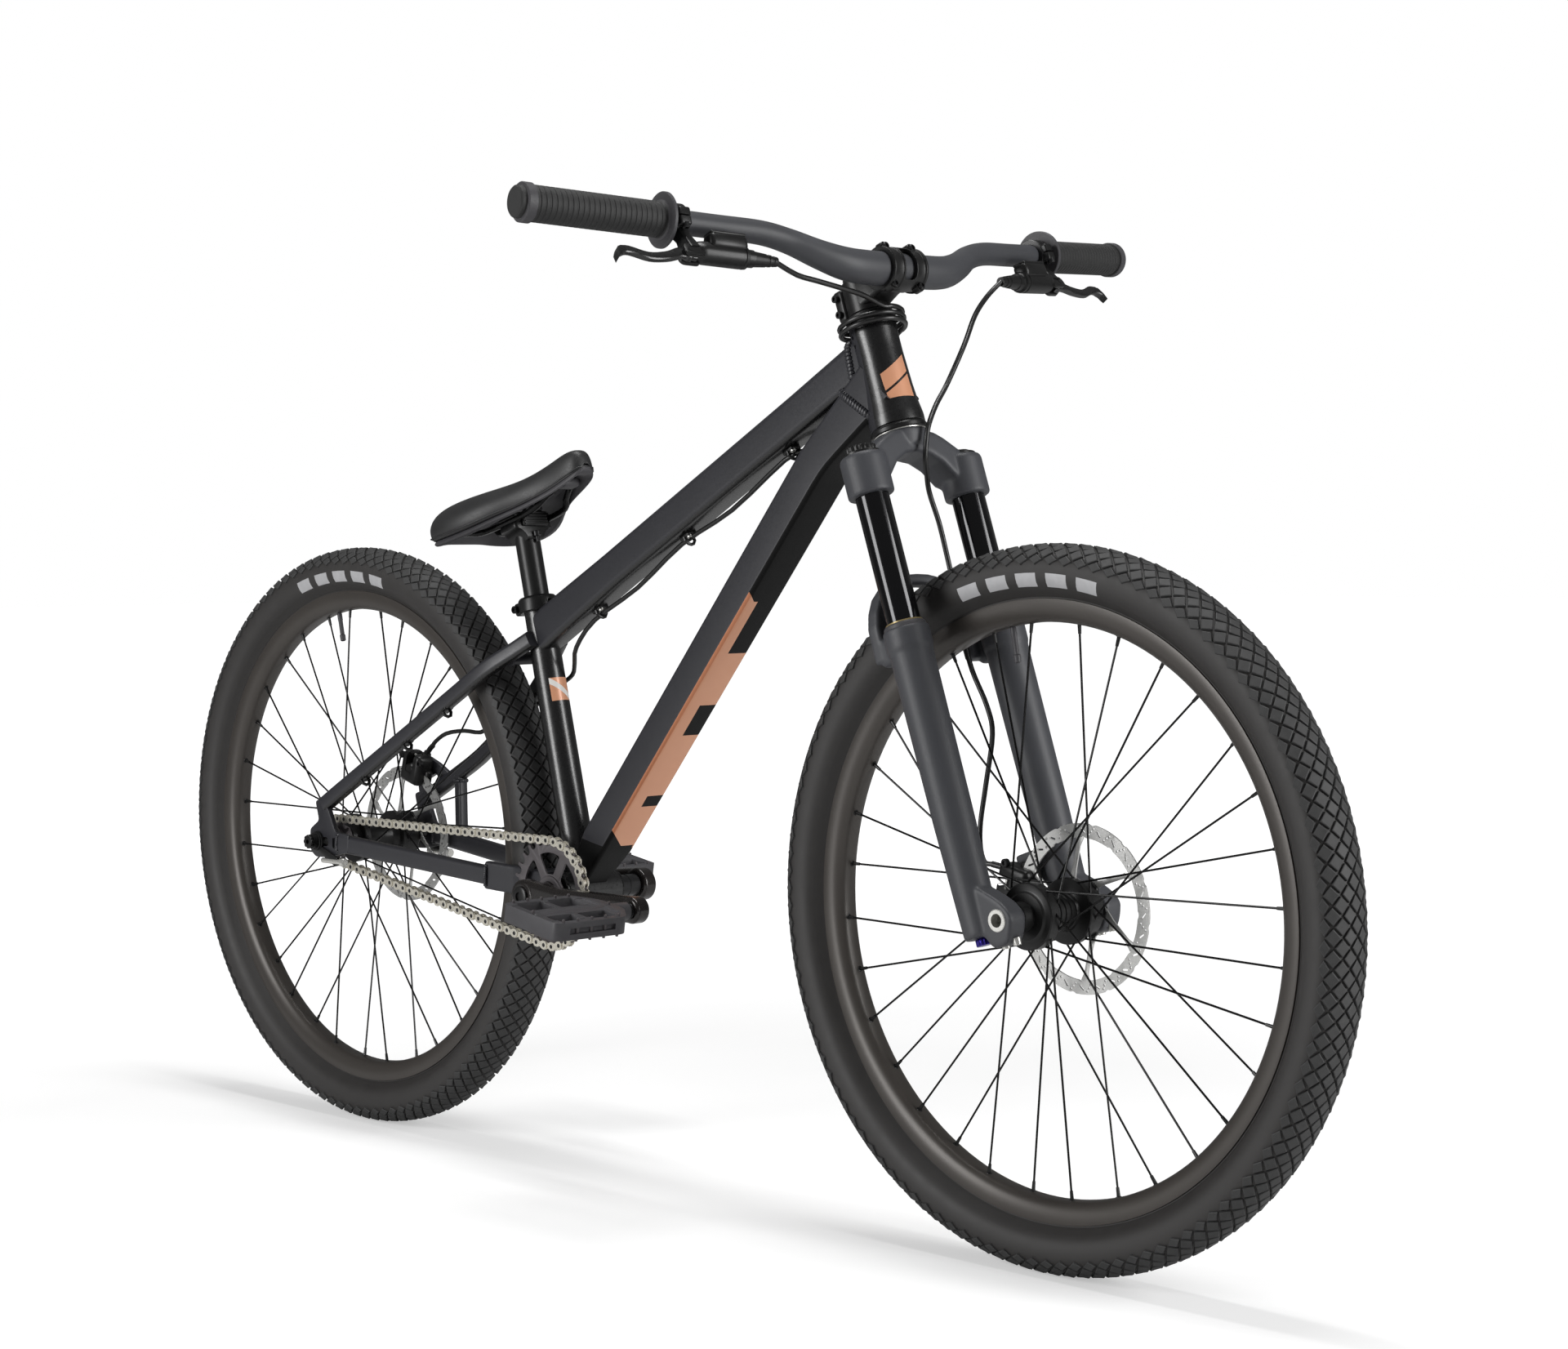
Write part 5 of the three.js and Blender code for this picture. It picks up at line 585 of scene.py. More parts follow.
rimLook = {
    "bed": [(4.5, 276.5), (9, 279.5), (13, 281.5), (13.2, 286.4), (15, 286)],
    "wall": [(15.3, 284.5), (15.1, 279), (14.6, 275.5), (13.4, 271.5), (11, 267.8), (8.5, 265.6),
             (5, 264.6)],
    "steps": 160, "spokes": 32, "spokeLean": 58, "flangeStep": 2.6,
    "rimStep": 2.5, "spokeRadius": 1.05, "nippleRadius": 1.9, "nippleLength": 11,
    "valveTurn": 101.25,
}


def rimPieces():
    bed, wall = rimLook["bed"], rimLook["wall"]
    profile = mirroredHalf(bed)[::-1] + bed + wall + mirroredHalf(wall)[::-1]
    parts = [painted(ringPiece("hoop", profile, rimLook["steps"]), "rimAnodised")]
    eyelet = ringPiece("eyelet", [(0, 1.9), (0, 3.1), (0.5, 2.9), (0.7, 2.2), (0.3, 1.9)], 12)
    for side in (-1, 1):
        seat = shifted(264.7, 0, rimLook["rimStep"] * side) @ quarterTurn("Y", -1)
        eyelets = turnedCopies(copied(eyelet, seat), 16, "eyelets",
                               -math.pi / 32 * (1 if side < 0 else 3))
        parts.append(painted(eyelets, "blackAnodised"))
    discarded(eyelet)
    turn = Matrix.Rotation(-math.radians(rimLook["valveTurn"]), 4, "Z")
    valve = turnedPiece("valve", [
        (0, 0), (0, 2.2), (2, 2.9), (9, 2.9), (10, 2.6), (26, 2.6), (27, 3.4), (33, 3.2),
        (34, 2), (34, 0)], 16)
    seat = turn @ shifted(265) @ quarterTurn("Y", -1)
    parts.append(painted(settled(valve, seat), "mouldedNylon"))
    return parts


rim = joinedAs("rim", rimPieces())
for end, place in wheelPlaces.items():
    dressed(copied(rim, place, end + "Rim"), end + "_wheel", "", end + "_rim")
discarded(rim)
print("rims ready")

# Hub shells: the front one ribbed between a big cover on the right and the rotor's seat
hubLook = {
    "front": {
        "profile": [(-55, 10.2), (-55, 13.6), (-54.4, 14.4), (-45, 14.5), (-44, 13.2),
                    (-43, 12.6), (-41, 13), (-40, 21.5), (-38.8, 23), (-38.4, 24.4),
                    (-38.4, 29.8), (-37.4, 31), (-27, 31), (-26, 30.2), (-25.6, 22), (-23.4, 18.4),
                    *[(foot + along, radius) for foot in range(-20, 9, 7) for along, radius in
                      ((0, 17.6), (0.6, 16.5), (3.4, 16.5), (4, 17.6))], (14.6, 18.6), (15.8, 22),
                    (16, 30.2), (17, 31), (23, 31), (24, 30.2), (24.4, 27.6), (25.4, 26.8),
                    (38.2, 26.8), (38.7, 26.2), (38.7, 17.4), (42, 16.8), (43, 14.6), (54.4, 14.4),
                    (55, 13.6), (55, 10.2)],
        "flanges": (-30, 20), "holeRadius": 27, "rotor": 40,
    },
    "rear": {
        "profile": [(-35.4, 8.6), (-35.4, 15), (-34.6, 16), (-29, 16.4), (-27.4, 17.6),
                    (-26, 20), (-26, 27.2), (-25.2, 28), (-18.8, 28), (-18, 27.2),
                    (-17.6, 19), (-15, 16), (-11, 15.2), (-10, 14.8), (20, 14.8), (22, 15.4),
                    (25.4, 17.4), (27.6, 20.4), (28, 27.2), (28.8, 28), (35.2, 28), (36, 27.2),
                    (36.6, 26.8), (50.2, 26.8), (50.7, 26.2), (50.7, 17.6), (53.6, 16.4),
                    (54.2, 13), (58.5, 12.4), (58.5, 8.6)],
        "flanges": (-22, 32), "holeRadius": 24, "rotor": 52,
    },
}


def spokeSet(look):
    spokes = []
    for i in range(4):
        side = 1 if i % 2 else -1
        leads = 1 if i // 2 % 2 else -1
        rimTurn = (i + 0.5) / rimLook["spokes"] * 2 * math.pi
        hubTurn = rimTurn - leads * math.radians(rimLook["spokeLean"])
        flange = look["flanges"][0 if side < 0 else 1] + leads * rimLook["flangeStep"]
        foot = Vector((*polar(look["holeRadius"], -hubTurn), flange))
        head = Vector((*polar(266.5, -rimTurn), rimLook["rimStep"] * side))
        inner = Vector((0, 0, -leads))
        pull = (head - foot).normalized()
        nippleFoot = head - pull * rimLook["nippleLength"]
        wire = tubePiece("wire", [foot + inner * 4.4, foot + inner * 1.2, foot + pull * 1.6,
                                  nippleFoot + pull], rimLook["spokeRadius"], 8)
        button = rodPiece("spokeHead", foot + inner * 3.8, foot + inner * 5, 2.1, 1.5, 10)
        nipple = rodPiece("nipple", nippleFoot, head, rimLook["nippleRadius"] * 0.8,
                          rimLook["nippleRadius"], 8)
        spokes += [painted(wire, "spokeWire"), painted(button, "spokeWire"),
                   painted(nipple, "blackAnodised")]
    return turnedCopies(joinedAs("spokeGroup", spokes), 8, "spokes")


for end, look in hubLook.items():
    shell = painted(ringPiece("shell", look["profile"]), "blackAnodised")
    hub = joinedAs(end + "HubAndSpokes", [shell, spokeSet(look)])
    dressed(settled(hub, wheelPlaces[end]), end + "_wheel", "",
            end + "_hub_and_spokes")
print("hubs and spokes ready")

# Rotors: wavy ground rings with slanted slots and groups of holes, on thin raked arms
rotorLook = {
    "track": [(-0.95, 66.2), (0.95, 66.2), (0.95, 79.6), (-0.95, 79.6)], "waves": 24,
    "slots": 24, "arms": 6, "armRake": 27, "boltRadius": 22.4,
}


def rotorTrack():
    track = ringPiece("track", rotorLook["track"], 192)
    scoop = rodPiece("scoop", (84.6, 0, -3), (84.6, 0, 3), 6.2, sides=20)
    bite = rodPiece("bite", (61.4, 0, -3), (61.4, 0, 3), 6, sides=20)
    slot = platePiece("slot", roundedLoop([(-0.9, -3.6), (0.9, -3.6), (0.9, 3.6), (-0.9, 3.6)],
                                          0.9, 3), 6)
    settled(slot, shifted(73) @ Matrix.Rotation(0.7, 4, "Z"))
    holes = [rodPiece("hole", (*polar(*spot), -3), (*polar(*spot), 3), 1.25, sides=12)
             for spot in ((70, 0.105), (73.2, 0.14), (76.2, 0.17))]
    step = 2 * math.pi / rotorLook["waves"]
    cutters = [turnedCopies(scoop, 12, "scoops", step / 2), turnedCopies(bite, 12, "bites", 0)]
    cutters += [turnedCopies(slot, rotorLook["slots"], "slots")]
    cutters += [turnedCopies(joinedAs("holes", holes), rotorLook["slots"], "holes")]
    return painted(cutBy(track, cutters), "brushedStainless")


def rotorPiece():
    parts = [rotorTrack()]
    rake = math.radians(rotorLook["armRake"])
    root, tip = Vector((26, 0)), Vector(polar(67.5, rake))
    side = Vector((-(tip - root).y, (tip - root).x)).normalized()
    half = [(0, -4), (0.3, -2.3), (0.8, -2.2), (1, -4.6)]
    arm = platePiece("arm", [root.lerp(tip, share) + side * out for share, out
                             in half + [(x, -y) for x, y in reversed(half)]], 1.6, bevel=0.2)
    parts.append(painted(turnedCopies(arm, rotorLook["arms"], "arms"), "brushedStainless"))
    lobes = []
    for i in range(rotorLook["arms"]):
        turn = 2 * math.pi * i / rotorLook["arms"]
        lobes += [polar(radius, turn + offset) for offset, radius in (
            (-0.3, 24.8), (-0.16, 28.6), (0, 29.6), (0.16, 28.6), (0.3, 24.8))]
    spider = platePiece("spider", lobes, 3.2)
    cutBy(spider, [rodPiece("eye", (0, 0, -5), (0, 0, 5), 17.2, sides=48)])
    parts.append(painted(softened(spider, 0.4), "blackAnodised"))
    bolt = turnedPiece("bolt", [(0, 0), (0, 4.2), (2.2, 4.2), (2.8, 3.6), (2.8, 2.1), (1.2, 2),
                                (1.2, 0)], 20)
    settled(bolt, shifted(rotorLook["boltRadius"], 0, 1.4))
    parts.append(painted(turnedCopies(bolt, rotorLook["arms"], "bolts"), "platedSteel"))
    return joinedAs("rotor", parts)


rotor = rotorPiece()
for end, look in hubLook.items():
    place = wheelPlaces[end] @ shifted(0, 0, look["rotor"])
    dressed(copied(rotor, place, end + "Rotor"), end + "_wheel", "",
            end + "_rotor")
discarded(rotor)

axleLook = {
    "front": [(-78.5, 6.3), (-78.5, 9.6), (-77.9, 10.4), (-75, 10.4), (-74.4, 9.9), (78.5, 9.9),
              (78.5, 7.4), (-70, 6.8), (-70, 6.3)],
    "rearNut": [(58.7, 5), (58.7, 10.5), (78.1, 10.5), (78.7, 9.9), (78.7, 8.3), (84.1, 8.3),
                (84.1, 5)],
    "knobLobes": 8,
}
axle = ringPiece("frontAxle", axleLook["front"], 48)
dressed(settled(axle, wheelPlaces["front"]), "lowers", "platedSteel",
        "front_axle")


def rearAxlePiece():
    parts = [rodPiece("spindle", (0, 0, -84), (0, 0, 84), 5.2, sides=24)]
    for side in (-1, 1):
        turn = facing(side)
        nut = ringPiece("spacer", axleLook["rearNut"], 40)
        knob = platePiece("knob", [
            polar(radius, turn)
            for i in range(axleLook["knobLobes"])
            for turn, radius in ((math.pi / 4 * i - 0.2, 7.9), (math.pi / 4 * i, 8),
                                 (math.pi / 4 * i + 0.2, 7.9), (math.pi / 8 + math.pi / 4 * i, 6.8))
        ], 4.4, bevel=0.5)
        settled(knob, shifted(0, 0, 86.3))
        cutBy(knob, [rodPiece("socket", (0, 0, 85), (0, 0, 92), 3, sides=6)])
        parts += [settled(nut, turn), settled(knob, turn)]
    return joinedAs("rearAxle", parts)


dressed(settled(rearAxlePiece(), wheelPlaces["rear"]), "frame",
        "blackAnodised", "rear_axle")
print("rotors and axles ready")


# The frame: the upper tubes are satin above and lacquered below, divided along sharp edges; under the
# down tube the black is darker still, as painted shade
def coated(piece, others):  # satin powder coat, with other finishes on chosen faces
    painted(piece, "satinPowderCoat")
    for number, (finish, test) in enumerate(others, 1):
        piece.data.materials.append(made[finish])
        repaintWhere(piece, test, number)
    return piece


def scored(piece, cuts):  # new edges where planes cross the piece, in its own frame
    takeUp(piece)
    bpy.ops.object.mode_set(mode="EDIT")
    for place, normal in cuts:
        bpy.ops.mesh.select_all(action="SELECT")
        bpy.ops.mesh.bisect(plane_co=Vector(place) * mm, plane_no=normal)
    closeUp()
    return piece


weldLook = {"width": 7.5, "heightShare": 0.3, "pitchShare": 0.42, "squeeze": 0.62, "steps": 10}


def weldBeads(path, width=weldLook["width"]):  # stacked coins: (place, outward) along a joint
    reach = width / 2
    height = width * weldLook["heightShare"]
    coin = turnedPiece("coin", [(-1, 0), (-1, reach), (0.25 * height, reach * 0.94),
                                (0.75 * height, reach * 0.6), (height, 0)], weldLook["steps"])
    laid = []
    for (place, outward), (ahead, nextOutward) in zip(path, path[1:]):
        place, ahead = Vector(place), Vector(ahead)
        count = max(1, round((ahead - place).length / (width * weldLook["pitchShare"])))
        for i in range(count):
            up = Vector(outward).lerp(Vector(nextOutward), i / count).normalized()
            seat = frameAlong(place.lerp(ahead, i / count), up, ahead - place)
            laid.append(copied(coin, seat @ Matrix.Diagonal((weldLook["squeeze"], 1, 1, 1))))
    discarded(coin)
    return joinedAs("weld", laid)


def jointPath(matrix, half, across, along, tilt=0.0, steps=20, power=4.0, first=0.0, last=1.0):
    path = []  # a loop round a tube of rounded-square section, leaning by tilt
    for i in range(steps + 1):
        turn = 2 * math.pi * (first + (last - first) * i / steps)
        c, s = math.cos(turn), math.sin(turn)
        x = half * math.copysign(abs(c) ** (2 / power), c)
        y = across * math.copysign(abs(s) ** (2 / power), s)
        spot = matrix @ (Vector((x, y, along + tilt * x)) * mm)
        path.append((spot / mm, (matrix.to_3x3() @ Vector((c, s, 0))).normalized()))
    return path


headTubeLook = {
    "profile": [(483.5, 18.4), (483.5, 25.4), (484.6, 26.5), (492, 26.5), (496, 26), (506, 24.6),
                (522, 23.4), (556, 22.2), (568, 22.2), (576, 22.8), (588.6, 23), (590, 22),
                (590, 18.4)],
    "patch": (-19.5, 6), "patchFoot": 507, "patchTop": 541, "stripe": (521.5, 524), "slant": 0.67,
    "glossEdge": -3, "vents": (577, 568.5), "ventTurn": 246,
}


def headTube():
    look = headTubeLook
    (right, left), slant = look["patch"], look["slant"]
    middle = (right + left) / 2
    tube = ringPiece("headTube", look["profile"], 120)
    turn = math.radians(look["ventTurn"])
    cutBy(tube, [rodPiece("vent", (*polar(19, turn), height), (*polar(27, turn), height), 1.9,
                          sides=20) for height in look["vents"]])
    slanted = [((0, middle, height), (0, -slant, 1))
               for height in (look["patchTop"], *look["stripe"])]
    scored(tube, [((0, 0, look["patchFoot"]), (0, 0, 1)), ((look["glossEdge"], 0, 0), (1, 0, 0)),
                  ((0, right, 0), (0, 1, 0)), ((0, left, 0), (0, 1, 0)), *slanted])

    def onPatch(spot, normal):
        rise = spot.z - slant * (spot.y - middle)
        low, high = look["stripe"]
        return (spot.x > 6 and normal.x > 0.2 and right < spot.y < left
                and spot.z > look["patchFoot"] and rise < look["patchTop"]
                and not low < rise < high)

    coated(tube, [
        ("glossLacquer", lambda spot, normal: spot.x > look["glossEdge"] and abs(normal.z) < 0.9
         and normal.x > -0.3),
        ("copperFilm", onPatch)])
    return settled(tube, steerFrame)


topTubeLook = {
    "start": (-203.72, 0, 575.49), "end": (307.25, 0, 850.2),
    "stations": [(3, 42, 30), (18, 43.5, 31), (60, 41.5, 33.5), (145, 38, 36), (470, 38, 36),
                 (540, 39, 37), (578, 40, 37)],
    "edge": 8, "guides": [177, 24, -117],
}
topStart, topEnd = Vector(topTubeLook["start"]), Vector(topTubeLook["end"])
topFrame = frameAlong(topStart, topEnd - topStart, (-1, 0, 1))


def topTube():
    tube = drawnTube("topTube", topTubeLook["stations"], topTubeLook["edge"], Matrix(), 6)
    coated(tube, [("glossLacquer", lambda spot, normal: normal.x < -0.4)])
    return settled(tube, topFrame)


def hoseGuide():  # a clamp screwed under the tube; the hose runs through its loop
    clamp = blockPiece("clamp", (-21, 0, 0), (5, 13, 15), 1.6)
    loop = tubePiece("loop", [(-22, -6.2, 0), (-26, -6.4, 0), (-29.4, -3.6, 0), (-30.4, 0, 0),
                              (-29.4, 3.6, 0), (-26, 6.4, 0), (-22, 6.2, 0)], 1.7, 8)
    bolt = turnedPiece("bolt", [(0, 0), (0, 3), (1.8, 2.9), (2.4, 2.2), (2.4, 1.4), (1, 1.4),
                                (1, 0)], 16)
    settled(bolt, shifted(-22.6, 3, 4.6) @ quarterTurn("Y", -1))
    return joinedAs("hoseGuide", [painted(clamp, "blackAnodised"), painted(loop, "blackAnodised"),
                                  painted(bolt, "platedSteel")])


def hoseGuides():
    guide, placed = hoseGuide(), []
    for x in topTubeLook["guides"]:
        along = (x - topStart.x) / (topEnd.x - topStart.x) * (topEnd - topStart).length
        placed.append(copied(guide, topFrame @ shifted(0, 0, along)))
    discarded(guide)
    return joinedAs("hoseGuides", placed)


# The down tube's lower face carries a plain copper block crossed by black bars
downTubeLook = {
    "stations": [(2, 28.5, 33), (30, 33, 38), (60, 38, 44), (250, 38, 44), (560, 38, 44, 0),
                 (574, 38.2, 44, -0.5), (588, 38.8, 44, -2), (604, 40.5, 44, -4.6),
                 (640, 45, 44, -10.8), (686, 52, 44, -18.6)],
    "edge": 5, "bend": (233.6, 0, 748.1), "top": (318.3, 0, 819.1),
    "panelFoot": (90, 19, 67, -15), "panelTop": (423, 22, 413, 7.6),
    "bars": [(344, 413, 6.5), (231, 273, 3.5), (129, 144.5, 3.5)], "shadeFoot": (60, 0.58),
}


def onPanel(along, right):
    footAlong, footRight, heelAlong, heelRight = downTubeLook["panelFoot"]
    topAlong, topRight, peakAlong, peakRight = downTubeLook["panelTop"]
    foot = heelAlong + (right - heelRight) * (footAlong - heelAlong) / (footRight - heelRight)
    top = peakAlong + (right - peakRight) * (topAlong - peakAlong) / (topRight - peakRight)
    if not max(foot, heelAlong) < along < max(top, peakAlong):
        return False
    return not any(start < along < stop and right < edge
                   for start, stop, edge in downTubeLook["bars"])


def downTube():
    tube = drawnTube("downTube", downTubeLook["stations"], downTubeLook["edge"], Matrix(), 6)
    footAlong, footRight, heelAlong, heelRight = downTubeLook["panelFoot"]
    topAlong, topRight, peakAlong, peakRight = downTubeLook["panelTop"]
    cuts = [((0, 0, value), (0, 0, 1)) for bar in downTubeLook["bars"] for value in bar[:2]]
    cuts += [((0, value, 0), (0, 1, 0)) for value in (6.5, 3.5)]
    cuts += [((0, 0, value), (0, 0, 1)) for value in (heelAlong, peakAlong)]
    cuts.append(((0, footRight, footAlong), (0, heelAlong - footAlong, footRight - heelRight)))
    cuts.append(((0, topRight, topAlong), (0, peakAlong - topAlong, topRight - peakRight)))
    shadeAlong, shadeTilt = downTubeLook["shadeFoot"]
    cuts.append(((0, 0, shadeAlong), (shadeTilt, 0, 1)))
    scored(tube, cuts)
    # The underside and the foot near the bracket get near-black painted shade over their black paint
    coated(tube, [
        ("blackPaintAndPaintedShade", lambda spot, normal: normal.x < -0.3
         or spot.z + shadeTilt * spot.x < shadeAlong),
        ("copperFilm", lambda spot, normal: normal.x < -0.9 and onPanel(spot.z, spot.y)),
        ("copperEdge", lambda spot, normal: -0.9 < normal.x < -0.2 and normal.y > 0
         and onPanel(spot.z, spot.y))])
    return settled(tube, downFrame)


def headWelds():
    foot, top = Vector(downTubeLook["bend"]), Vector(downTubeLook["top"])
    lower = frameAlong(top, top - foot, (-1, 0, 1))
    welds = [weldBeads(jointPath(lower, 26.2, 22.9, -28, -0.35, 26, 5, 0.06, 0.94), 9),
             weldBeads(jointPath(topFrame, 21, 19.3, 557, 0.25, 22, 5, 0.03, 0.97), 9)]
    return painted(joinedAs("headWelds", welds), "satinPowderCoat")


seatTubeLook = {
    "profile": [(16, 13.9), (16, 17.5), (60, 17.4), (250, 16.6), (318, 16.2), (321.2, 16.2),
                (322, 15.6), (322, 13.9)],
    "patch": (205, 230), "stripe": (214, 221), "halfPatch": 12, "slant": 0.8,
}


def seatTube():
    look = seatTubeLook
    (foot, top), (low, high) = look["patch"], look["stripe"]
    half, slant = look["halfPatch"], look["slant"]
    tube = ringPiece("seatTube", look["profile"])
    scored(tube, [((0, 0, foot), (0, 0, 1)), ((0, 0, top), (0, 0, 1)),
                  ((0, -half, 0), (0, 1, 0)), ((0, half, 0), (0, 1, 0)),
                  ((0, 0, low), (0, slant, 1)), ((0, 0, high), (0, slant, 1))])

    def onPatch(spot, normal):
        return (foot < spot.z < top and abs(spot.y) < half and spot.x > 5 and normal.x > 0.2)

    coated(tube, [
        ("glossLacquer", lambda spot, normal: True), ("copperFilm", onPatch),
        ("paleFilm", lambda spot, normal: low < spot.z + slant * spot.y < high
         and onPatch(spot, normal))])
    return settled(tube, seatFrame)


def bracketShell():
    shell = ringPiece("bracketShell", [(-36.5, 17), (-36.5, 20.2), (-35.8, 21), (35.8, 21),
                                       (36.5, 20.2), (36.5, 17)])
    return painted(settled(shell, acrossFrame(layout["bracket"])), "glossLacquer")


def bracketBearing(side):
    cup = ringPiece("bearing", [
        (36.6, 10), (36.6, 20.3), (37.2, 20.8), (38.6, 20.6), (39.3, 19.8), (39.3, 15.4),
        (38.7, 15), (38.7, 12.6), (39.2, 12.2), (39.2, 10)])
    notch = blockPiece("notch", (20.6, 0, 38.4), (2.4, 3, 3.4))
    cutBy(cup, [turnedCopies(notch, 12, "notches")])
    return settled(settled(cup, facing(side)), acrossFrame(layout["bracket"]))


def between(shares, values, share):
    for i in range(len(shares) - 1):
        if share <= shares[i + 1]:
            part = (share - shares[i]) / (shares[i + 1] - shares[i])
            return values[i] + (values[i + 1] - values[i]) * part
    return values[-1]


def easedStations(length, shares, steps, outs, drops, depth, width):
    stations = []
    for i in range(steps + 1):
        share = i / steps
        near = [min(1, max(0, share + offset)) for offset in (-0.05, 0, 0.05)]
        out = sum(between(shares, outs, at) for at in near) / 3
        drop = sum(between(shares, drops, at) for at in near) / 3
        stations.append((share * length, depth, width, out, drop))
    return stations


staysLook = {
    "chainFoot": (-495, 0, 335), "chainHead": (-250.8, 0, 314), "seatFoot": (-520, 0, 378),
    "chainShares": [0, 0.5, 1], "chainOuts": [69.1, 56.4, 43.7],
    "seatShares": [0, 0.38, 0.7, 0.84, 1], "seatOuts": [69.1, 55.7, 44.4, 40.9, 17.6],
    "leftDrops": [5.5, 22, 17.6, 7.7, 0], "edge": 5,
    "braceAt": (-433, 59.6), "braceFoot": 345.4, "braceTop": 409, "braceWidth": 12,
    "clipShares": [0.2, 0.42, 0.62],
    "discTab": [(-519, 372), (-452, 403), (-482, 419), (-507, 428), (-526, 413)],
    "tabBetween": (64.4, 70.4), "tabBolts": [(-503, 408), (-471, 404)],
    "dropout": [(-16, -12), (-6, -19), (16, -18), (58, -10), (60, 10), (34, 12), (21, 38),
                (10, 50), (-4, 46), (2, 24), (-16, 13)],
}


def seatPoint(height, forward=0.0):
    return (seatFrame @ (Vector((forward, 0, height)) * mm)) / mm


def seatStay(side):
    foot, top = Vector(staysLook["seatFoot"]), seatPoint(275, 5)
    length = (top - foot).length
    drops = [drop if side > 0 else 0 for drop in staysLook["leftDrops"]]
    base = frameAlong(foot, top - foot, (0, side, 0))
    down = -1 if (base.to_3x3() @ Vector((0, 1, 0))).z > 0 else 1
    stay = drawnTube("seatStay", easedStations(
        length, staysLook["seatShares"], 16, staysLook["seatOuts"],
        [drop * down for drop in drops], 14, 18), staysLook["edge"], Matrix(), 4)
    coated(stay, [("glossLacquer", lambda spot, normal: normal.y * down > 0.5)])
    settled(stay, base)
    if side > 0:
        return joinedAs("seatStay", [stay, *stayBrace()])
    clips = []
    for share in staysLook["clipShares"]:
        out = between(staysLook["seatShares"], staysLook["seatOuts"], share)
        seat = base @ Matrix.Translation(Vector((out, 7 * down, share * length)) * mm)
        clip = tubePiece("clip", [(-4.4, -1.5 * down, 0), (-5.4, 3 * down, 0),
                                  (-3.4, 7.2 * down, 0), (0.8, 8.4 * down, 0),
                                  (4.4, 6.2 * down, 0), (5.4, 2.2 * down, 0)], 1.9, 12, seat)
        foot = blockPiece("clipFoot", (0, 0, 0), (12, 3.6, 13), 1, seat)
        clips += [painted(clip, "blackAnodised"), painted(foot, "blackAnodised")]
    return joinedAs("seatStay", [stay, *clips])


def stayBrace():  # the left stay's prop and the tab that carries the caliper
    look = staysLook
    x, y = look["braceAt"]
    foot, top, width = look["braceFoot"], look["braceTop"], look["braceWidth"]
    prop = drawnTube("prop", [(0, width, width), (top - foot, width, width)], 3,
                     Matrix.Translation(Vector((x, y, foot)) * mm), 3)
    joint = Matrix.Translation(Vector((x, y, 0)) * mm)
    welds = [weldBeads(jointPath(joint, width / 2 + 0.6, width / 2 + 0.6, height, 0, 10, 4), 4.5)
             for height in (foot + 2.5, top - 7)]
    inner, outer = look["tabBetween"]
    tab = platePiece("discTab", roundedLoop([(px, -pz) for px, pz in look["discTab"]], 6, 3),
                     outer - inner, bevel=0.8)
    cutBy(tab, [platePiece("lightening", roundedLoop(
        [(-507, -388), (-482, -400), (-486, -408), (-509, -398)], 4, 3), 20)])
    settled(tab, acrossFrame((0, (inner + outer) / 2, 0)))
    bolts = []
    for px, pz in look["tabBolts"]:
        bolt = turnedPiece("tabBolt", [(-7, 0), (-7, 3), (3, 3), (3, 4.4), (6.6, 4.4), (7.2, 3.8),
                                       (7.2, 2.4), (5.4, 2.3), (5.4, 0)], 24)
        seat = frameAlong((px, outer - 3, pz), (0, 1, 0), (1, 0, 0))
        bolts.append(painted(settled(bolt, seat), "blackOxide"))
    return [painted(part, "satinPowderCoat") for part in (prop, tab, *welds)] + bolts


def chainStay(side):
    foot, head = Vector(staysLook["chainFoot"]), Vector(staysLook["chainHead"])
    base = frameAlong(foot, head - foot, (0, side, 0))
    stay = drawnTube("chainStay", easedStations(
        (head - foot).length, staysLook["chainShares"], 10, staysLook["chainOuts"], [0, 0, 0],
        13, 21), staysLook["edge"], base, 4)
    return painted(stay, "satinPowderCoat")


def dropoutPlate(side):
    outline = roundedLoop([(x, -z) for x, z in staysLook["dropout"]], 4, 3)
    plate = platePiece("dropout", outline, 6, bevel=0.8)
    slot = platePiece("slot", roundedLoop([(-5, -5.2), (20, -5.2), (20, 5.2), (-5, 5.2)], 5, 4),
                      12)
    pocket = platePiece("pocket", roundedLoop([(28, -6), (50, -3), (50, 5), (28, 7)], 3, 3), 12)
    cutBy(plate, [slot, pocket])
    spot = Vector(layout["rearAxle"]) + Vector((0, side * 70.5, 0))
    return painted(settled(plate, acrossFrame(spot)), "satinPowderCoat")


def chainStayWithDropout(side):
    foot, head = Vector(staysLook["chainFoot"]), Vector(staysLook["chainHead"])
    base = frameAlong(foot, head - foot, (0, side, 0))
    parts = [chainStay(side), dropoutPlate(side)]
    path = jointPath(base @ shifted(68.4), 7, 10.6, 3, 0, 12, 4)
    parts.append(painted(weldBeads(path, 5), "satinPowderCoat"))
    return joinedAs("chainStayWithDropout", parts)


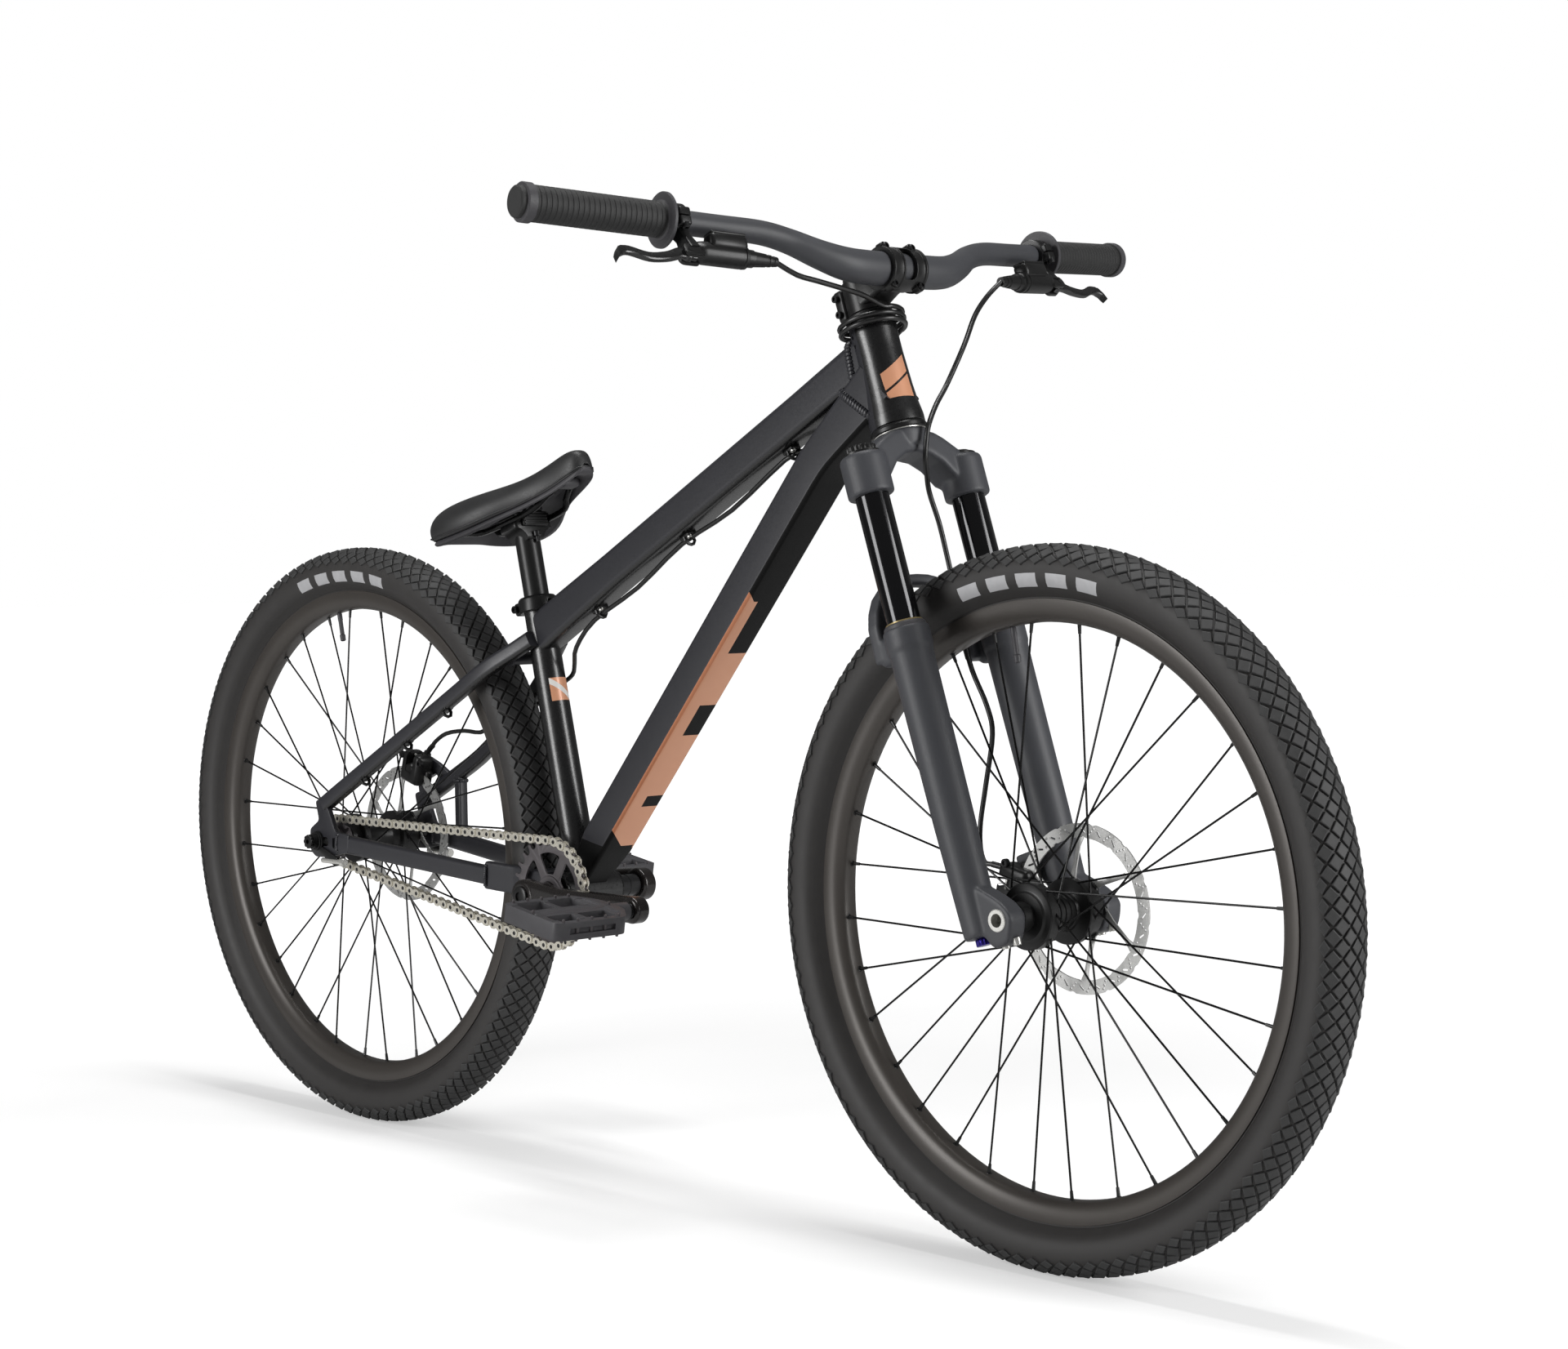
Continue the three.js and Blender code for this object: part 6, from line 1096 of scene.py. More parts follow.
def stayYoke():  # welded box behind the bracket; its parts run together
    parts = [blockPiece("bridge", (-174.3, 0, 308.5), (26, 72, 31), 4)]
    for side in (-1, 1):
        points = [(-253.3, 42.2 * side, 314), (-209.3, 37 * side, 311.3),
                  (-163.3, 35.7 * side, 308.5)]
        for start, end in zip(points, points[1:]):
            start, end = Vector(start), Vector(end)
            reach = (end - start).length
            arm = blockPiece("arm", (0, 0, reach / 2), (10, 31, reach + 5), 2.5)
            parts.append(settled(arm, frameAlong(start, end - start, (0, side, 0))))
    yoke = meltedAs("stayYoke", parts, 1.3, 5)
    welds = [painted(yoke, "satinPowderCoat")]
    for side in (-1, 1):
        base = frameAlong((-252, 42.4 * side, 314), (44, -5.2 * side, -2.7), (0, side, 0))
        welds.append(painted(weldBeads(jointPath(base, 6.8, 12.4, 0, 0, 14, 4), 5.5),
                             "satinPowderCoat"))
    return joinedAs("stayYoke", welds)


def stayBridge():
    parts = [rodPiece("bridge", (-229.9, -27, 549.8), (-229.9, 27, 549.8), 7, sides=32)]
    for side in (-1, 1):
        base = frameAlong((-229.9, 24.5 * side, 549.8), (0, side, 0), (1, 0, 0))
        parts.append(weldBeads(jointPath(base, 7.4, 7.4, 0, 0, 14, 2), 4))
    return painted(joinedAs("stayBridge", parts), "satinPowderCoat")


for make, slot, node in ((headTube, "frame_satin", "head_tube"), (topTube, "frame_satin", "top_tube"),
                         (downTube, "frame_gloss", "down_tube")):
    dressed(make(), "frame", "", node)
dressed(headWelds(), "frame")
dressed(hoseGuides(), "frame")
dressed(seatTube(), "frame", "", "seat_tube")
dressed(bracketShell(), "frame", "", "bottom_bracket_shell")
for side, hand in ((-1, "right"), (1, "left")):
    dressed(bracketBearing(side), "frame", "blackAnodised",
            "bottom_bracket_bearing_" + hand)
    dressed(seatStay(side), "frame", "", "seatstay_" + hand)
    dressed(chainStayWithDropout(side), "frame", "", "chainstay_" + hand)
dressed(stayYoke(), "frame", "", "chainstay_yoke")
dressed(stayBridge(), "frame", "", "seatstay_bridge")
print("frame ready")


# Headset, seat clamp, post and saddle
headsetLook = {
    "lower": [(477.3, 18.6), (477.3, 26.4), (478.2, 27.4), (481.4, 27.5), (482.4, 26.9),
              (483.2, 26.8), (483.2, 18.6)],
    "upper": [(590.3, 18.6), (590.3, 23.4), (591, 24), (593.6, 24), (594.2, 23.2), (595.8, 23),
              (597, 21.4), (597, 18.6)],
}
for cup in ("upper", "lower"):
    dressed(ringPiece("headset" + cup.title(), headsetLook[cup], 72, steerFrame), "frame",
            "blackAnodised", "headset_" + cup + "_cup")

seatClampLook = {"height": 313.2, "tall": 16, "bore": 16.4, "outer": 21.1, "bossReach": 24}


def seatClamp():
    look = seatClampLook
    half, bore, outer = look["tall"] / 2, look["bore"], look["outer"]
    collar = ringPiece("collar", [(-half, bore), (-half, outer - 1), (-half + 1, outer),
                                  (half - 3, outer), (half - 1.6, outer - 0.6),
                                  (half, outer - 2), (half, bore)])
    boss = blockPiece("boss", (-look["bossReach"], 0, 0), (11, 20, look["tall"] - 2), 2.5)
    cutBy(boss, [blockPiece("slit", (-look["bossReach"], 0, 0), (14, 2, 30))])
    cutBy(collar, [rodPiece("relief", (-60, 0, -0.5), (60, 0, -0.5), 3.1, sides=24)])
    bolt = turnedPiece("bolt", [(-15, 0), (-15, 3.1), (-11.6, 3.3), (-11.2, 2.4), (9.6, 2.4),
                                (10.4, 4.2), (14.4, 4.2), (15, 3.6), (15, 2), (13, 1.8), (13, 0)],
                       20)
    settled(bolt, shifted(-look["bossReach"] - 1) @ quarterTurn("X"))
    parts = [painted(collar, "blackAnodised"), painted(boss, "blackAnodised"),
             painted(bolt, "blackOxide")]
    return settled(joinedAs("seatClamp", parts), seatFrame @ shifted(0, 0, look["height"]))


dressed(seatClamp(), "frame", "", "seat_clamp")

# Seatpost and saddle share one tilted frame at the rail clamp
saddleTilt = math.radians(15.5)
saddleFrame = frameAlong(seatPoint(400), (-math.sin(saddleTilt), 0, math.cos(saddleTilt)),
                         (math.cos(saddleTilt), 0, math.sin(saddleTilt)))
seatPostLook = {
    "post": [(205, 11), (205, 13), (206, 13.6), (388, 13.6), (394, 14.4), (396, 13), (396, 11)],
}


def seatPost():
    post = ringPiece("post", seatPostLook["post"], 64, seatFrame)
    head = blockPiece("head", (0, 0, -7.5), (30, 50, 22), 4)
    scoops = [rodPiece("scoop", (-30, side * 27, -22), (30, side * 27, -22), 17, sides=40)
              for side in (-1, 1)]
    cutBy(head, scoops)
    cutBy(head, [rodPiece("seat", (-30, side * 22, 5.6), (30, side * 22, 5.6), 3.9, sides=24)
                 for side in (-1, 1)])
    settled(softened(head, 0.5, 2), saddleFrame)
    bolts = []
    for x in (-17, 17):
        bolt = turnedPiece("bolt", [(-22, 0), (-22, 2.2), (-16, 2.2), (-15.6, 4.4), (-11, 4.4),
                                    (-10.4, 3.8), (-10.4, 0)], 20)
        bolts.append(painted(settled(bolt, saddleFrame @ shifted(x)), "blackOxide"))
    parts = [painted(post, "blackAnodised"), painted(head, "blackAnodised")] + bolts
    return joinedAs("seatPost", parts)


def postClamp():  # ribbed plate that holds the rails down
    plate = blockPiece("plate", (0, 0, 8.6), (28, 50, 6), 2)
    ribs = [blockPiece("rib", (x, 0, 11.4), (2, 46, 3), 0.6) for x in (-9, -4.5, 0, 4.5, 9)]
    lips = [blockPiece("lip", (x, 0, 3.6), (4, 20, 12), 1.5) for x in (-14.6, 14.6)]
    bolts = [turnedPiece("bolt", [(9, 0), (9, 4), (13, 4), (13.8, 3.2), (13.8, 1.8), (12, 1.6),
                                  (12, 0)], 20, shifted(x)) for x in (-12, 12)]
    bolts.append(rodPiece("barrel", (17, -11, 15), (17, 11, 15), 3.8, sides=24))
    for bolt in bolts:
        painted(bolt, "blackOxide")
    front = [blockPiece("front", (17, 0, 3.4), (5, 33, 16), 1.4)]
    front += [blockPiece("rib", (19.8, 0, z), (2.4, 31, 1.7), 0.5) for z in (-2.6, 0.4, 3.4, 6.4, 9.4)]
    shell = [painted(part, "blackAnodised") for part in [plate] + ribs + lips + front]
    return settled(joinedAs("postClamp", shell + bolts), saddleFrame)


dressed(seatPost(), "seat", "", "seatpost")
dressed(postClamp(), "seat", "", "seatpost_clamp")

saddleLook = {
    "rail": [(-88, 29, 23), (-80, 28.6, 14.5), (-63, 25.5, 9.5), (-38, 22, 5), (38, 22, 5),
             (58, 15, 13.8), (70, 10.5, 19), (80, 7, 22.5), (86, 0, 22.5)],
    "railRadius": 3.5, "rear": 112, "front": 118, "halfWidth": 68, "depth": 14,
    "stations": [  # along share, half width share, top, edge, hollow
        (-1, 0.3, 31, 14, 0), (-0.975, 0.5, 34.5, 12, 0.1), (-0.93, 0.68, 38, 9, 0.4),
        (-0.84, 0.86, 43, 6, 1), (-0.66, 0.98, 46, 2, 1), (-0.42, 1, 46, 0, 1),
        (-0.16, 0.92, 44.5, 1, 1), (0.06, 0.76, 43, 5, 1), (0.26, 0.54, 43, 9, 1),
        (0.46, 0.39, 45.5, 13, 1), (0.66, 0.31, 49.5, 16.5, 1), (0.82, 0.27, 53, 20.5, 0.6),
        (0.93, 0.22, 52, 24, 0.2), (0.98, 0.15, 48.5, 27.5, 0), (1, 0.06, 42, 32, 0)],
}


def saddleRails():
    right = [(x, -y, z) for x, y, z in saddleLook["rail"]]
    left = [(x, y, z) for x, y, z in reversed(saddleLook["rail"][:-1])]
    line = smoothLine(right + left, 5)
    return tubePiece("rails", line, saddleLook["railRadius"], 12, saddleFrame)


def saddleSkin(name, section):  # a skin lofted through the saddle's stations, closed at both ends
    look = saddleLook
    ring, rows = len(section(look["stations"][0])), len(look["stations"])
    putAllDown()
    bpy.ops.mesh.primitive_cylinder_add(vertices=ring, radius=mm, depth=mm, end_fill_type="NGON")
    piece = newPiece(name)
    shape = bmesh.new()
    loops = []
    for station in look["stations"]:
        reach = look["rear"] if station[0] < 0 else look["front"]
        loops.append([shape.verts.new(Vector((station[0] * reach, y, z)) * mm)
                      for y, z in section(station)])
    for before, after in zip(loops, loops[1:]):
        for n in range(ring):
            shape.faces.new((before[n], before[(n + 1) % ring], after[(n + 1) % ring], after[n]))
    shape.faces.new(loops[0])
    shape.faces.new(list(reversed(loops[-1])))
    shape.to_mesh(piece.data)
    shape.free()
    return tidied(piece)


def cushionSection(station):
    share, width, top, edge, hollow = station
    half, depth = width * saddleLook["halfWidth"], saddleLook["depth"]
    channel = 1.6 * max(0, 1 - abs(share + 0.1) / 0.6)
    crown = [(-0.9, 0), (-0.97, 0.12), (-1, 0.3), (-0.97, 0.5), (-0.88, 0.7), (-0.74, 0.85),
             (-0.56, 0.94), (-0.34, 0.99), (-0.14, 1)]
    outer = [(y * half, edge + (top - edge) * z) for y, z in crown]
    outer += [(0, top - channel)] + [(-y, z) for y, z in reversed(outer)]
    belly = max(edge + 1.5, top - depth)
    return outer + [(half * 0.62, belly), (0, belly), (-half * 0.62, belly)]


def baseSection(station):
    share, width, top, edge, hollow = station
    half = width * saddleLook["halfWidth"]
    low = edge - 3.2
    under = max(edge - 0.5, top - saddleLook["depth"] - 2.5)
    outer = [(-half * 0.93, edge + 0.4), (-half * 0.95, edge - 1), (-half * 0.9, low),
             (-half * 0.8, low + 0.6), (-half * 0.62, low + hollow * (under - low - 3))]
    return (outer + [(0, low + hollow * (under - low - 1.5))]
            + [(-y, z) for y, z in reversed(outer)]
            + [(half * 0.6, under + 1), (0, under + 1.2), (-half * 0.6, under + 1)])


def saddleLine(inward, rise, side):  # places along the saddle's wall, from the rear to the nose
    return [(share * (saddleLook["rear"] if share < 0 else saddleLook["front"]),
             side * width * saddleLook["halfWidth"] * inward, edge + (top - edge) * rise)
            for share, width, top, edge, hollow in saddleLook["stations"][1:-1]]


def saddleCushion():
    cushion = saddleSkin("cushion", cushionSection)
    modified(cushion, "SUBSURF", levels=2, render_levels=2)
    seam = saddleLine(0.965, 0.15, 1)
    seam += [(saddleLook["front"] - 0.6, 0, 31.6)] + saddleLine(0.965, 0.15, -1)[::-1]
    seam += [(-saddleLook["rear"] + 1.2, 0, 17)]
    parts = [painted(cushion, "saddleVinyl"),
             painted(tubePiece("piping", seam, 0.9, 8, cyclic=True), "saddleVinyl")]
    return settled(joinedAs("saddleCushion", parts), saddleFrame)


def saddleBase():
    base = saddleSkin("base", baseSection)
    modified(base, "SUBSURF", levels=1, render_levels=1)
    parts = [base]
    for y in (29, -29):
        parts.append(blockPiece("railSocket", (-84, y, 25), (16, 13, 13), 3.5))
    parts.append(blockPiece("noseSocket", (82, 0, 23.5), (16, 24, 11), 4))
    return settled(painted(joinedAs("saddleBase", parts), "mouldedNylon"), saddleFrame)


dressed(saddleRails(), "seat", "spokeWire", "saddle_rails")
dressed(saddleBase(), "seat", "", "saddle_base")
cushion = dressed(saddleCushion(), "seat", "", "saddle_cushion", 60)
print("seat ready")


# Fork: one-piece crown, slim legs and cast lowers with an arch behind
forkLook = {
    "legOut": 65, "legAhead": 6, "bossFoot": 413,
    "crownHalf": 18, "crownTop": 477,
    "crownAbove": [(0, 1), (0.22, 0.995), (0.43, 0.96), (0.6, 0.88), (0.77, 0.77), (1, 0.62)],
    "crownBelow": [(1, 0.2), (0.84, 0.21), (0.68, 0.26), (0.46, 0.5), (0.24, 0.62), (0, 0.66)],
    "lowers": [(-9, 0), (-9, 15.6), (-8, 17.2), (-5, 17.6), (99.75, 19.5), (240, 20.4),
               (262, 20.6), (266, 22), (283.6, 22), (285, 20.8), (285, 16.8), (100, 16.6),
               (100, 0)],
    "seal": [(284.6, 16.3), (284.6, 20.2), (287.6, 19.8), (289, 18.6), (289.6, 16.9),
             (289.6, 16.3)],
    "archOut": [(0, 1), (0.24, 0.99), (0.46, 0.955), (0.7, 0.87), (0.9, 0.745), (1.04, 0.58),
                (1.12, 0.4), (1.13, 0)],
    "archIn": [(0.74, 0), (0.73, 0.3), (0.7, 0.46), (0.62, 0.62), (0.5, 0.75), (0.3, 0.84),
               (0.12, 0.87), (0, 0.87)],
    "archAhead": -28, "archDeep": 15, "archFoot": 262, "archTop": 348,
    "lug": [(0.2, 2.6), (0.75, 1.75), (1.22, 0.85), (1.46, 0), (1.3, -0.8), (1.1, -1.35),
            (0.62, -1.35), (0.45, -0.5), (0, -0.3), (-0.2, 0.6)],
}


def acrossSteering(place):  # Z across to the left, X forwards, Y down the steering axis
    base = steerFrame.to_3x3()
    ahead, up = base @ Vector((1, 0, 0)), base @ Vector((0, 0, 1))
    matrix = Matrix((ahead, -up, Vector((0, 1, 0)))).transposed().to_4x4()
    matrix.translation = steerFrame @ (Vector(place) * mm)
    return matrix


def legPlace(side):
    return shifted(forkLook["legAhead"], side * forkLook["legOut"])


def knurled(count, outer, inner):
    return [polar(radius, 2 * math.pi / count * (i + share)) for i in range(count)
            for share, radius in ((0, outer), (0.5, inner))]


# From a drawing in Y and Z of the steering frame, with its depth along X
stand = Matrix(((0, 0, 1, 0), (1, 0, 0, 0), (0, 1, 0, 0), (0, 0, 0, 1)))


def forkCrown():
    look = forkLook
    foot, top = look["bossFoot"], look["crownTop"]
    above = [(share * look["legOut"], foot + (top - foot) * high)
             for share, high in look["crownAbove"]]
    below = [(share * look["legOut"], foot + (top - foot) * high)
             for share, high in look["crownBelow"]]
    outline = above + below + [(-y, z) for y, z in reversed(below) if y > 0]
    outline += [(-y, z) for y, z in reversed(above) if y > 0]
    bridge = platePiece("bridge", outline, 2 * look["crownHalf"] - 2)
    settled(bridge, shifted(2) @ stand)
    softened(bridge, 4, 3, 40)
    parts = [bridge, turnedPiece("root", [(462, 0), (462, 22), (470, 24.5), (476.6, 25.6),
                                          (477, 25), (477, 0)], 64)]
    for side in (-1, 1):
        boss = turnedPiece("boss", [(foot, 0), (foot, 20.6), (foot + 1.4, 22), (449, 22),
                                    (451.8, 20.6), (453, 18), (453, 0)], 64)
        parts.append(settled(boss, legPlace(side)))
    body = painted(meltedAs("forkCrown", parts, 1.5, 5), "castForkPaint")
    race = turnedPiece("race", [(476.6, 17), (476.6, 25.4), (477.4, 25.6), (477.4, 17)], 64)
    steerer = turnedPiece("steerer", [(470, 12), (470, 14.6), (631, 14.2), (631, 12)], 48)
    parts = [body, painted(race, "platedSteel"), painted(steerer, "blackAnodised")]
    for side in (-1, 1):
        spot = legPlace(side)
        rim = turnedPiece("capRim", [(452, 0), (452, 17.4), (454.6, 17.4), (455.2, 16.6),
                                     (455.2, 0)], 48)
        parts.append(painted(settled(rim, spot), "blackAnodised"))
        if side < 0:  # knurled adjuster on the right leg
            cap = platePiece("cap", knurled(24, 15, 14.1), 6, shifted(0, 0, 457.6), 0.5)
            parts.append(painted(settled(cap, spot), "blackAnodised"))
        else:  # air valve under a cap on the left one
            cap = turnedPiece("cap", [(454, 0), (454, 13.4), (457, 13), (458, 11.4), (458, 6),
                                      (459.9, 5.6), (460, 0)], 40)
            parts.append(painted(settled(cap, spot), "blackAnodised"))
    return settled(joinedAs("forkCrown", parts), steerFrame)


def stanchion(side):
    leg = turnedPiece("stanchion", [(150, 12), (150, 15.4), (151, 16), (452, 16), (452, 12)], 72)
    return settled(leg, steerFrame @ legPlace(side))


def forkArch():
    look = forkLook
    foot, rise = look["archFoot"], look["archTop"] - look["archFoot"]
    outside = [(share * look["legOut"], foot + rise * high) for share, high in look["archOut"]]
    inside = [(share * look["legOut"], foot + rise * high) for share, high in look["archIn"]]
    half = outside + inside
    outline = half + [(-y, z) for y, z in reversed(half) if y > 1e-6]
    arch = platePiece("arch", outline, look["archDeep"])
    settled(arch, shifted(look["archAhead"]) @ stand)
    parts = [softened(arch, 3.4, 3, 40)]
    for side in (-1, 1):
        parts.append(blockPiece("web", (look["archAhead"] + 12, side * 66, foot + 8),
                                (26, 14, 26), 5))
    return parts


def axleLug(side):
    reach, rise = 38, 17.5
    outline = roundedLoop([(x * reach, -z * rise) for x, z in forkLook["lug"]], 7, 4)
    lug = platePiece("lug", outline, 22)
    settled(lug, acrossSteering((0, side * 66.3, 0)))
    bore = rodPiece("bore", (38, side * 50, 0), (38, side * 84, 0), 10.2, sides=48)
    return softened(lug, 2.6, 3, 50), bore


def forkLowers():
    look = forkLook
    parts, bores = forkArch(), []
    for side in (-1, 1):
        leg = turnedPiece("leg", look["lowers"], 72)
        parts.append(settled(leg, legPlace(side)))
        lug, bore = axleLug(side)
        parts.append(settled(lug, steerFrame.inverted()))
        bores.append(bore)
    parts.append(blockPiece("discMount", (-22, 55.3, 40), (34, 6, 62), 2.5))
    body = meltedAs("castLowers", parts, 1.7, 4)
    bores += [rodPiece("legBore", (look["legAhead"], side * look["legOut"], 49),
                       (look["legAhead"], side * look["legOut"], 110), 16.7, sides=64)
              for side in (-1, 1)]
    cutBy(body, bores)
    parts = [painted(body, "castForkPaint")]
    for side in (-1, 1):
        spot = legPlace(side)
        seal = ringPiece("seal", look["seal"], 64)
        gold = turnedPiece("wiper", [(289.4, 16.2), (289.4, 17.6), (290.6, 17.4), (290.8, 16.2),
                                     (289.4, 16.2)], 64)
        parts += [painted(settled(seal, spot), "mouldedNylon"),
                  painted(settled(gold, spot), "wiperSeal")]
        for x in (31, 45):  # pinch bolts under each lug
            bolt = turnedPiece("bolt", [(-23.6, 0), (-23.6, 1.6), (-25.4, 2), (-25.4, 3.6),
                                        (-22.4, 4), (-19, 4), (-19, 0)], 20)
            parts.append(painted(settled(bolt, shifted(x, side * 66)), "platedSteel"))
    return settled(joinedAs("forkLowers", parts), steerFrame)


def reboundKnob():
    knob = platePiece("knob", knurled(16, 8.5, 7.7), 6.6, shifted(0, 0, -12.9), 0.6)
    neck = rodPiece("neck", (0, 0, -10), (0, 0, -8.6), 5, sides=24)
    knob = joinedAs("reboundKnob", [knob, neck])
    return settled(knob, steerFrame @ legPlace(-1))


dressed(forkCrown(), "steering", "", "fork_crown")
for side, hand in ((-1, "right"), (1, "left")):
    dressed(stanchion(side), "steering", "stanchionAnodised",
            "stanchion_" + hand)
dressed(forkLowers(), "lowers", "", "fork_lowers")
dressed(reboundKnob(), "rebound", "blueAnodised", "rebound_knob")
print("fork ready")

# Brake calipers: two bolted halves round the rotor; local X looks out from the axle
caliperLook = {"body": (37, 34, 24), "foot": (20, 44, 9), "banjo": (17, 8, 5), "joinShare": 0.3}
hoseEnds = {"rear": Vector((-472, 54, 446)),
            "front": (steerFrame @ (Vector((-67, 41, 74)) * mm)) / mm}
hoseJoins = {}


def caliperBody(hoseEnd):
    look = caliperLook
    body = blockPiece("body", (0, 0, 0), look["body"], 6, segments=4)
    foot = blockPiece("foot", (-8, 0, 4), look["foot"], 3)
    cutBy(body, [blockPiece("slot", (-14, 0, 0), (42, 28, 4.6)),
                 blockPiece("window", (7, 0, 0), (24, 13, 40), 3),
                 blockPiece("groove", (19, -9, 0), (6, 7, 16), 1.5)])
    parts = [painted(body, "blackAnodised"), painted(foot, "blackAnodised")]
    for side in (-1, 1):
        bulge = turnedPiece("bulge", [(4, 0), (4, 12), (9, 11.6), (11.4, 10), (12, 8), (11.4, 7.6),
                                      (11.4, 0)], 40)
        turn = facing(side)
        parts.append(painted(settled(bulge, turn @ shifted(-6)),
                             "blackAnodised"))
    for y in (-17.5, 17.5):
        bolt = turnedPiece("bolt", [(8, 0), (8, 4.1), (12, 4.1), (12.6, 3.4), (12.6, 2.1),
                                    (11, 2), (11, 0)], 20)
        turn = Matrix.Rotation(math.pi, 4, "X")
        parts.append(painted(settled(bolt, shifted(11, y) @ turn),
                             "blackOxide"))
    pin = rodPiece("padPin", (14, -15, 0), (14, 15, 0), 1.5, sides=16)
    root = Vector(look["banjo"])
    banjo = turnedPiece("banjo", [(-4, 0), (-4, 5.6), (2.6, 5.6), (3.2, 5), (3.2, 3.4), (5.8, 3.2),
                                  (6.4, 2.6), (6.4, 0)], 32)
    settled(banjo, Matrix.Translation(root * mm) @ quarterTurn("Y"))
    tip = hoseEnd.lerp(root, look["joinShare"])
    bend = root.lerp(tip, 0.5) + Vector((2, 0, 0))
    neck = tubePiece("neck", smoothLine([root + Vector((1, 0, 0)), bend, tip], 5), 3.1, 16)
    parts += [painted(pin, "platedSteel"), painted(banjo, "blackAnodised"),
              painted(neck, "blackAnodised")]
    return joinedAs("caliper", parts)


def caliperSeat(centre, angle):  # angle of the outward direction above straight ahead
    turn = math.radians(angle)
    out = Vector((math.cos(turn), 0, math.sin(turn)))
    return frameAlong(centre, (0, 1, 0), out)


frontCentre = (steerFrame @ (Vector((-31.5, 40, 43.5)) * mm)) / mm
for end, body, seat in (
        ("rear", "frame", caliperSeat((-507.4, 52, 413.8), 74)),
        ("front", "lowers", caliperSeat(frontCentre, 148 + 90 - layout["headAngle"]))):
    hoseEnd = (seat.inverted() @ (hoseEnds[end] * mm)) / mm
    join = hoseEnd.lerp(Vector(caliperLook["banjo"]), caliperLook["joinShare"])
    hoseJoins[end] = (seat @ (join * mm)) / mm
    dressed(settled(caliperBody(hoseEnd), seat), body, "", end + "_caliper")
print("calipers ready")


# Cockpit, in the steering frame: stem, bar, grips and levers; left-hand parts are mirrored
mirrorAcross = Matrix.Diagonal((1, -1, 1, 1))
stemLook = {
    "foot": 597.8, "top": 631.8, "clampAt": (47, 0, 622.8),
    "clampHalf": 23, "clampOuter": 20.8, "clampBore": 16,
}


def barRing(name, half):  # a ring round the bar's middle
    look = stemLook
    outer, bore = look["clampOuter"], look["clampBore"]
    ribs = [(-half, outer - 1.4), (-half + 0.9, outer), (-half + 3.2, outer),
            (-half + 4.1, outer - 1.3), (-9.6, outer - 1.3), (-8.9, outer - 0.2)]
    profile = [(-half, bore), *ribs, *[(-along, radius) for along, radius in reversed(ribs)],
               (half, bore)]
    ring = ringPiece(name, profile, 72)
    return settled(ring, frameAlong(look["clampAt"], (0, 1, 0), (1, 0, 0)))


def barBore():
    clamp = Vector(stemLook["clampAt"])
    return rodPiece("barBore", (clamp.x, -40, clamp.z), (clamp.x, 40, clamp.z), 16, sides=64)


def stemBody():
    look = stemLook
    foot, top = look["foot"], look["top"]
    middle = (foot + top) / 2
    clamp = Vector(look["clampAt"])
    column = ringPiece("column", [(foot, 14.6), (foot, 18.4), (foot + 1, 19.5), (top - 1, 19.5),
                                  (top, 18.4), (top, 14.6)])
    start = Vector((6, 0, middle))
    arm = drawnTube("arm", [(0, 28, 36), (12, 27, 34), (22, 26, 33), (31, 25, 36)], 5,
                    frameAlong(start, clamp - start, (0, 0, 1)), 4)
    bore = rodPiece("bore", (0, 0, foot - 20), (0, 0, top + 20), 17, sides=48)
    cutBy(arm, [copied(bore, Matrix())])
    lug = blockPiece("lug", (-23, 0, middle), (12, 25, top - foot - 3), 3)
    cutBy(lug, [blockPiece("slit", (-26, 0, middle), (20, 1.8, 60)), bore])
    rear = barRing("rear", look["clampHalf"])
    cutBy(rear, [blockPiece("front", (clamp.x + 31, 0, clamp.z), (60, 90, 90))])
    cutBy(arm, [barBore()])
    parts = [painted(part, "blackAnodised") for part in (column, arm, lug, rear)]
    for height in (-8, 8):
        bolt = turnedPiece("bolt", [(-12.6, 0), (-12.6, 3.6), (-16.4, 3.6), (-16.8, 3), (-16.8, 1.8),
                                    (-15, 1.7), (-15, 0)], 20)
        seat = frameAlong((-24, 0, middle + height), (0, 1, 0), (1, 0, 0))
        parts.append(painted(settled(bolt, seat), "blackOxide"))
    return settled(joinedAs("stem", parts), steerFrame)


def faceplate():
    look = stemLook
    clamp = Vector(look["clampAt"])
    ring = barRing("plate", look["clampHalf"])
    cutBy(ring, [
        blockPiece("back", (clamp.x - 29, 0, clamp.z), (60, 90, 90)),
        blockPiece("window", (clamp.x + 19, 0, clamp.z), (24, 15, 31), 4)])
    softened(ring, 0.5, 2, 50)
    parts = [painted(ring, "blackAnodised")]
    for y in (-17.5, 17.5):
        for rise in (-18.6, 18.6):
            ear = turnedPiece("ear", [(1.2, 0), (1.2, 5.2), (8, 5.2), (8.6, 4.6), (8.6, 0)], 28)
            head = turnedPiece("head", [(8.4, 0), (8.4, 3.7), (11, 3.7), (11.6, 3), (11.6, 1.9),
                                        (10, 1.8), (10, 0)], 20)
            seat = frameAlong((clamp.x, y, clamp.z + rise), (1, 0, 0), (0, 0, 1))
            for part, finish in ((ear, "blackAnodised"), (head, "blackOxide")):
                parts.append(painted(cutBy(settled(part, seat), [barBore()]), finish))
    return settled(joinedAs("faceplate", parts), steerFrame)


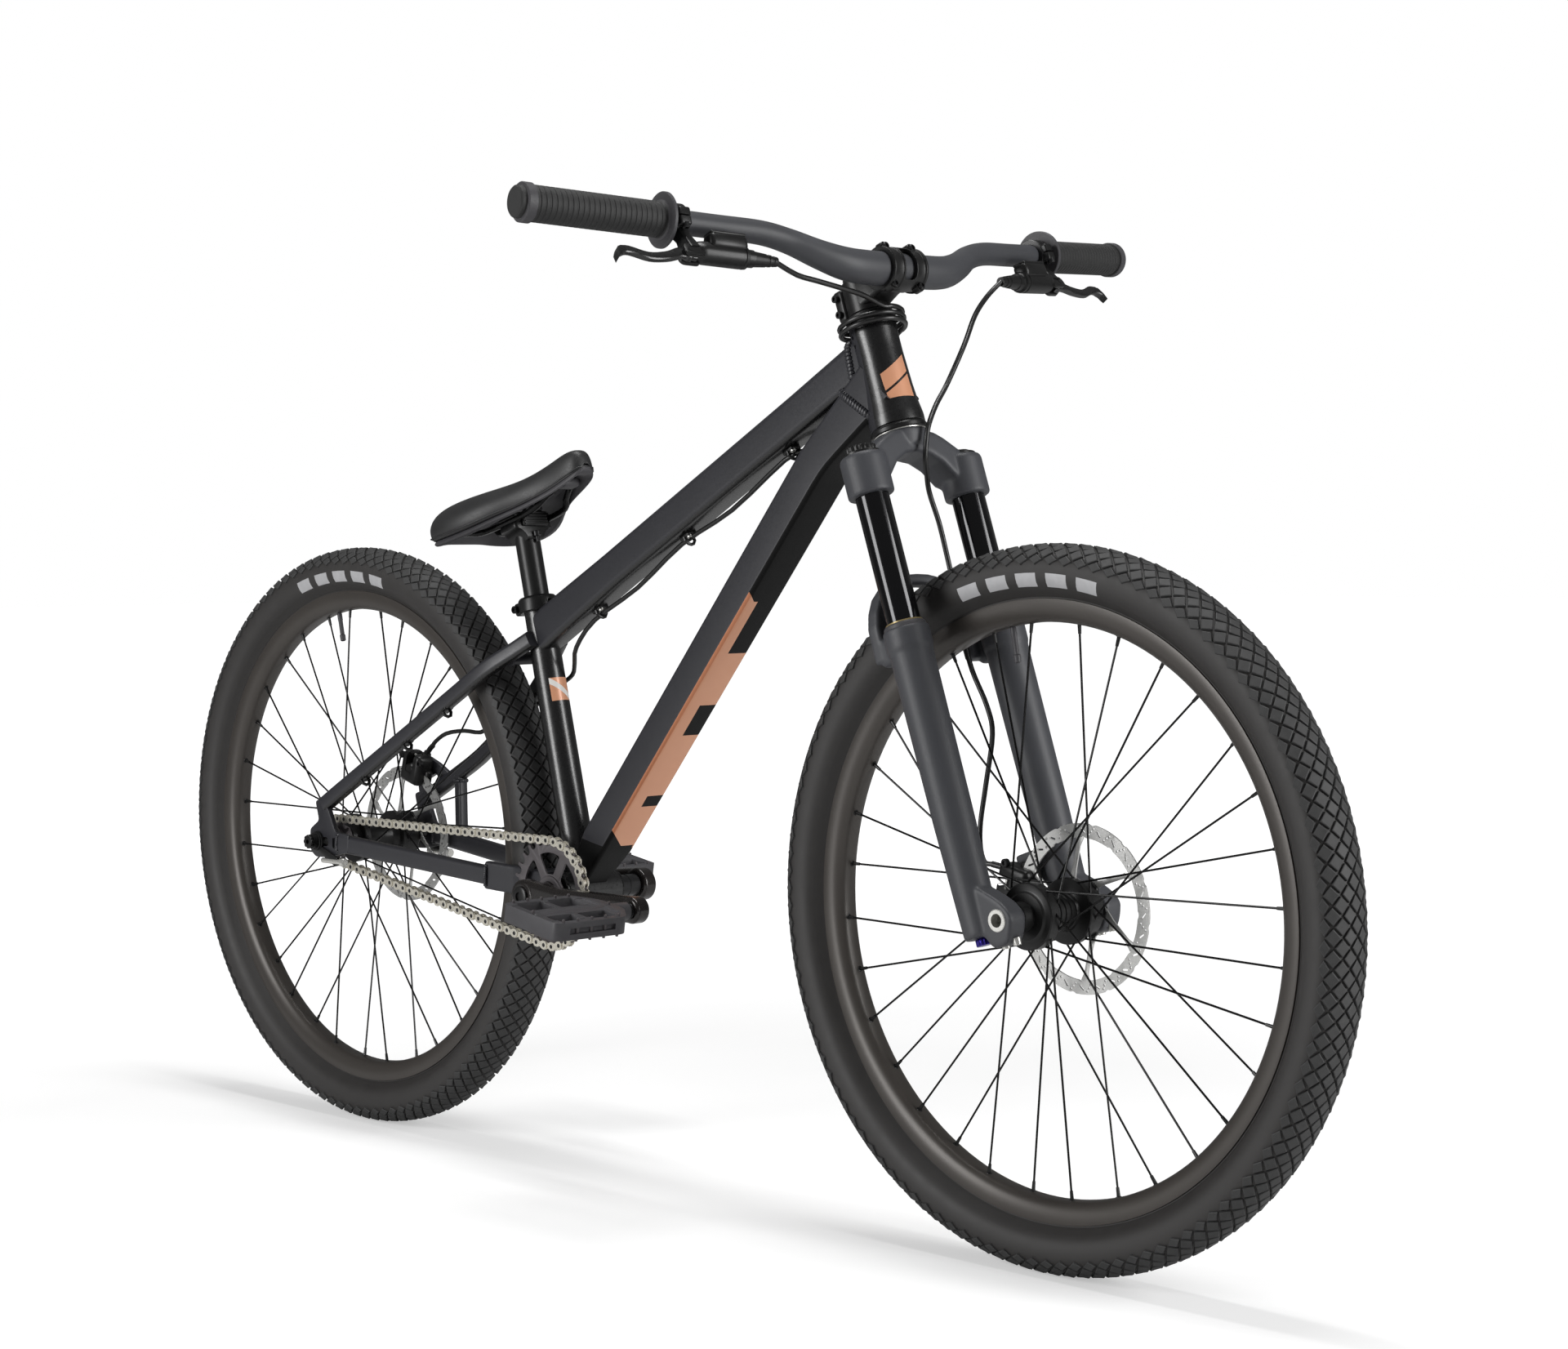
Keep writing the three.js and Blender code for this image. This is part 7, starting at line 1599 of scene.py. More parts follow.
def stemCap():
    cap = turnedPiece("cap", [(632.1, 0), (632.1, 17), (635.4, 17), (636.8, 15.6), (637.1, 14),
                              (636.9, 7), (634.4, 6), (634.4, 0)], 56)
    bolt = turnedPiece("capBolt", [(634.5, 0), (634.5, 4.6), (636.2, 4.4), (636.8, 3.6),
                                   (636.8, 2.2), (635, 2.1), (635, 0)], 24)
    return settled(joinedAs("stemCap", [painted(cap, "blackAnodised"),
                                        painted(bolt, "platedSteel")]), steerFrame)


barLook = {
    "stations": [(0, 0, 15.9), (0.28, 0, 15.9), (0.45, 0.08, 15.2), (0.62, 0.36, 13.3),
                 (0.8, 0.76, 11.6), (1, 1, 11.1)],
    "out": 150, "back": 17.5, "rise": 34, "tip": (-6, 398.5, 682.8), "barEnd": 388,
}


def barAt(across):  # the left half's centre line outside the bend
    clamp, look = Vector(stemLook["clampAt"]), barLook
    bend = clamp + Vector((-look["back"], look["out"], look["rise"]))
    tip = Vector(look["tip"])
    return bend + (tip - bend) * (across - bend.y) / (tip.y - bend.y)


def handlebar():
    look, clamp = barLook, Vector(stemLook["clampAt"])
    half = [(*(clamp + Vector((-look["back"] * rise, look["out"] * out, look["rise"] * rise))),
             radius) for out, rise, radius in look["stations"]]
    half += [(*barAt(across), 11.1) for across in (200, 300, look["barEnd"])]
    mirrored = [(x, -y, z, radius) for x, y, z, radius in reversed(half[1:])]
    places = smoothLine([row[:3] for row in mirrored + half], 6)
    radii = [point.x for point in smoothLine([(row[3], 0, 0) for row in mirrored + half], 6)]
    return tubePiece("handlebar", places, radii, 32, steerFrame)


gripLook = {"start": 249.5, "ribs": 24, "ribFrom": 7, "ribTo": 134}


def grip():
    start, tip = barAt(gripLook["start"]), Vector(barLook["tip"])
    length = (tip - start).length
    profile = [(0, 11.4), (0, 24.2), (0.8, 25), (3.2, 25), (4, 24.2), (4.4, 18), (5.6, 16.4)]
    pitch = (gripLook["ribTo"] - gripLook["ribFrom"]) / gripLook["ribs"]
    for i in range(gripLook["ribs"]):
        foot = gripLook["ribFrom"] + i * pitch
        profile += [(foot, 15.5), (foot + 0.6, 16), (foot + pitch - 1.5, 16),
                    (foot + pitch - 0.9, 15.5)]
    profile += [(length - 15.4, 15.4), (length - 15, 16.8), (length - 14.4, 17.5),
                (length - 6.6, 17.5), (length - 6, 17), (length - 5.8, 14.6),
                (length - 5.4, 14.2), (length - 1.4, 14), (length, 12.6), (length, 0)]
    piece = turnedPiece("grip", profile, 64)
    painted(piece, "gripRubber").data.materials.append(made["mouldedNylon"])
    repaintWhere(piece, lambda spot, normal: spot.z < 5.8 or length - 15.2 < spot.z < length - 5.6,
                 1)
    return settled(piece, frameAlong(start, tip - start, (1, 0, 0)))


leverLook = {
    "clampAt": 240, "pivotAt": 246, "innerAt": 183.6, "ahead": 12, "drop": 34,
    "pivotAhead": 14, "pivotDrop": 38,
    "barrel": [(-34, 0), (-34, 4.4), (-30, 4.9), (-29.4, 4.4), (-27.6, 4.6), (-27, 5.4),
               (-24.6, 5.6), (-24, 5), (-22.2, 5.2), (-21.6, 6), (-8, 7.2), (-7.4, 8), (-1, 8.2),
               (0, 9), (0.6, 10.2), (3.4, 10.5), (4, 9.7), (5.6, 9.7), (6.2, 10.5), (45, 10.5),
               (50, 9.8), (53.2, 8), (53.2, 0)],
    "blade": [(-0.1, 0, 1), (0.1, 0, 1), (0.3, -0.5, 0.85), (0.55, -0.75, 0.75),
              (0.8, -0.35, 0.75), (0.93, -0.55, 0.8), (1, -1.2, 0.6)],
    "bladeLength": 78, "bladeHeight": 12, "bladeThickness": 7,
}


def leverPlaces():
    look = leverLook
    inner = barAt(look["innerAt"]) + Vector((look["ahead"], 0, -look["drop"]))
    pivot = barAt(look["pivotAt"]) + Vector((look["pivotAhead"], 0, -look["pivotDrop"]))
    out = (Vector(barLook["tip"]) - barAt(look["pivotAt"])).normalized()
    toward = barAt(look["pivotAt"]) - pivot
    toward = (toward - out * toward.dot(out)).normalized()
    return inner, pivot, out, toward


def leverBody():
    look = leverLook
    inner, pivot, out, toward = leverPlaces()
    bar = barAt(look["clampAt"])
    ringPlace = frameAlong(bar, out, (0, 0, 1))
    ring = ringPiece("ring", [(-6.5, 11.4), (-6.5, 15.4), (-5.7, 16.2), (5.7, 16.2),
                              (6.5, 15.4), (6.5, 11.4)], 48)
    hinge = blockPiece("hinge", (-3, 17, 0), (17, 8, 12), 2)
    cutBy(hinge, [blockPiece("slit", (-3, 20, 0), (1.6, 18, 20))])
    bolt = turnedPiece("bolt", [(-9.5, 0), (-9.5, 3.4), (-14, 3.4), (-14.6, 2.8), (-14.6, 1.7),
                                (-13, 1.6), (-13, 0)], 20, shifted(0, 18.4) @ quarterTurn("Y"))
    for part in (ring, hinge, bolt):
        settled(part, ringPlace)
    neckEnd = bar + Vector((look["ahead"], 0, -look["drop"]))
    neckFoot = bar + (neckEnd - bar).normalized() * 13
    neck = drawnTube("neck", [(0, 13, 16), (8, 11, 13), (24, 14, 18)], 3,
                     frameAlong(neckFoot, neckEnd - neckFoot, (0, 1, 0)), 4)
    barrelPlace = frameAlong(inner, out, (0, 0, 1))
    barrel = turnedPiece("barrel", look["barrel"], 48, barrelPlace)
    tank = blockPiece("tank", (10.2, 4, 21), (15, 16, 40), 4.5)
    lid = blockPiece("lid", (17.2, 4, 21), (2.6, 14.4, 37), 1.2)
    screws = [rodPiece("screw", (17, 4, z), (18.9, 4, z), 1.9, sides=20) for z in (6.5, 35.5)]
    for part in [tank, lid] + screws:
        settled(part, barrelPlace)
    earPlace = frameAlong(pivot, out, toward)
    # The ear's long way runs along the barrel, its thickness along the pin
    lay = Matrix(((1, 0, 0, 0), (0, 0, 1, 0), (0, 1, 0, 0), (0, 0, 0, 1)))
    ears = []
    for lift in (-5.7, 5.7):
        ear = platePiece("ear", roundedLoop([(-6.4, -15), (6.4, -15), (6.4, 6.4), (-6.4, 6.4)],
                                            6, 5), 3.6, bevel=0.6)
        ears.append(settled(settled(ear, lay), earPlace @ shifted(0, lift)))
    pin = rodPiece("pin", (0, -7.8, 0), (0, 7.8, 0), 2.9, sides=24, matrix=earPlace)
    black = [painted(part, "blackAnodised")
             for part in [ring, hinge, neck, barrel, tank, lid] + ears]
    bright = [painted(part, "blackOxide") for part in [bolt, pin] + screws]
    return joinedAs("leverBody", black + bright)


def leverBlade():
    look = leverLook
    inner, pivot, out, toward = leverPlaces()
    length, tall, thick = look["bladeLength"], look["bladeHeight"], look["bladeThickness"]
    stations = [(row.x * length, row.z * tall, thick * (0.86 if row.x < 0.9 else 1.0),
                 row.y * tall, 0) for row in smoothLine(look["blade"], 4)]
    blade = drawnTube("blade", stations, 2.2, Matrix(), 3)
    eye = ringPiece("eye", [(-3.5, 3.1), (-3.5, 6), (-3, 6.5), (3, 6.5), (3.5, 6), (3.5, 3.1)],
                    32, quarterTurn("X"))
    cutBy(blade, [rodPiece("bore", (0, -9, 0), (0, 9, 0), 4, sides=32)])
    return settled(joinedAs("leverBlade", [blade, eye]), frameAlong(pivot, out, toward))


for make, node in ((stemBody, "stem"), (faceplate, "stem_faceplate"), (stemCap, "stem_top_cap")):
    dressed(make(), "steering", "", node)
dressed(handlebar(), "steering", "matteBarPaint", "handlebar")
for model, body, slot, finish, node in (
        (grip(), "steering", "grip_rubber", "", "grip_"),
        (leverBody(), "steering", "black_alloy", "", "brake_lever_body_"),
        (leverBlade(), "lever_", "black_alloy", "glossLacquer", "brake_lever_blade_")):
    for hand, flip in (("left", Matrix()), ("right", mirrorAcross)):
        rider = body + hand if body.endswith("_") else body
        dressed(copied(model, steerFrame @ flip, node.replace("_", "") + hand.title()), rider,
                finish, node + hand)
    discarded(model)
print("cockpit ready")


# Drive: the chain's path is solved for a whole number of links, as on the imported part
driveLook = {
    "bigTeeth": 28, "smallTeeth": 12, "links": 82, "pitch": 12.7, "chainLine": 47,
    "rollerRadius": 3.7, "toothHeight": 4, "plateHeight": 10.2, "plateThickness": 1.05,
    "innerHalf": 1.95, "ringWidth": 9, "hubRadius": 21, "windows": 6, "spokeWidth": 11,
}
bracketAt, rearAt = Vector(layout["bracket"]), Vector(layout["rearAxle"])
driveSpan = (rearAt - bracketAt).length
driveHeading = math.atan2(rearAt.z - bracketAt.z, rearAt.x - bracketAt.x)


def beltFor(pitch):
    big = pitch / (2 * math.sin(math.pi / driveLook["bigTeeth"]))
    small = pitch / (2 * math.sin(math.pi / driveLook["smallTeeth"]))
    tangent = math.acos((big - small) / driveSpan)
    straight = math.sqrt(driveSpan ** 2 - (big - small) ** 2)
    bigArc, smallArc = big * (2 * math.pi - 2 * tangent), small * 2 * tangent
    return {"big": big, "small": small, "tangent": tangent, "straight": straight,
            "bigArc": bigArc, "smallArc": smallArc, "length": bigArc + smallArc + 2 * straight}


def solvedBelt():
    low, high = driveLook["pitch"] * 0.9, driveLook["pitch"] * 1.1
    for _ in range(60):
        pitch = (low + high) / 2
        if beltFor(pitch)["length"] > driveLook["links"] * pitch:
            low = pitch
        else:
            high = pitch
    return pitch, beltFor(pitch)


linkPitch, belt = solvedBelt()
bigStart, smallStart = driveHeading + belt["tangent"], driveHeading - belt["tangent"]


def onCircle(centre, radius, turn):
    return centre + Vector((math.cos(turn), 0, math.sin(turn))) * radius


def beltAt(distance):
    along = distance % belt["length"]
    if along < belt["bigArc"]:
        return onCircle(bracketAt, belt["big"], bigStart + along / belt["big"])
    along -= belt["bigArc"]
    if along < belt["straight"]:
        return onCircle(bracketAt, belt["big"], smallStart).lerp(
            onCircle(rearAt, belt["small"], smallStart), along / belt["straight"])
    along -= belt["straight"]
    if along < belt["smallArc"]:
        return onCircle(rearAt, belt["small"], smallStart + along / belt["small"])
    along -= belt["smallArc"]
    return onCircle(rearAt, belt["small"], bigStart).lerp(
        onCircle(bracketAt, belt["big"], bigStart), along / belt["straight"])


def linkPlates(offset):  # two waisted plates; offset is from the chain's middle
    half, waist = driveLook["plateHeight"] / 2, driveLook["plateHeight"] * 0.27
    reach = linkPitch / 2
    right = [(reach + half * math.cos(turn), half * math.sin(turn))
             for turn in (math.radians(angle) for angle in (-115, -65, -22, 22, 65, 115))]
    left = [(-x, -y) for x, y in right]
    outline = right + [(0, waist)] + left + [(0, -waist)]
    thick = driveLook["plateThickness"]
    return [platePiece("plate", outline, thick * 0.94, shifted(0, 0, side * (offset + thick / 2)))
            for side in (-1, 1)]


def chainPiece():
    look = driveLook
    inner = joinedAs("innerLink", linkPlates(look["innerHalf"]))
    outer = joinedAs("outerLink", linkPlates(look["innerHalf"] + look["plateThickness"]))
    roller = turnedPiece("roller", [(-1.9, 0), (-1.9, look["rollerRadius"]),
                                    (1.9, look["rollerRadius"]), (1.9, 0)], 12)
    pinReach = look["innerHalf"] + 2 * look["plateThickness"] + 0.25
    pin = turnedPiece("pin", [(-pinReach, 0), (-pinReach, 1.9), (-pinReach + 0.3, 2.4),
                              (pinReach - 0.3, 2.4), (pinReach, 1.9), (pinReach, 0)], 8)
    for model in (inner, outer, roller):
        painted(model, "nickelChain")
    painted(pin, "blackOxide")
    laid = []
    for i in range(look["links"]):
        here, there = beltAt(i * linkPitch), beltAt((i + 1) * linkPitch)
        for point in (here, there):
            point.y = -look["chainLine"]
        middle = frameAlong(here.lerp(there, 0.5), (0, 1, 0), there - here)
        laid.append(copied(outer if i % 2 else inner, middle))
        seat = frameAlong(here, (0, 1, 0), there - here)
        laid += [copied(roller, seat), copied(pin, seat)]
    for model in (inner, outer, roller, pin):
        discarded(model)
    return joinedAs("chain", laid)


def toothedOutline(teeth, radius, firstTurn):
    seatRadius, outline = driveLook["rollerRadius"] + 0.6, []
    for i in range(teeth):
        turn = firstTurn + i / teeth * 2 * math.pi
        seat = polar(radius, turn)
        for bend in (-68, -34, 0, 34, 68):
            heading = polar(seatRadius, turn + math.pi - math.radians(bend))
            outline.append((seat[0] + heading[0], seat[1] + heading[1]))
        for share, rise in ((0.38, 0.8), (0.45, 1), (0.55, 1), (0.62, 0.8)):
            outline.append(polar(radius + driveLook["toothHeight"] * rise,
                                 turn + share / teeth * 2 * math.pi))
    return [(x, -y) for x, y in outline]  # the frame across the bike has its Y downwards


def sprocket():
    look = driveLook
    plate = platePiece("sprocket", toothedOutline(look["bigTeeth"], belt["big"], bigStart), 2.4)
    inner = belt["big"] - look["rollerRadius"] - look["ringWidth"]
    hub, count = look["hubRadius"], look["windows"]
    windows = []
    for i in range(count):
        middle = (i + 0.5) / count * 2 * math.pi
        corners = []
        for radius, share in ((hub, -1), (inner, -1), (inner, -0.5), (inner, 0), (inner, 0.5),
                              (inner, 1), (hub, 1), (hub, 0)):
            turn = middle + share * (math.pi / count - look["spokeWidth"] / 2 / radius)
            corners.append(polar(radius, -turn))
        windows.append(platePiece("window", roundedLoop(corners, 3.5, 3), 8))
    cutBy(plate, [joinedAs("windows", windows), rodPiece("bore", (0, 0, -6), (0, 0, 6), 13.4,
                                                        sides=48)])
    softened(plate, 0.35, 2, 40)
    ring = ringPiece("collar", [(-3.6, 13.4), (-3.6, 18), (-2.8, 19), (-1, 19.4), (2.2, 19.4),
                                (2.2, 13.4)], 48)
    place = acrossFrame(bracketAt) @ shifted(0, 0, -look["chainLine"])
    return settled(joinedAs("sprocket", [plate, ring]), place)


def rearCog():
    look = driveLook
    wrapStart = belt["bigArc"] + belt["straight"]
    first = math.ceil(wrapStart / linkPitch) * linkPitch
    firstTurn = smallStart + (first - wrapStart) / belt["small"]
    plate = platePiece("cog", toothedOutline(look["smallTeeth"], belt["small"], firstTurn), 2.4)
    cutBy(plate, [rodPiece("bore", (0, 0, -6), (0, 0, 6), 9, sides=40)])
    settled(plate, shifted(0, 0, -look["chainLine"]))
    driver = ringPiece("driver", [(-58.5, 9), (-58.5, 14.4), (-57.6, 15.3), (-50, 15.5),
                                  (-49.4, 16.2), (-48.2, 16.2), (-45.8, 16.2), (-45, 15.4),
                                  (-36, 15.5), (-36, 9)], 48)
    return settled(joinedAs("rearCog", [plate, driver]), acrossFrame(rearAt))


# Cranks: forged arms whose edges run together, with pedal axles; the right one points ahead
crankLook = {
    "length": 175, "outer": 88, "inner": 70, "rootRadius": 18, "waist": 12.5, "waistShare": 0.3,
    "eyeRadius": 14, "axleEnd": 208, "voxel": 1.1,
}


def crankArm(side):
    look = crankLook
    eye = -side * look["length"]
    middle, thick = (look["outer"] + look["inner"]) / 2, look["outer"] - look["inner"]
    waist = eye * look["waistShare"]
    shape = [(0, look["rootRadius"]), (waist, look["waist"]), (eye * 0.75, look["waist"] * 1.02),
             (eye, look["eyeRadius"])]
    shape += [(x, -y) for x, y in reversed(shape)]
    parts = [softened(platePiece("link", shape, thick * 0.92), 4.5, 4, 40)]
    for x, radius in ((0, look["rootRadius"]), (eye, look["eyeRadius"])):
        knuckle = turnedPiece("knuckle", [(-thick / 2, 0), (-thick / 2, radius - 2.5),
                                          (-thick / 2 + 2.5, radius), (thick / 2 - 2.5, radius),
                                          (thick / 2, radius - 2.5), (thick / 2, 0)], 48)
        parts.append(settled(knuckle, shifted(x)))
    arm = meltedAs("arm", parts, look["voxel"], 6)
    settled(arm, shifted(0, 0, side * middle))
    innerReach = 48.4 if side < 0 else look["inner"]
    boss = ringPiece("boss", [(innerReach, 9.7), (innerReach, 12.9), (middle, 13),
                              (middle, 9.7)], 48)
    cap = turnedPiece("cap", [(87.6, 0), (87.6, 10), (88.6, 11.2), (90.2, 11), (91, 9.6),
                              (91, 5.2), (88.8, 4.8), (88.8, 0)], 40)
    axle = turnedPiece("axle", [(86, 0), (86, 8.4), (88.6, 8.4), (89.2, 7.4), (91, 7.4),
                                (91.2, 5.9), (look["axleEnd"] - 0.6, 5.9),
                                (look["axleEnd"], 5.3), (look["axleEnd"], 0)], 32)
    back = rodPiece("axleBack", (0, 0, 69.6), (0, 0, 87), 5.4, sides=24)
    turn, atEye = facing(side), shifted(eye) @ facing(side)
    parts = [painted(arm, "forgedCrank")]
    for part, place, finish in ((boss, turn, "forgedCrank"), (cap, turn, "blackAnodised"),
                                (axle, atEye, "blackOxide"), (back, atEye, "blackOxide")):
        parts.append(painted(settled(part, place), finish))
    return settled(joinedAs("crankArm", parts), acrossFrame(bracketAt))


pedalLook = {
    "length": 88, "width": 107, "thickness": 18, "inner": 110, "tilt": 9.4,
    "outline": [(-1, 0.18), (-1, 0.93), (-0.9, 1), (0.9, 1), (1, 0.93), (1, 0.18), (0.42, 0),
                (-0.42, 0)],
    "windows": [[(0.27, 0.2), (0.27, 0.53), (0.82, 0.53), (0.82, 0.24)],
                [(0.27, 0.6), (0.27, 0.9), (0.82, 0.9), (0.82, 0.6)]],
    "pinAlong": [-0.9, 0.9], "pinOut": [0.24, 0.4, 0.565, 0.73, 0.9],
}


def pedal():  # drawn flat, X ahead and Y outwards, for the left side
    look = pedalLook

    def spot(along, out):
        return along * look["length"] / 2, look["inner"] + out * look["width"]

    cage = platePiece("cage", roundedLoop([spot(*corner) for corner in look["outline"]], 7, 4),
                      look["thickness"])
    cutters = []
    for window in look["windows"]:
        for flip in (-1, 1):
            corners = [spot(along * flip, out) for along, out in window]
            cutters.append(platePiece("hole", roundedLoop(corners, 3, 3), 40))
    for flip in (-1, 1):
        cutters.append(platePiece("slot", roundedLoop(
            [spot(0.9 * flip, 0.3), spot(0.9 * flip, 0.84), spot(1.1 * flip, 0.84),
             spot(1.1 * flip, 0.3)], 2, 3), 6))
    for lift in (-10.4, 10.4):  # a shallow dish in each face
        cutters.append(blockPiece("dish", (*spot(0, 0.56), lift), (62, 92, 5), 1.5))
    softened(cutBy(cage, cutters), 0.9, 2, 45)
    barrel = turnedPiece("barrel", [(91.4, 6.3), (91.4, 8.6), (92, 9.2), (110, 9.2), (212, 9.2),
                                    (213, 8.6), (213, 0), (209, 0), (209, 6.3), (91.4, 6.3)],
                         32, quarterTurn("X", -1))
    pin = turnedPiece("pin", [(-12, 0), (-12, 1.2), (-11.6, 1.5), (-8, 1.6), (-8, 2.3), (8, 2.3),
                              (8, 1.6), (11.6, 1.5), (12, 1.2), (12, 0)], 10)
    places = [(along, out) for along in look["pinAlong"] for out in look["pinOut"]]
    pins = [copied(pin, shifted(*spot(*place))) for place in places + [(0, 0.05), (0, 0.96)]]
    discarded(pin)
    parts = [painted(cage, "mouldedNylon"), painted(barrel, "mouldedNylon"),
             painted(joinedAs("pins", pins), "phosphateSteel")]
    return settled(joinedAs("pedal", parts), Matrix.Rotation(math.radians(look["tilt"]), 4, "Y"))


def spindle():
    half = [(-80, 0), (-80, 8.8), (-79.2, 9.5), (-69, 9.5), (-69, 11.9), (-56, 11.9),
            (-55.4, 11.3), (-54.6, 11.3), (-54, 11.9), (-39.9, 11.9), (-39.9, 9.5)]
    rod = turnedPiece("spindle", half + [(-x, y) for x, y in reversed(half)], 48)
    return settled(rod, acrossFrame(bracketAt))


def chainTug(side):
    ring = ringPiece("ring", [(-1.5, 9), (-1.5, 11), (-1, 11.5), (1, 11.5), (1.5, 11),
                              (1.5, 9)], 48)
    arm = platePiece("arm", roundedLoop([(6, 8), (10, 6), (42, 17), (42, 26), (34, 26),
                                         (2, 11.4)], 3, 3), 3, bevel=0.5)
    screw = turnedPiece("screw", [(0, 0), (0, 3), (38, 3), (38.4, 5), (42.6, 5), (43.4, 4.2),
                                  (43.4, 0)], 24)
    settled(screw, shifted(11, 21.5) @ quarterTurn("Y"))
    parts = [painted(ring, "blackAnodised"), painted(arm, "blackAnodised"),
             painted(screw, "platedSteel")]
    return settled(joinedAs("chainTug", parts), acrossFrame(rearAt + Vector((0, side * 75.3, 0))))


dressed(chainPiece(), "frame", "", "chain")
dressed(sprocket(), "cranks", "phosphateSteel", "sprocket")
dressed(rearCog(), "driver", "phosphateSteel", "rear_cog")
dressed(spindle(), "cranks", "blackOxide", "crank_spindle")
pedalModel = pedal()
for side, hand in ((1, "left"), (-1, "right")):
    dressed(crankArm(side), "cranks", "", "crank_arm_" + hand)
    dressed(chainTug(side), "frame", "", "chain_tensioner_" + hand)
    place = shifted(*(bracketAt - Vector((side * crankLook["length"], 0, 0))))
    flip = Matrix() if side > 0 else mirrorAcross
    dressed(copied(pedalModel, place @ flip, "pedal" + hand.title()), hand + "_pedal",
            "", "pedal_" + hand)
discarded(pedalModel)
print("drive ready")

# Hoses: one wraps the steerer and follows the top tube, the other runs down the fork
hoseLook = {
    "radius": 2.5, "loopRadius": 31, "loopStart": -20, "loopTurns": 2.305, "loopTop": 594,
    "loopDrop": 6, "loopSteps": 24,
    "rearToLoops": [(321, -120, 914), (322, -95, 910), (323, -60, 904.5), (323, -35, 900)],
    "rearFromLoops": [
        (275, 30, 847), (252, 27, 822), (236, 25, 801), (220, 21, 782), (203, 9, 764),
        (177, 0, 752.5), (100, 0, 705), (24, 0, 671.5), (-46, 0, 627), (-117, 0, 592),
        (-150, 2, 563), (-168, 14, 545), (-184, 24, 532), (-212, 30, 520), (-262, 34, 495),
        (-310, 35, 480), (-345, 38.5, 470), (-372, 42, 461), (-410, 48, 461), (-450, 53, 456),
        (-472, 54, 446)],
    "front": [(37, 130, 608), (41.6, 100, 585), (43, 72, 553), (34, 45, 517), (32.5, 24, 496),
              (32.5, 7, 476), (28.5, 2, 461), (23, 1, 446), (13.4, 8, 434), (0, 20, 420),
              (-6.5, 30, 392), (-12, 35.5, 362), (-14.6, 37.3, 338), (-16.5, 37.6, 314),
              (-21, 39.5, 280), (-21.5, 40.5, 250), (-16, 42, 213), (-20, 44, 186),
              (-45, 46, 145), (-64, 46, 112), (-70, 44, 90), (-67, 41, 74)],
}


def hoseMouth():  # where a hose leaves the left lever's boot, in the steering frame
    inner, pivot, out, toward = leverPlaces()
    return inner - out * 33


def rearHose():
    look = hoseLook
    mouth = hoseMouth()
    loops = []
    for i in range(round(look["loopTurns"] * look["loopSteps"]) + 1):
        share = i / look["loopSteps"]
        turn = math.radians(look["loopStart"]) + share * 2 * math.pi
        loops.append((*polar(look["loopRadius"], turn), look["loopTop"] - look["loopDrop"] * share))
    first, *loops = [steerFrame @ (Vector(spot) * mm) / mm
                     for spot in [(mouth.x, -mouth.y, mouth.z)] + loops]
    points = [first, *look["rearToLoops"], *loops, *look["rearFromLoops"], hoseJoins["rear"]]
    points = [Vector(point) for point in points]
    return tubePiece("rearHose", smoothLine(points, 3), look["radius"], 10)


def frontHose():
    points = [hoseMouth()] + [Vector(point) for point in hoseLook["front"]]
    points.append((steerFrame.inverted() @ (hoseJoins["front"] * mm)) / mm)
    hose = tubePiece("frontHose", smoothLine(points, 5), hoseLook["radius"], 10)
    return settled(hose, steerFrame)


dressed(rearHose(), "frame", "hoseJacket", "rear_hose", 60)
dressed(frontHose(), "lowers", "hoseJacket", "front_hose", 60)
print("hoses ready")


# Floor, lamps and camera
studio = {
    "floorSize": 60, "floorColour": "D2D2D2", "floorGlowNearFar": (0.42, 1.0), "ambient": 0.14,
    "lamps": {
        "rightPanel": {"place": (-0.9, -3.3, 1.3), "size": (1.3, 2.4), "power": 85},
        "frontPanel": {"place": (3.3, 1.0, 1.3), "size": (1.3, 2.4), "power": 85},
        "topStrip": {"place": (0.05, 0.02, 3.4), "size": (2.6, 0.5), "power": 60},
    },
    "aim": (0.05, 0, 0.5),
}


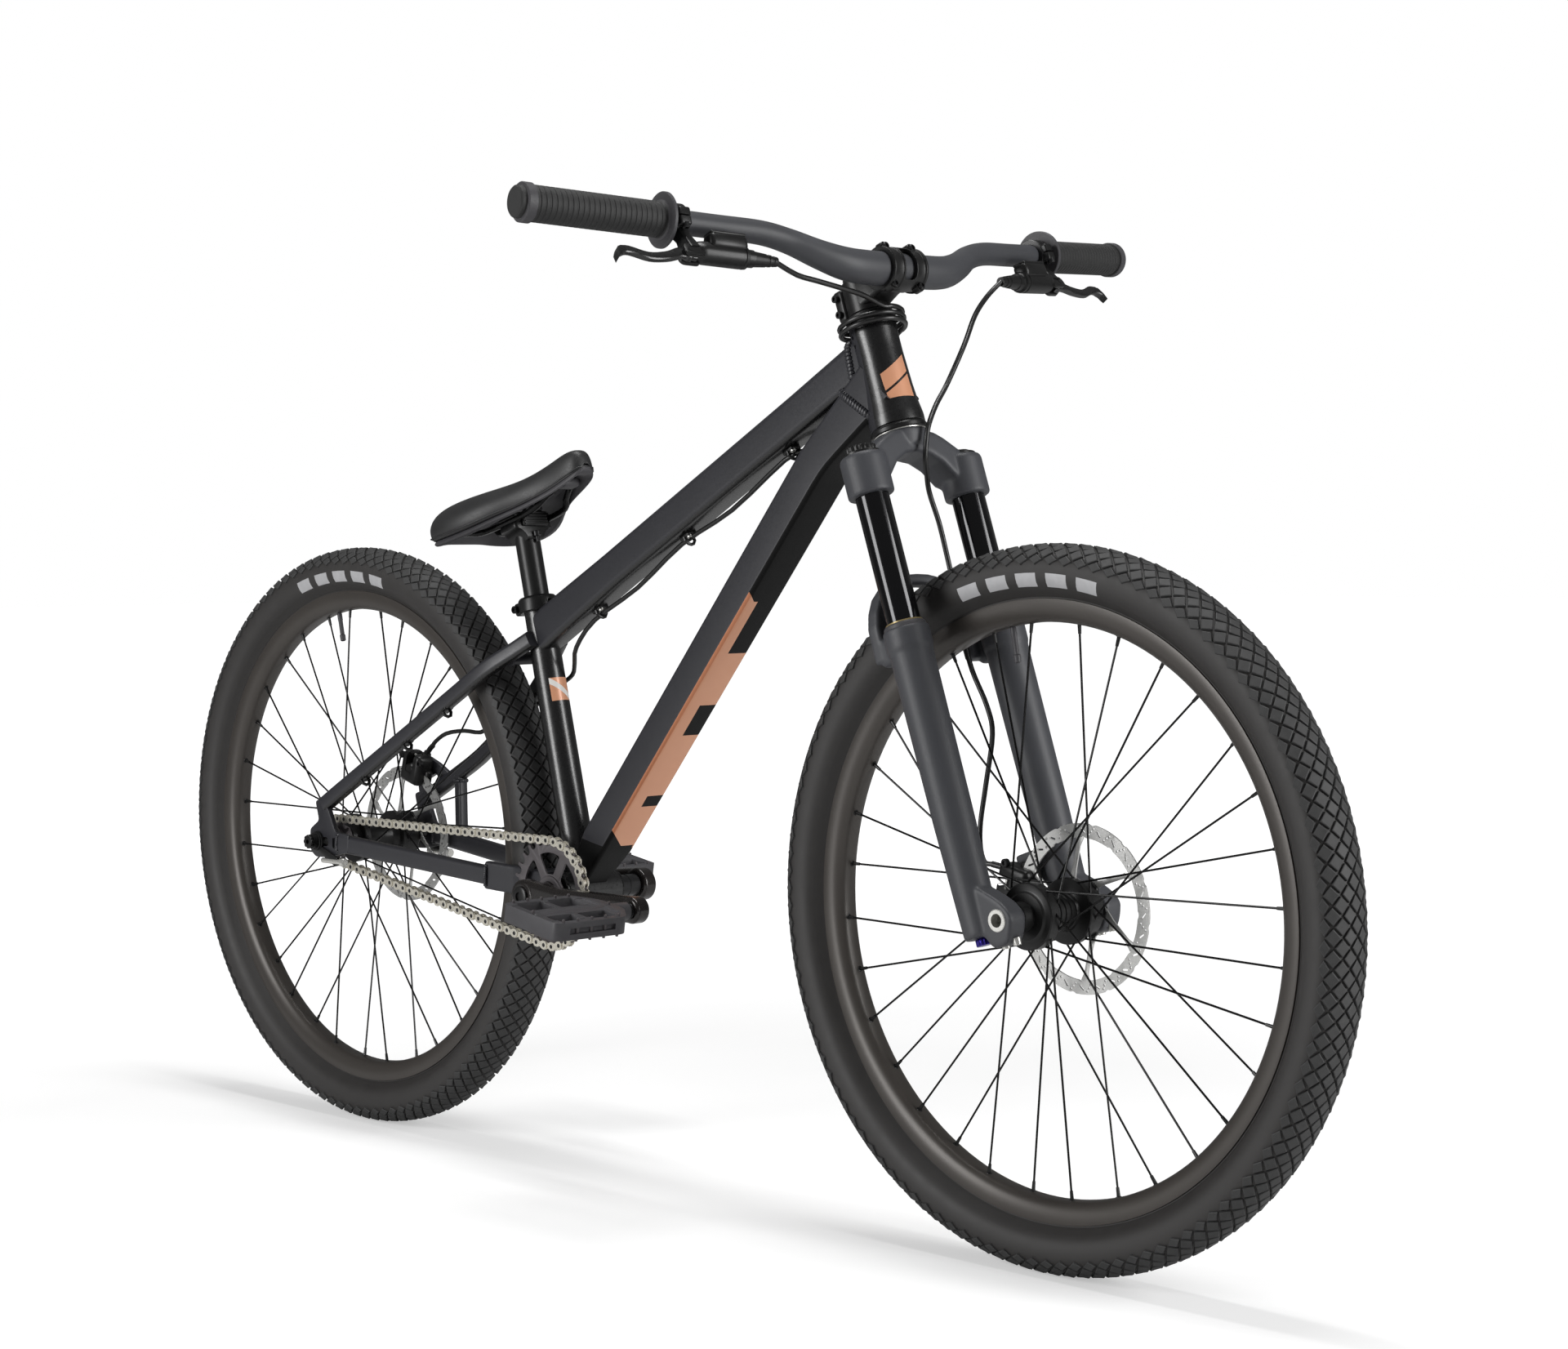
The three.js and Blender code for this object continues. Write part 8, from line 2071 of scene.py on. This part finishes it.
def studioFloor():
    putAllDown()
    bpy.ops.mesh.primitive_plane_add(size=studio["floorSize"], location=(0, 0, 0))
    floor = newPiece("studioFloor")
    material, tree, shader = newMaterial("paintedFloor")  # matte white paint, slightly mottled
    place = addNode(tree, "ShaderNodeTexCoord").outputs["Object"]
    mottle = addNode(tree, "ShaderNodeTexNoise", {"Scale": 3, "Detail": 2}, {"Vector": place})
    colour = addNode(tree, "ShaderNodeMix", {6: tone(studio["floorColour"]), 7: tone("D9D9D9")},
                     {0: mottle.outputs["Fac"]}, data_type="RGBA")
    seen = addNode(tree, "ShaderNodeLightPath").outputs["Is Camera Ray"]
    # Camera-only glow that grows with distance: painted light whitening the far floor, weaker round
    # the bike so the floor there stays darker
    distance = addNode(tree, "ShaderNodeVectorMath", links={0: place}, operation="LENGTH")
    near, far = studio["floorGlowNearFar"]
    fade = addNode(tree, "ShaderNodeMapRange", {"From Min": 0.9, "From Max": 3.2, "To Min": near,
                                                "To Max": far}, {"Value": distance.outputs["Value"]})
    lift = addNode(tree, "ShaderNodeMath", links={0: seen, 1: fade.outputs["Result"]},
                   operation="MULTIPLY")
    shader.inputs["Roughness"].default_value = 0.9
    shader.inputs["Specular IOR Level"].default_value = 0
    shader.inputs["Emission Color"].default_value = (1, 1, 1, 1)
    tree.links.new(colour.outputs[2], shader.inputs["Base Color"])
    tree.links.new(lift.outputs[0], shader.inputs["Emission Strength"])
    floor.data.materials.append(material)


def studioWorld():
    world = bpy.data.worlds.new("paleStudio")
    world.use_nodes = True
    bpy.context.scene.world = world
    tree = world.node_tree
    background = tree.nodes["Background"]
    seen = addNode(tree, "ShaderNodeLightPath").outputs["Is Camera Ray"]
    strength = addNode(tree, "ShaderNodeMapRange", {"To Min": studio["ambient"], "To Max": 1},
                       {"Value": seen})
    background.inputs["Color"].default_value = (1, 1, 1, 1)
    tree.links.new(strength.outputs["Result"], background.inputs["Strength"])


def studioLamps():
    for name, lamp in studio["lamps"].items():
        bpy.ops.object.light_add(type="AREA", location=lamp["place"])
        panel = bpy.context.object
        panel.name = name
        panel.data.shape = "RECTANGLE"
        panel.data.size, panel.data.size_y = lamp["size"]
        panel.data.energy = lamp["power"]
        sight = Vector(studio["aim"]) - Vector(lamp["place"])
        panel.rotation_euler = sight.to_track_quat("-Z", "Y").to_euler()


def photoCamera():
    view = {"turn": 45.895, "height": 7.063, "roll": -0.297, "place": (2.2916, -2.0119, 0.6665),
            "lens": 67.514, "shift": (-0.01953, 0.15198)}
    turn, height, roll = (math.radians(view[key]) for key in ("turn", "height", "roll"))
    back = Vector((math.sin(turn) * math.cos(height), -math.cos(turn) * math.cos(height),
                   math.sin(height)))
    right = Vector((math.cos(turn), math.sin(turn), 0))
    up = back.cross(right)
    levelRight, levelUp = right, up
    right = levelRight * math.cos(roll) + levelUp * math.sin(roll)
    up = levelUp * math.cos(roll) - levelRight * math.sin(roll)
    putAllDown()
    bpy.ops.object.camera_add(location=view["place"])
    camera = bpy.context.object
    camera.name = "photoCamera"
    camera.matrix_world = (Matrix.Translation(view["place"])
                           @ Matrix((right, up, back)).transposed().to_4x4())
    camera.data.sensor_width = 36
    camera.data.lens = view["lens"]
    camera.data.shift_x, camera.data.shift_y = view["shift"]
    bpy.context.scene.camera = camera


studioFloor()
studioWorld()
studioLamps()
photoCamera()
bpy.context.scene.view_settings.view_transform = "Standard"
print("studio ready")
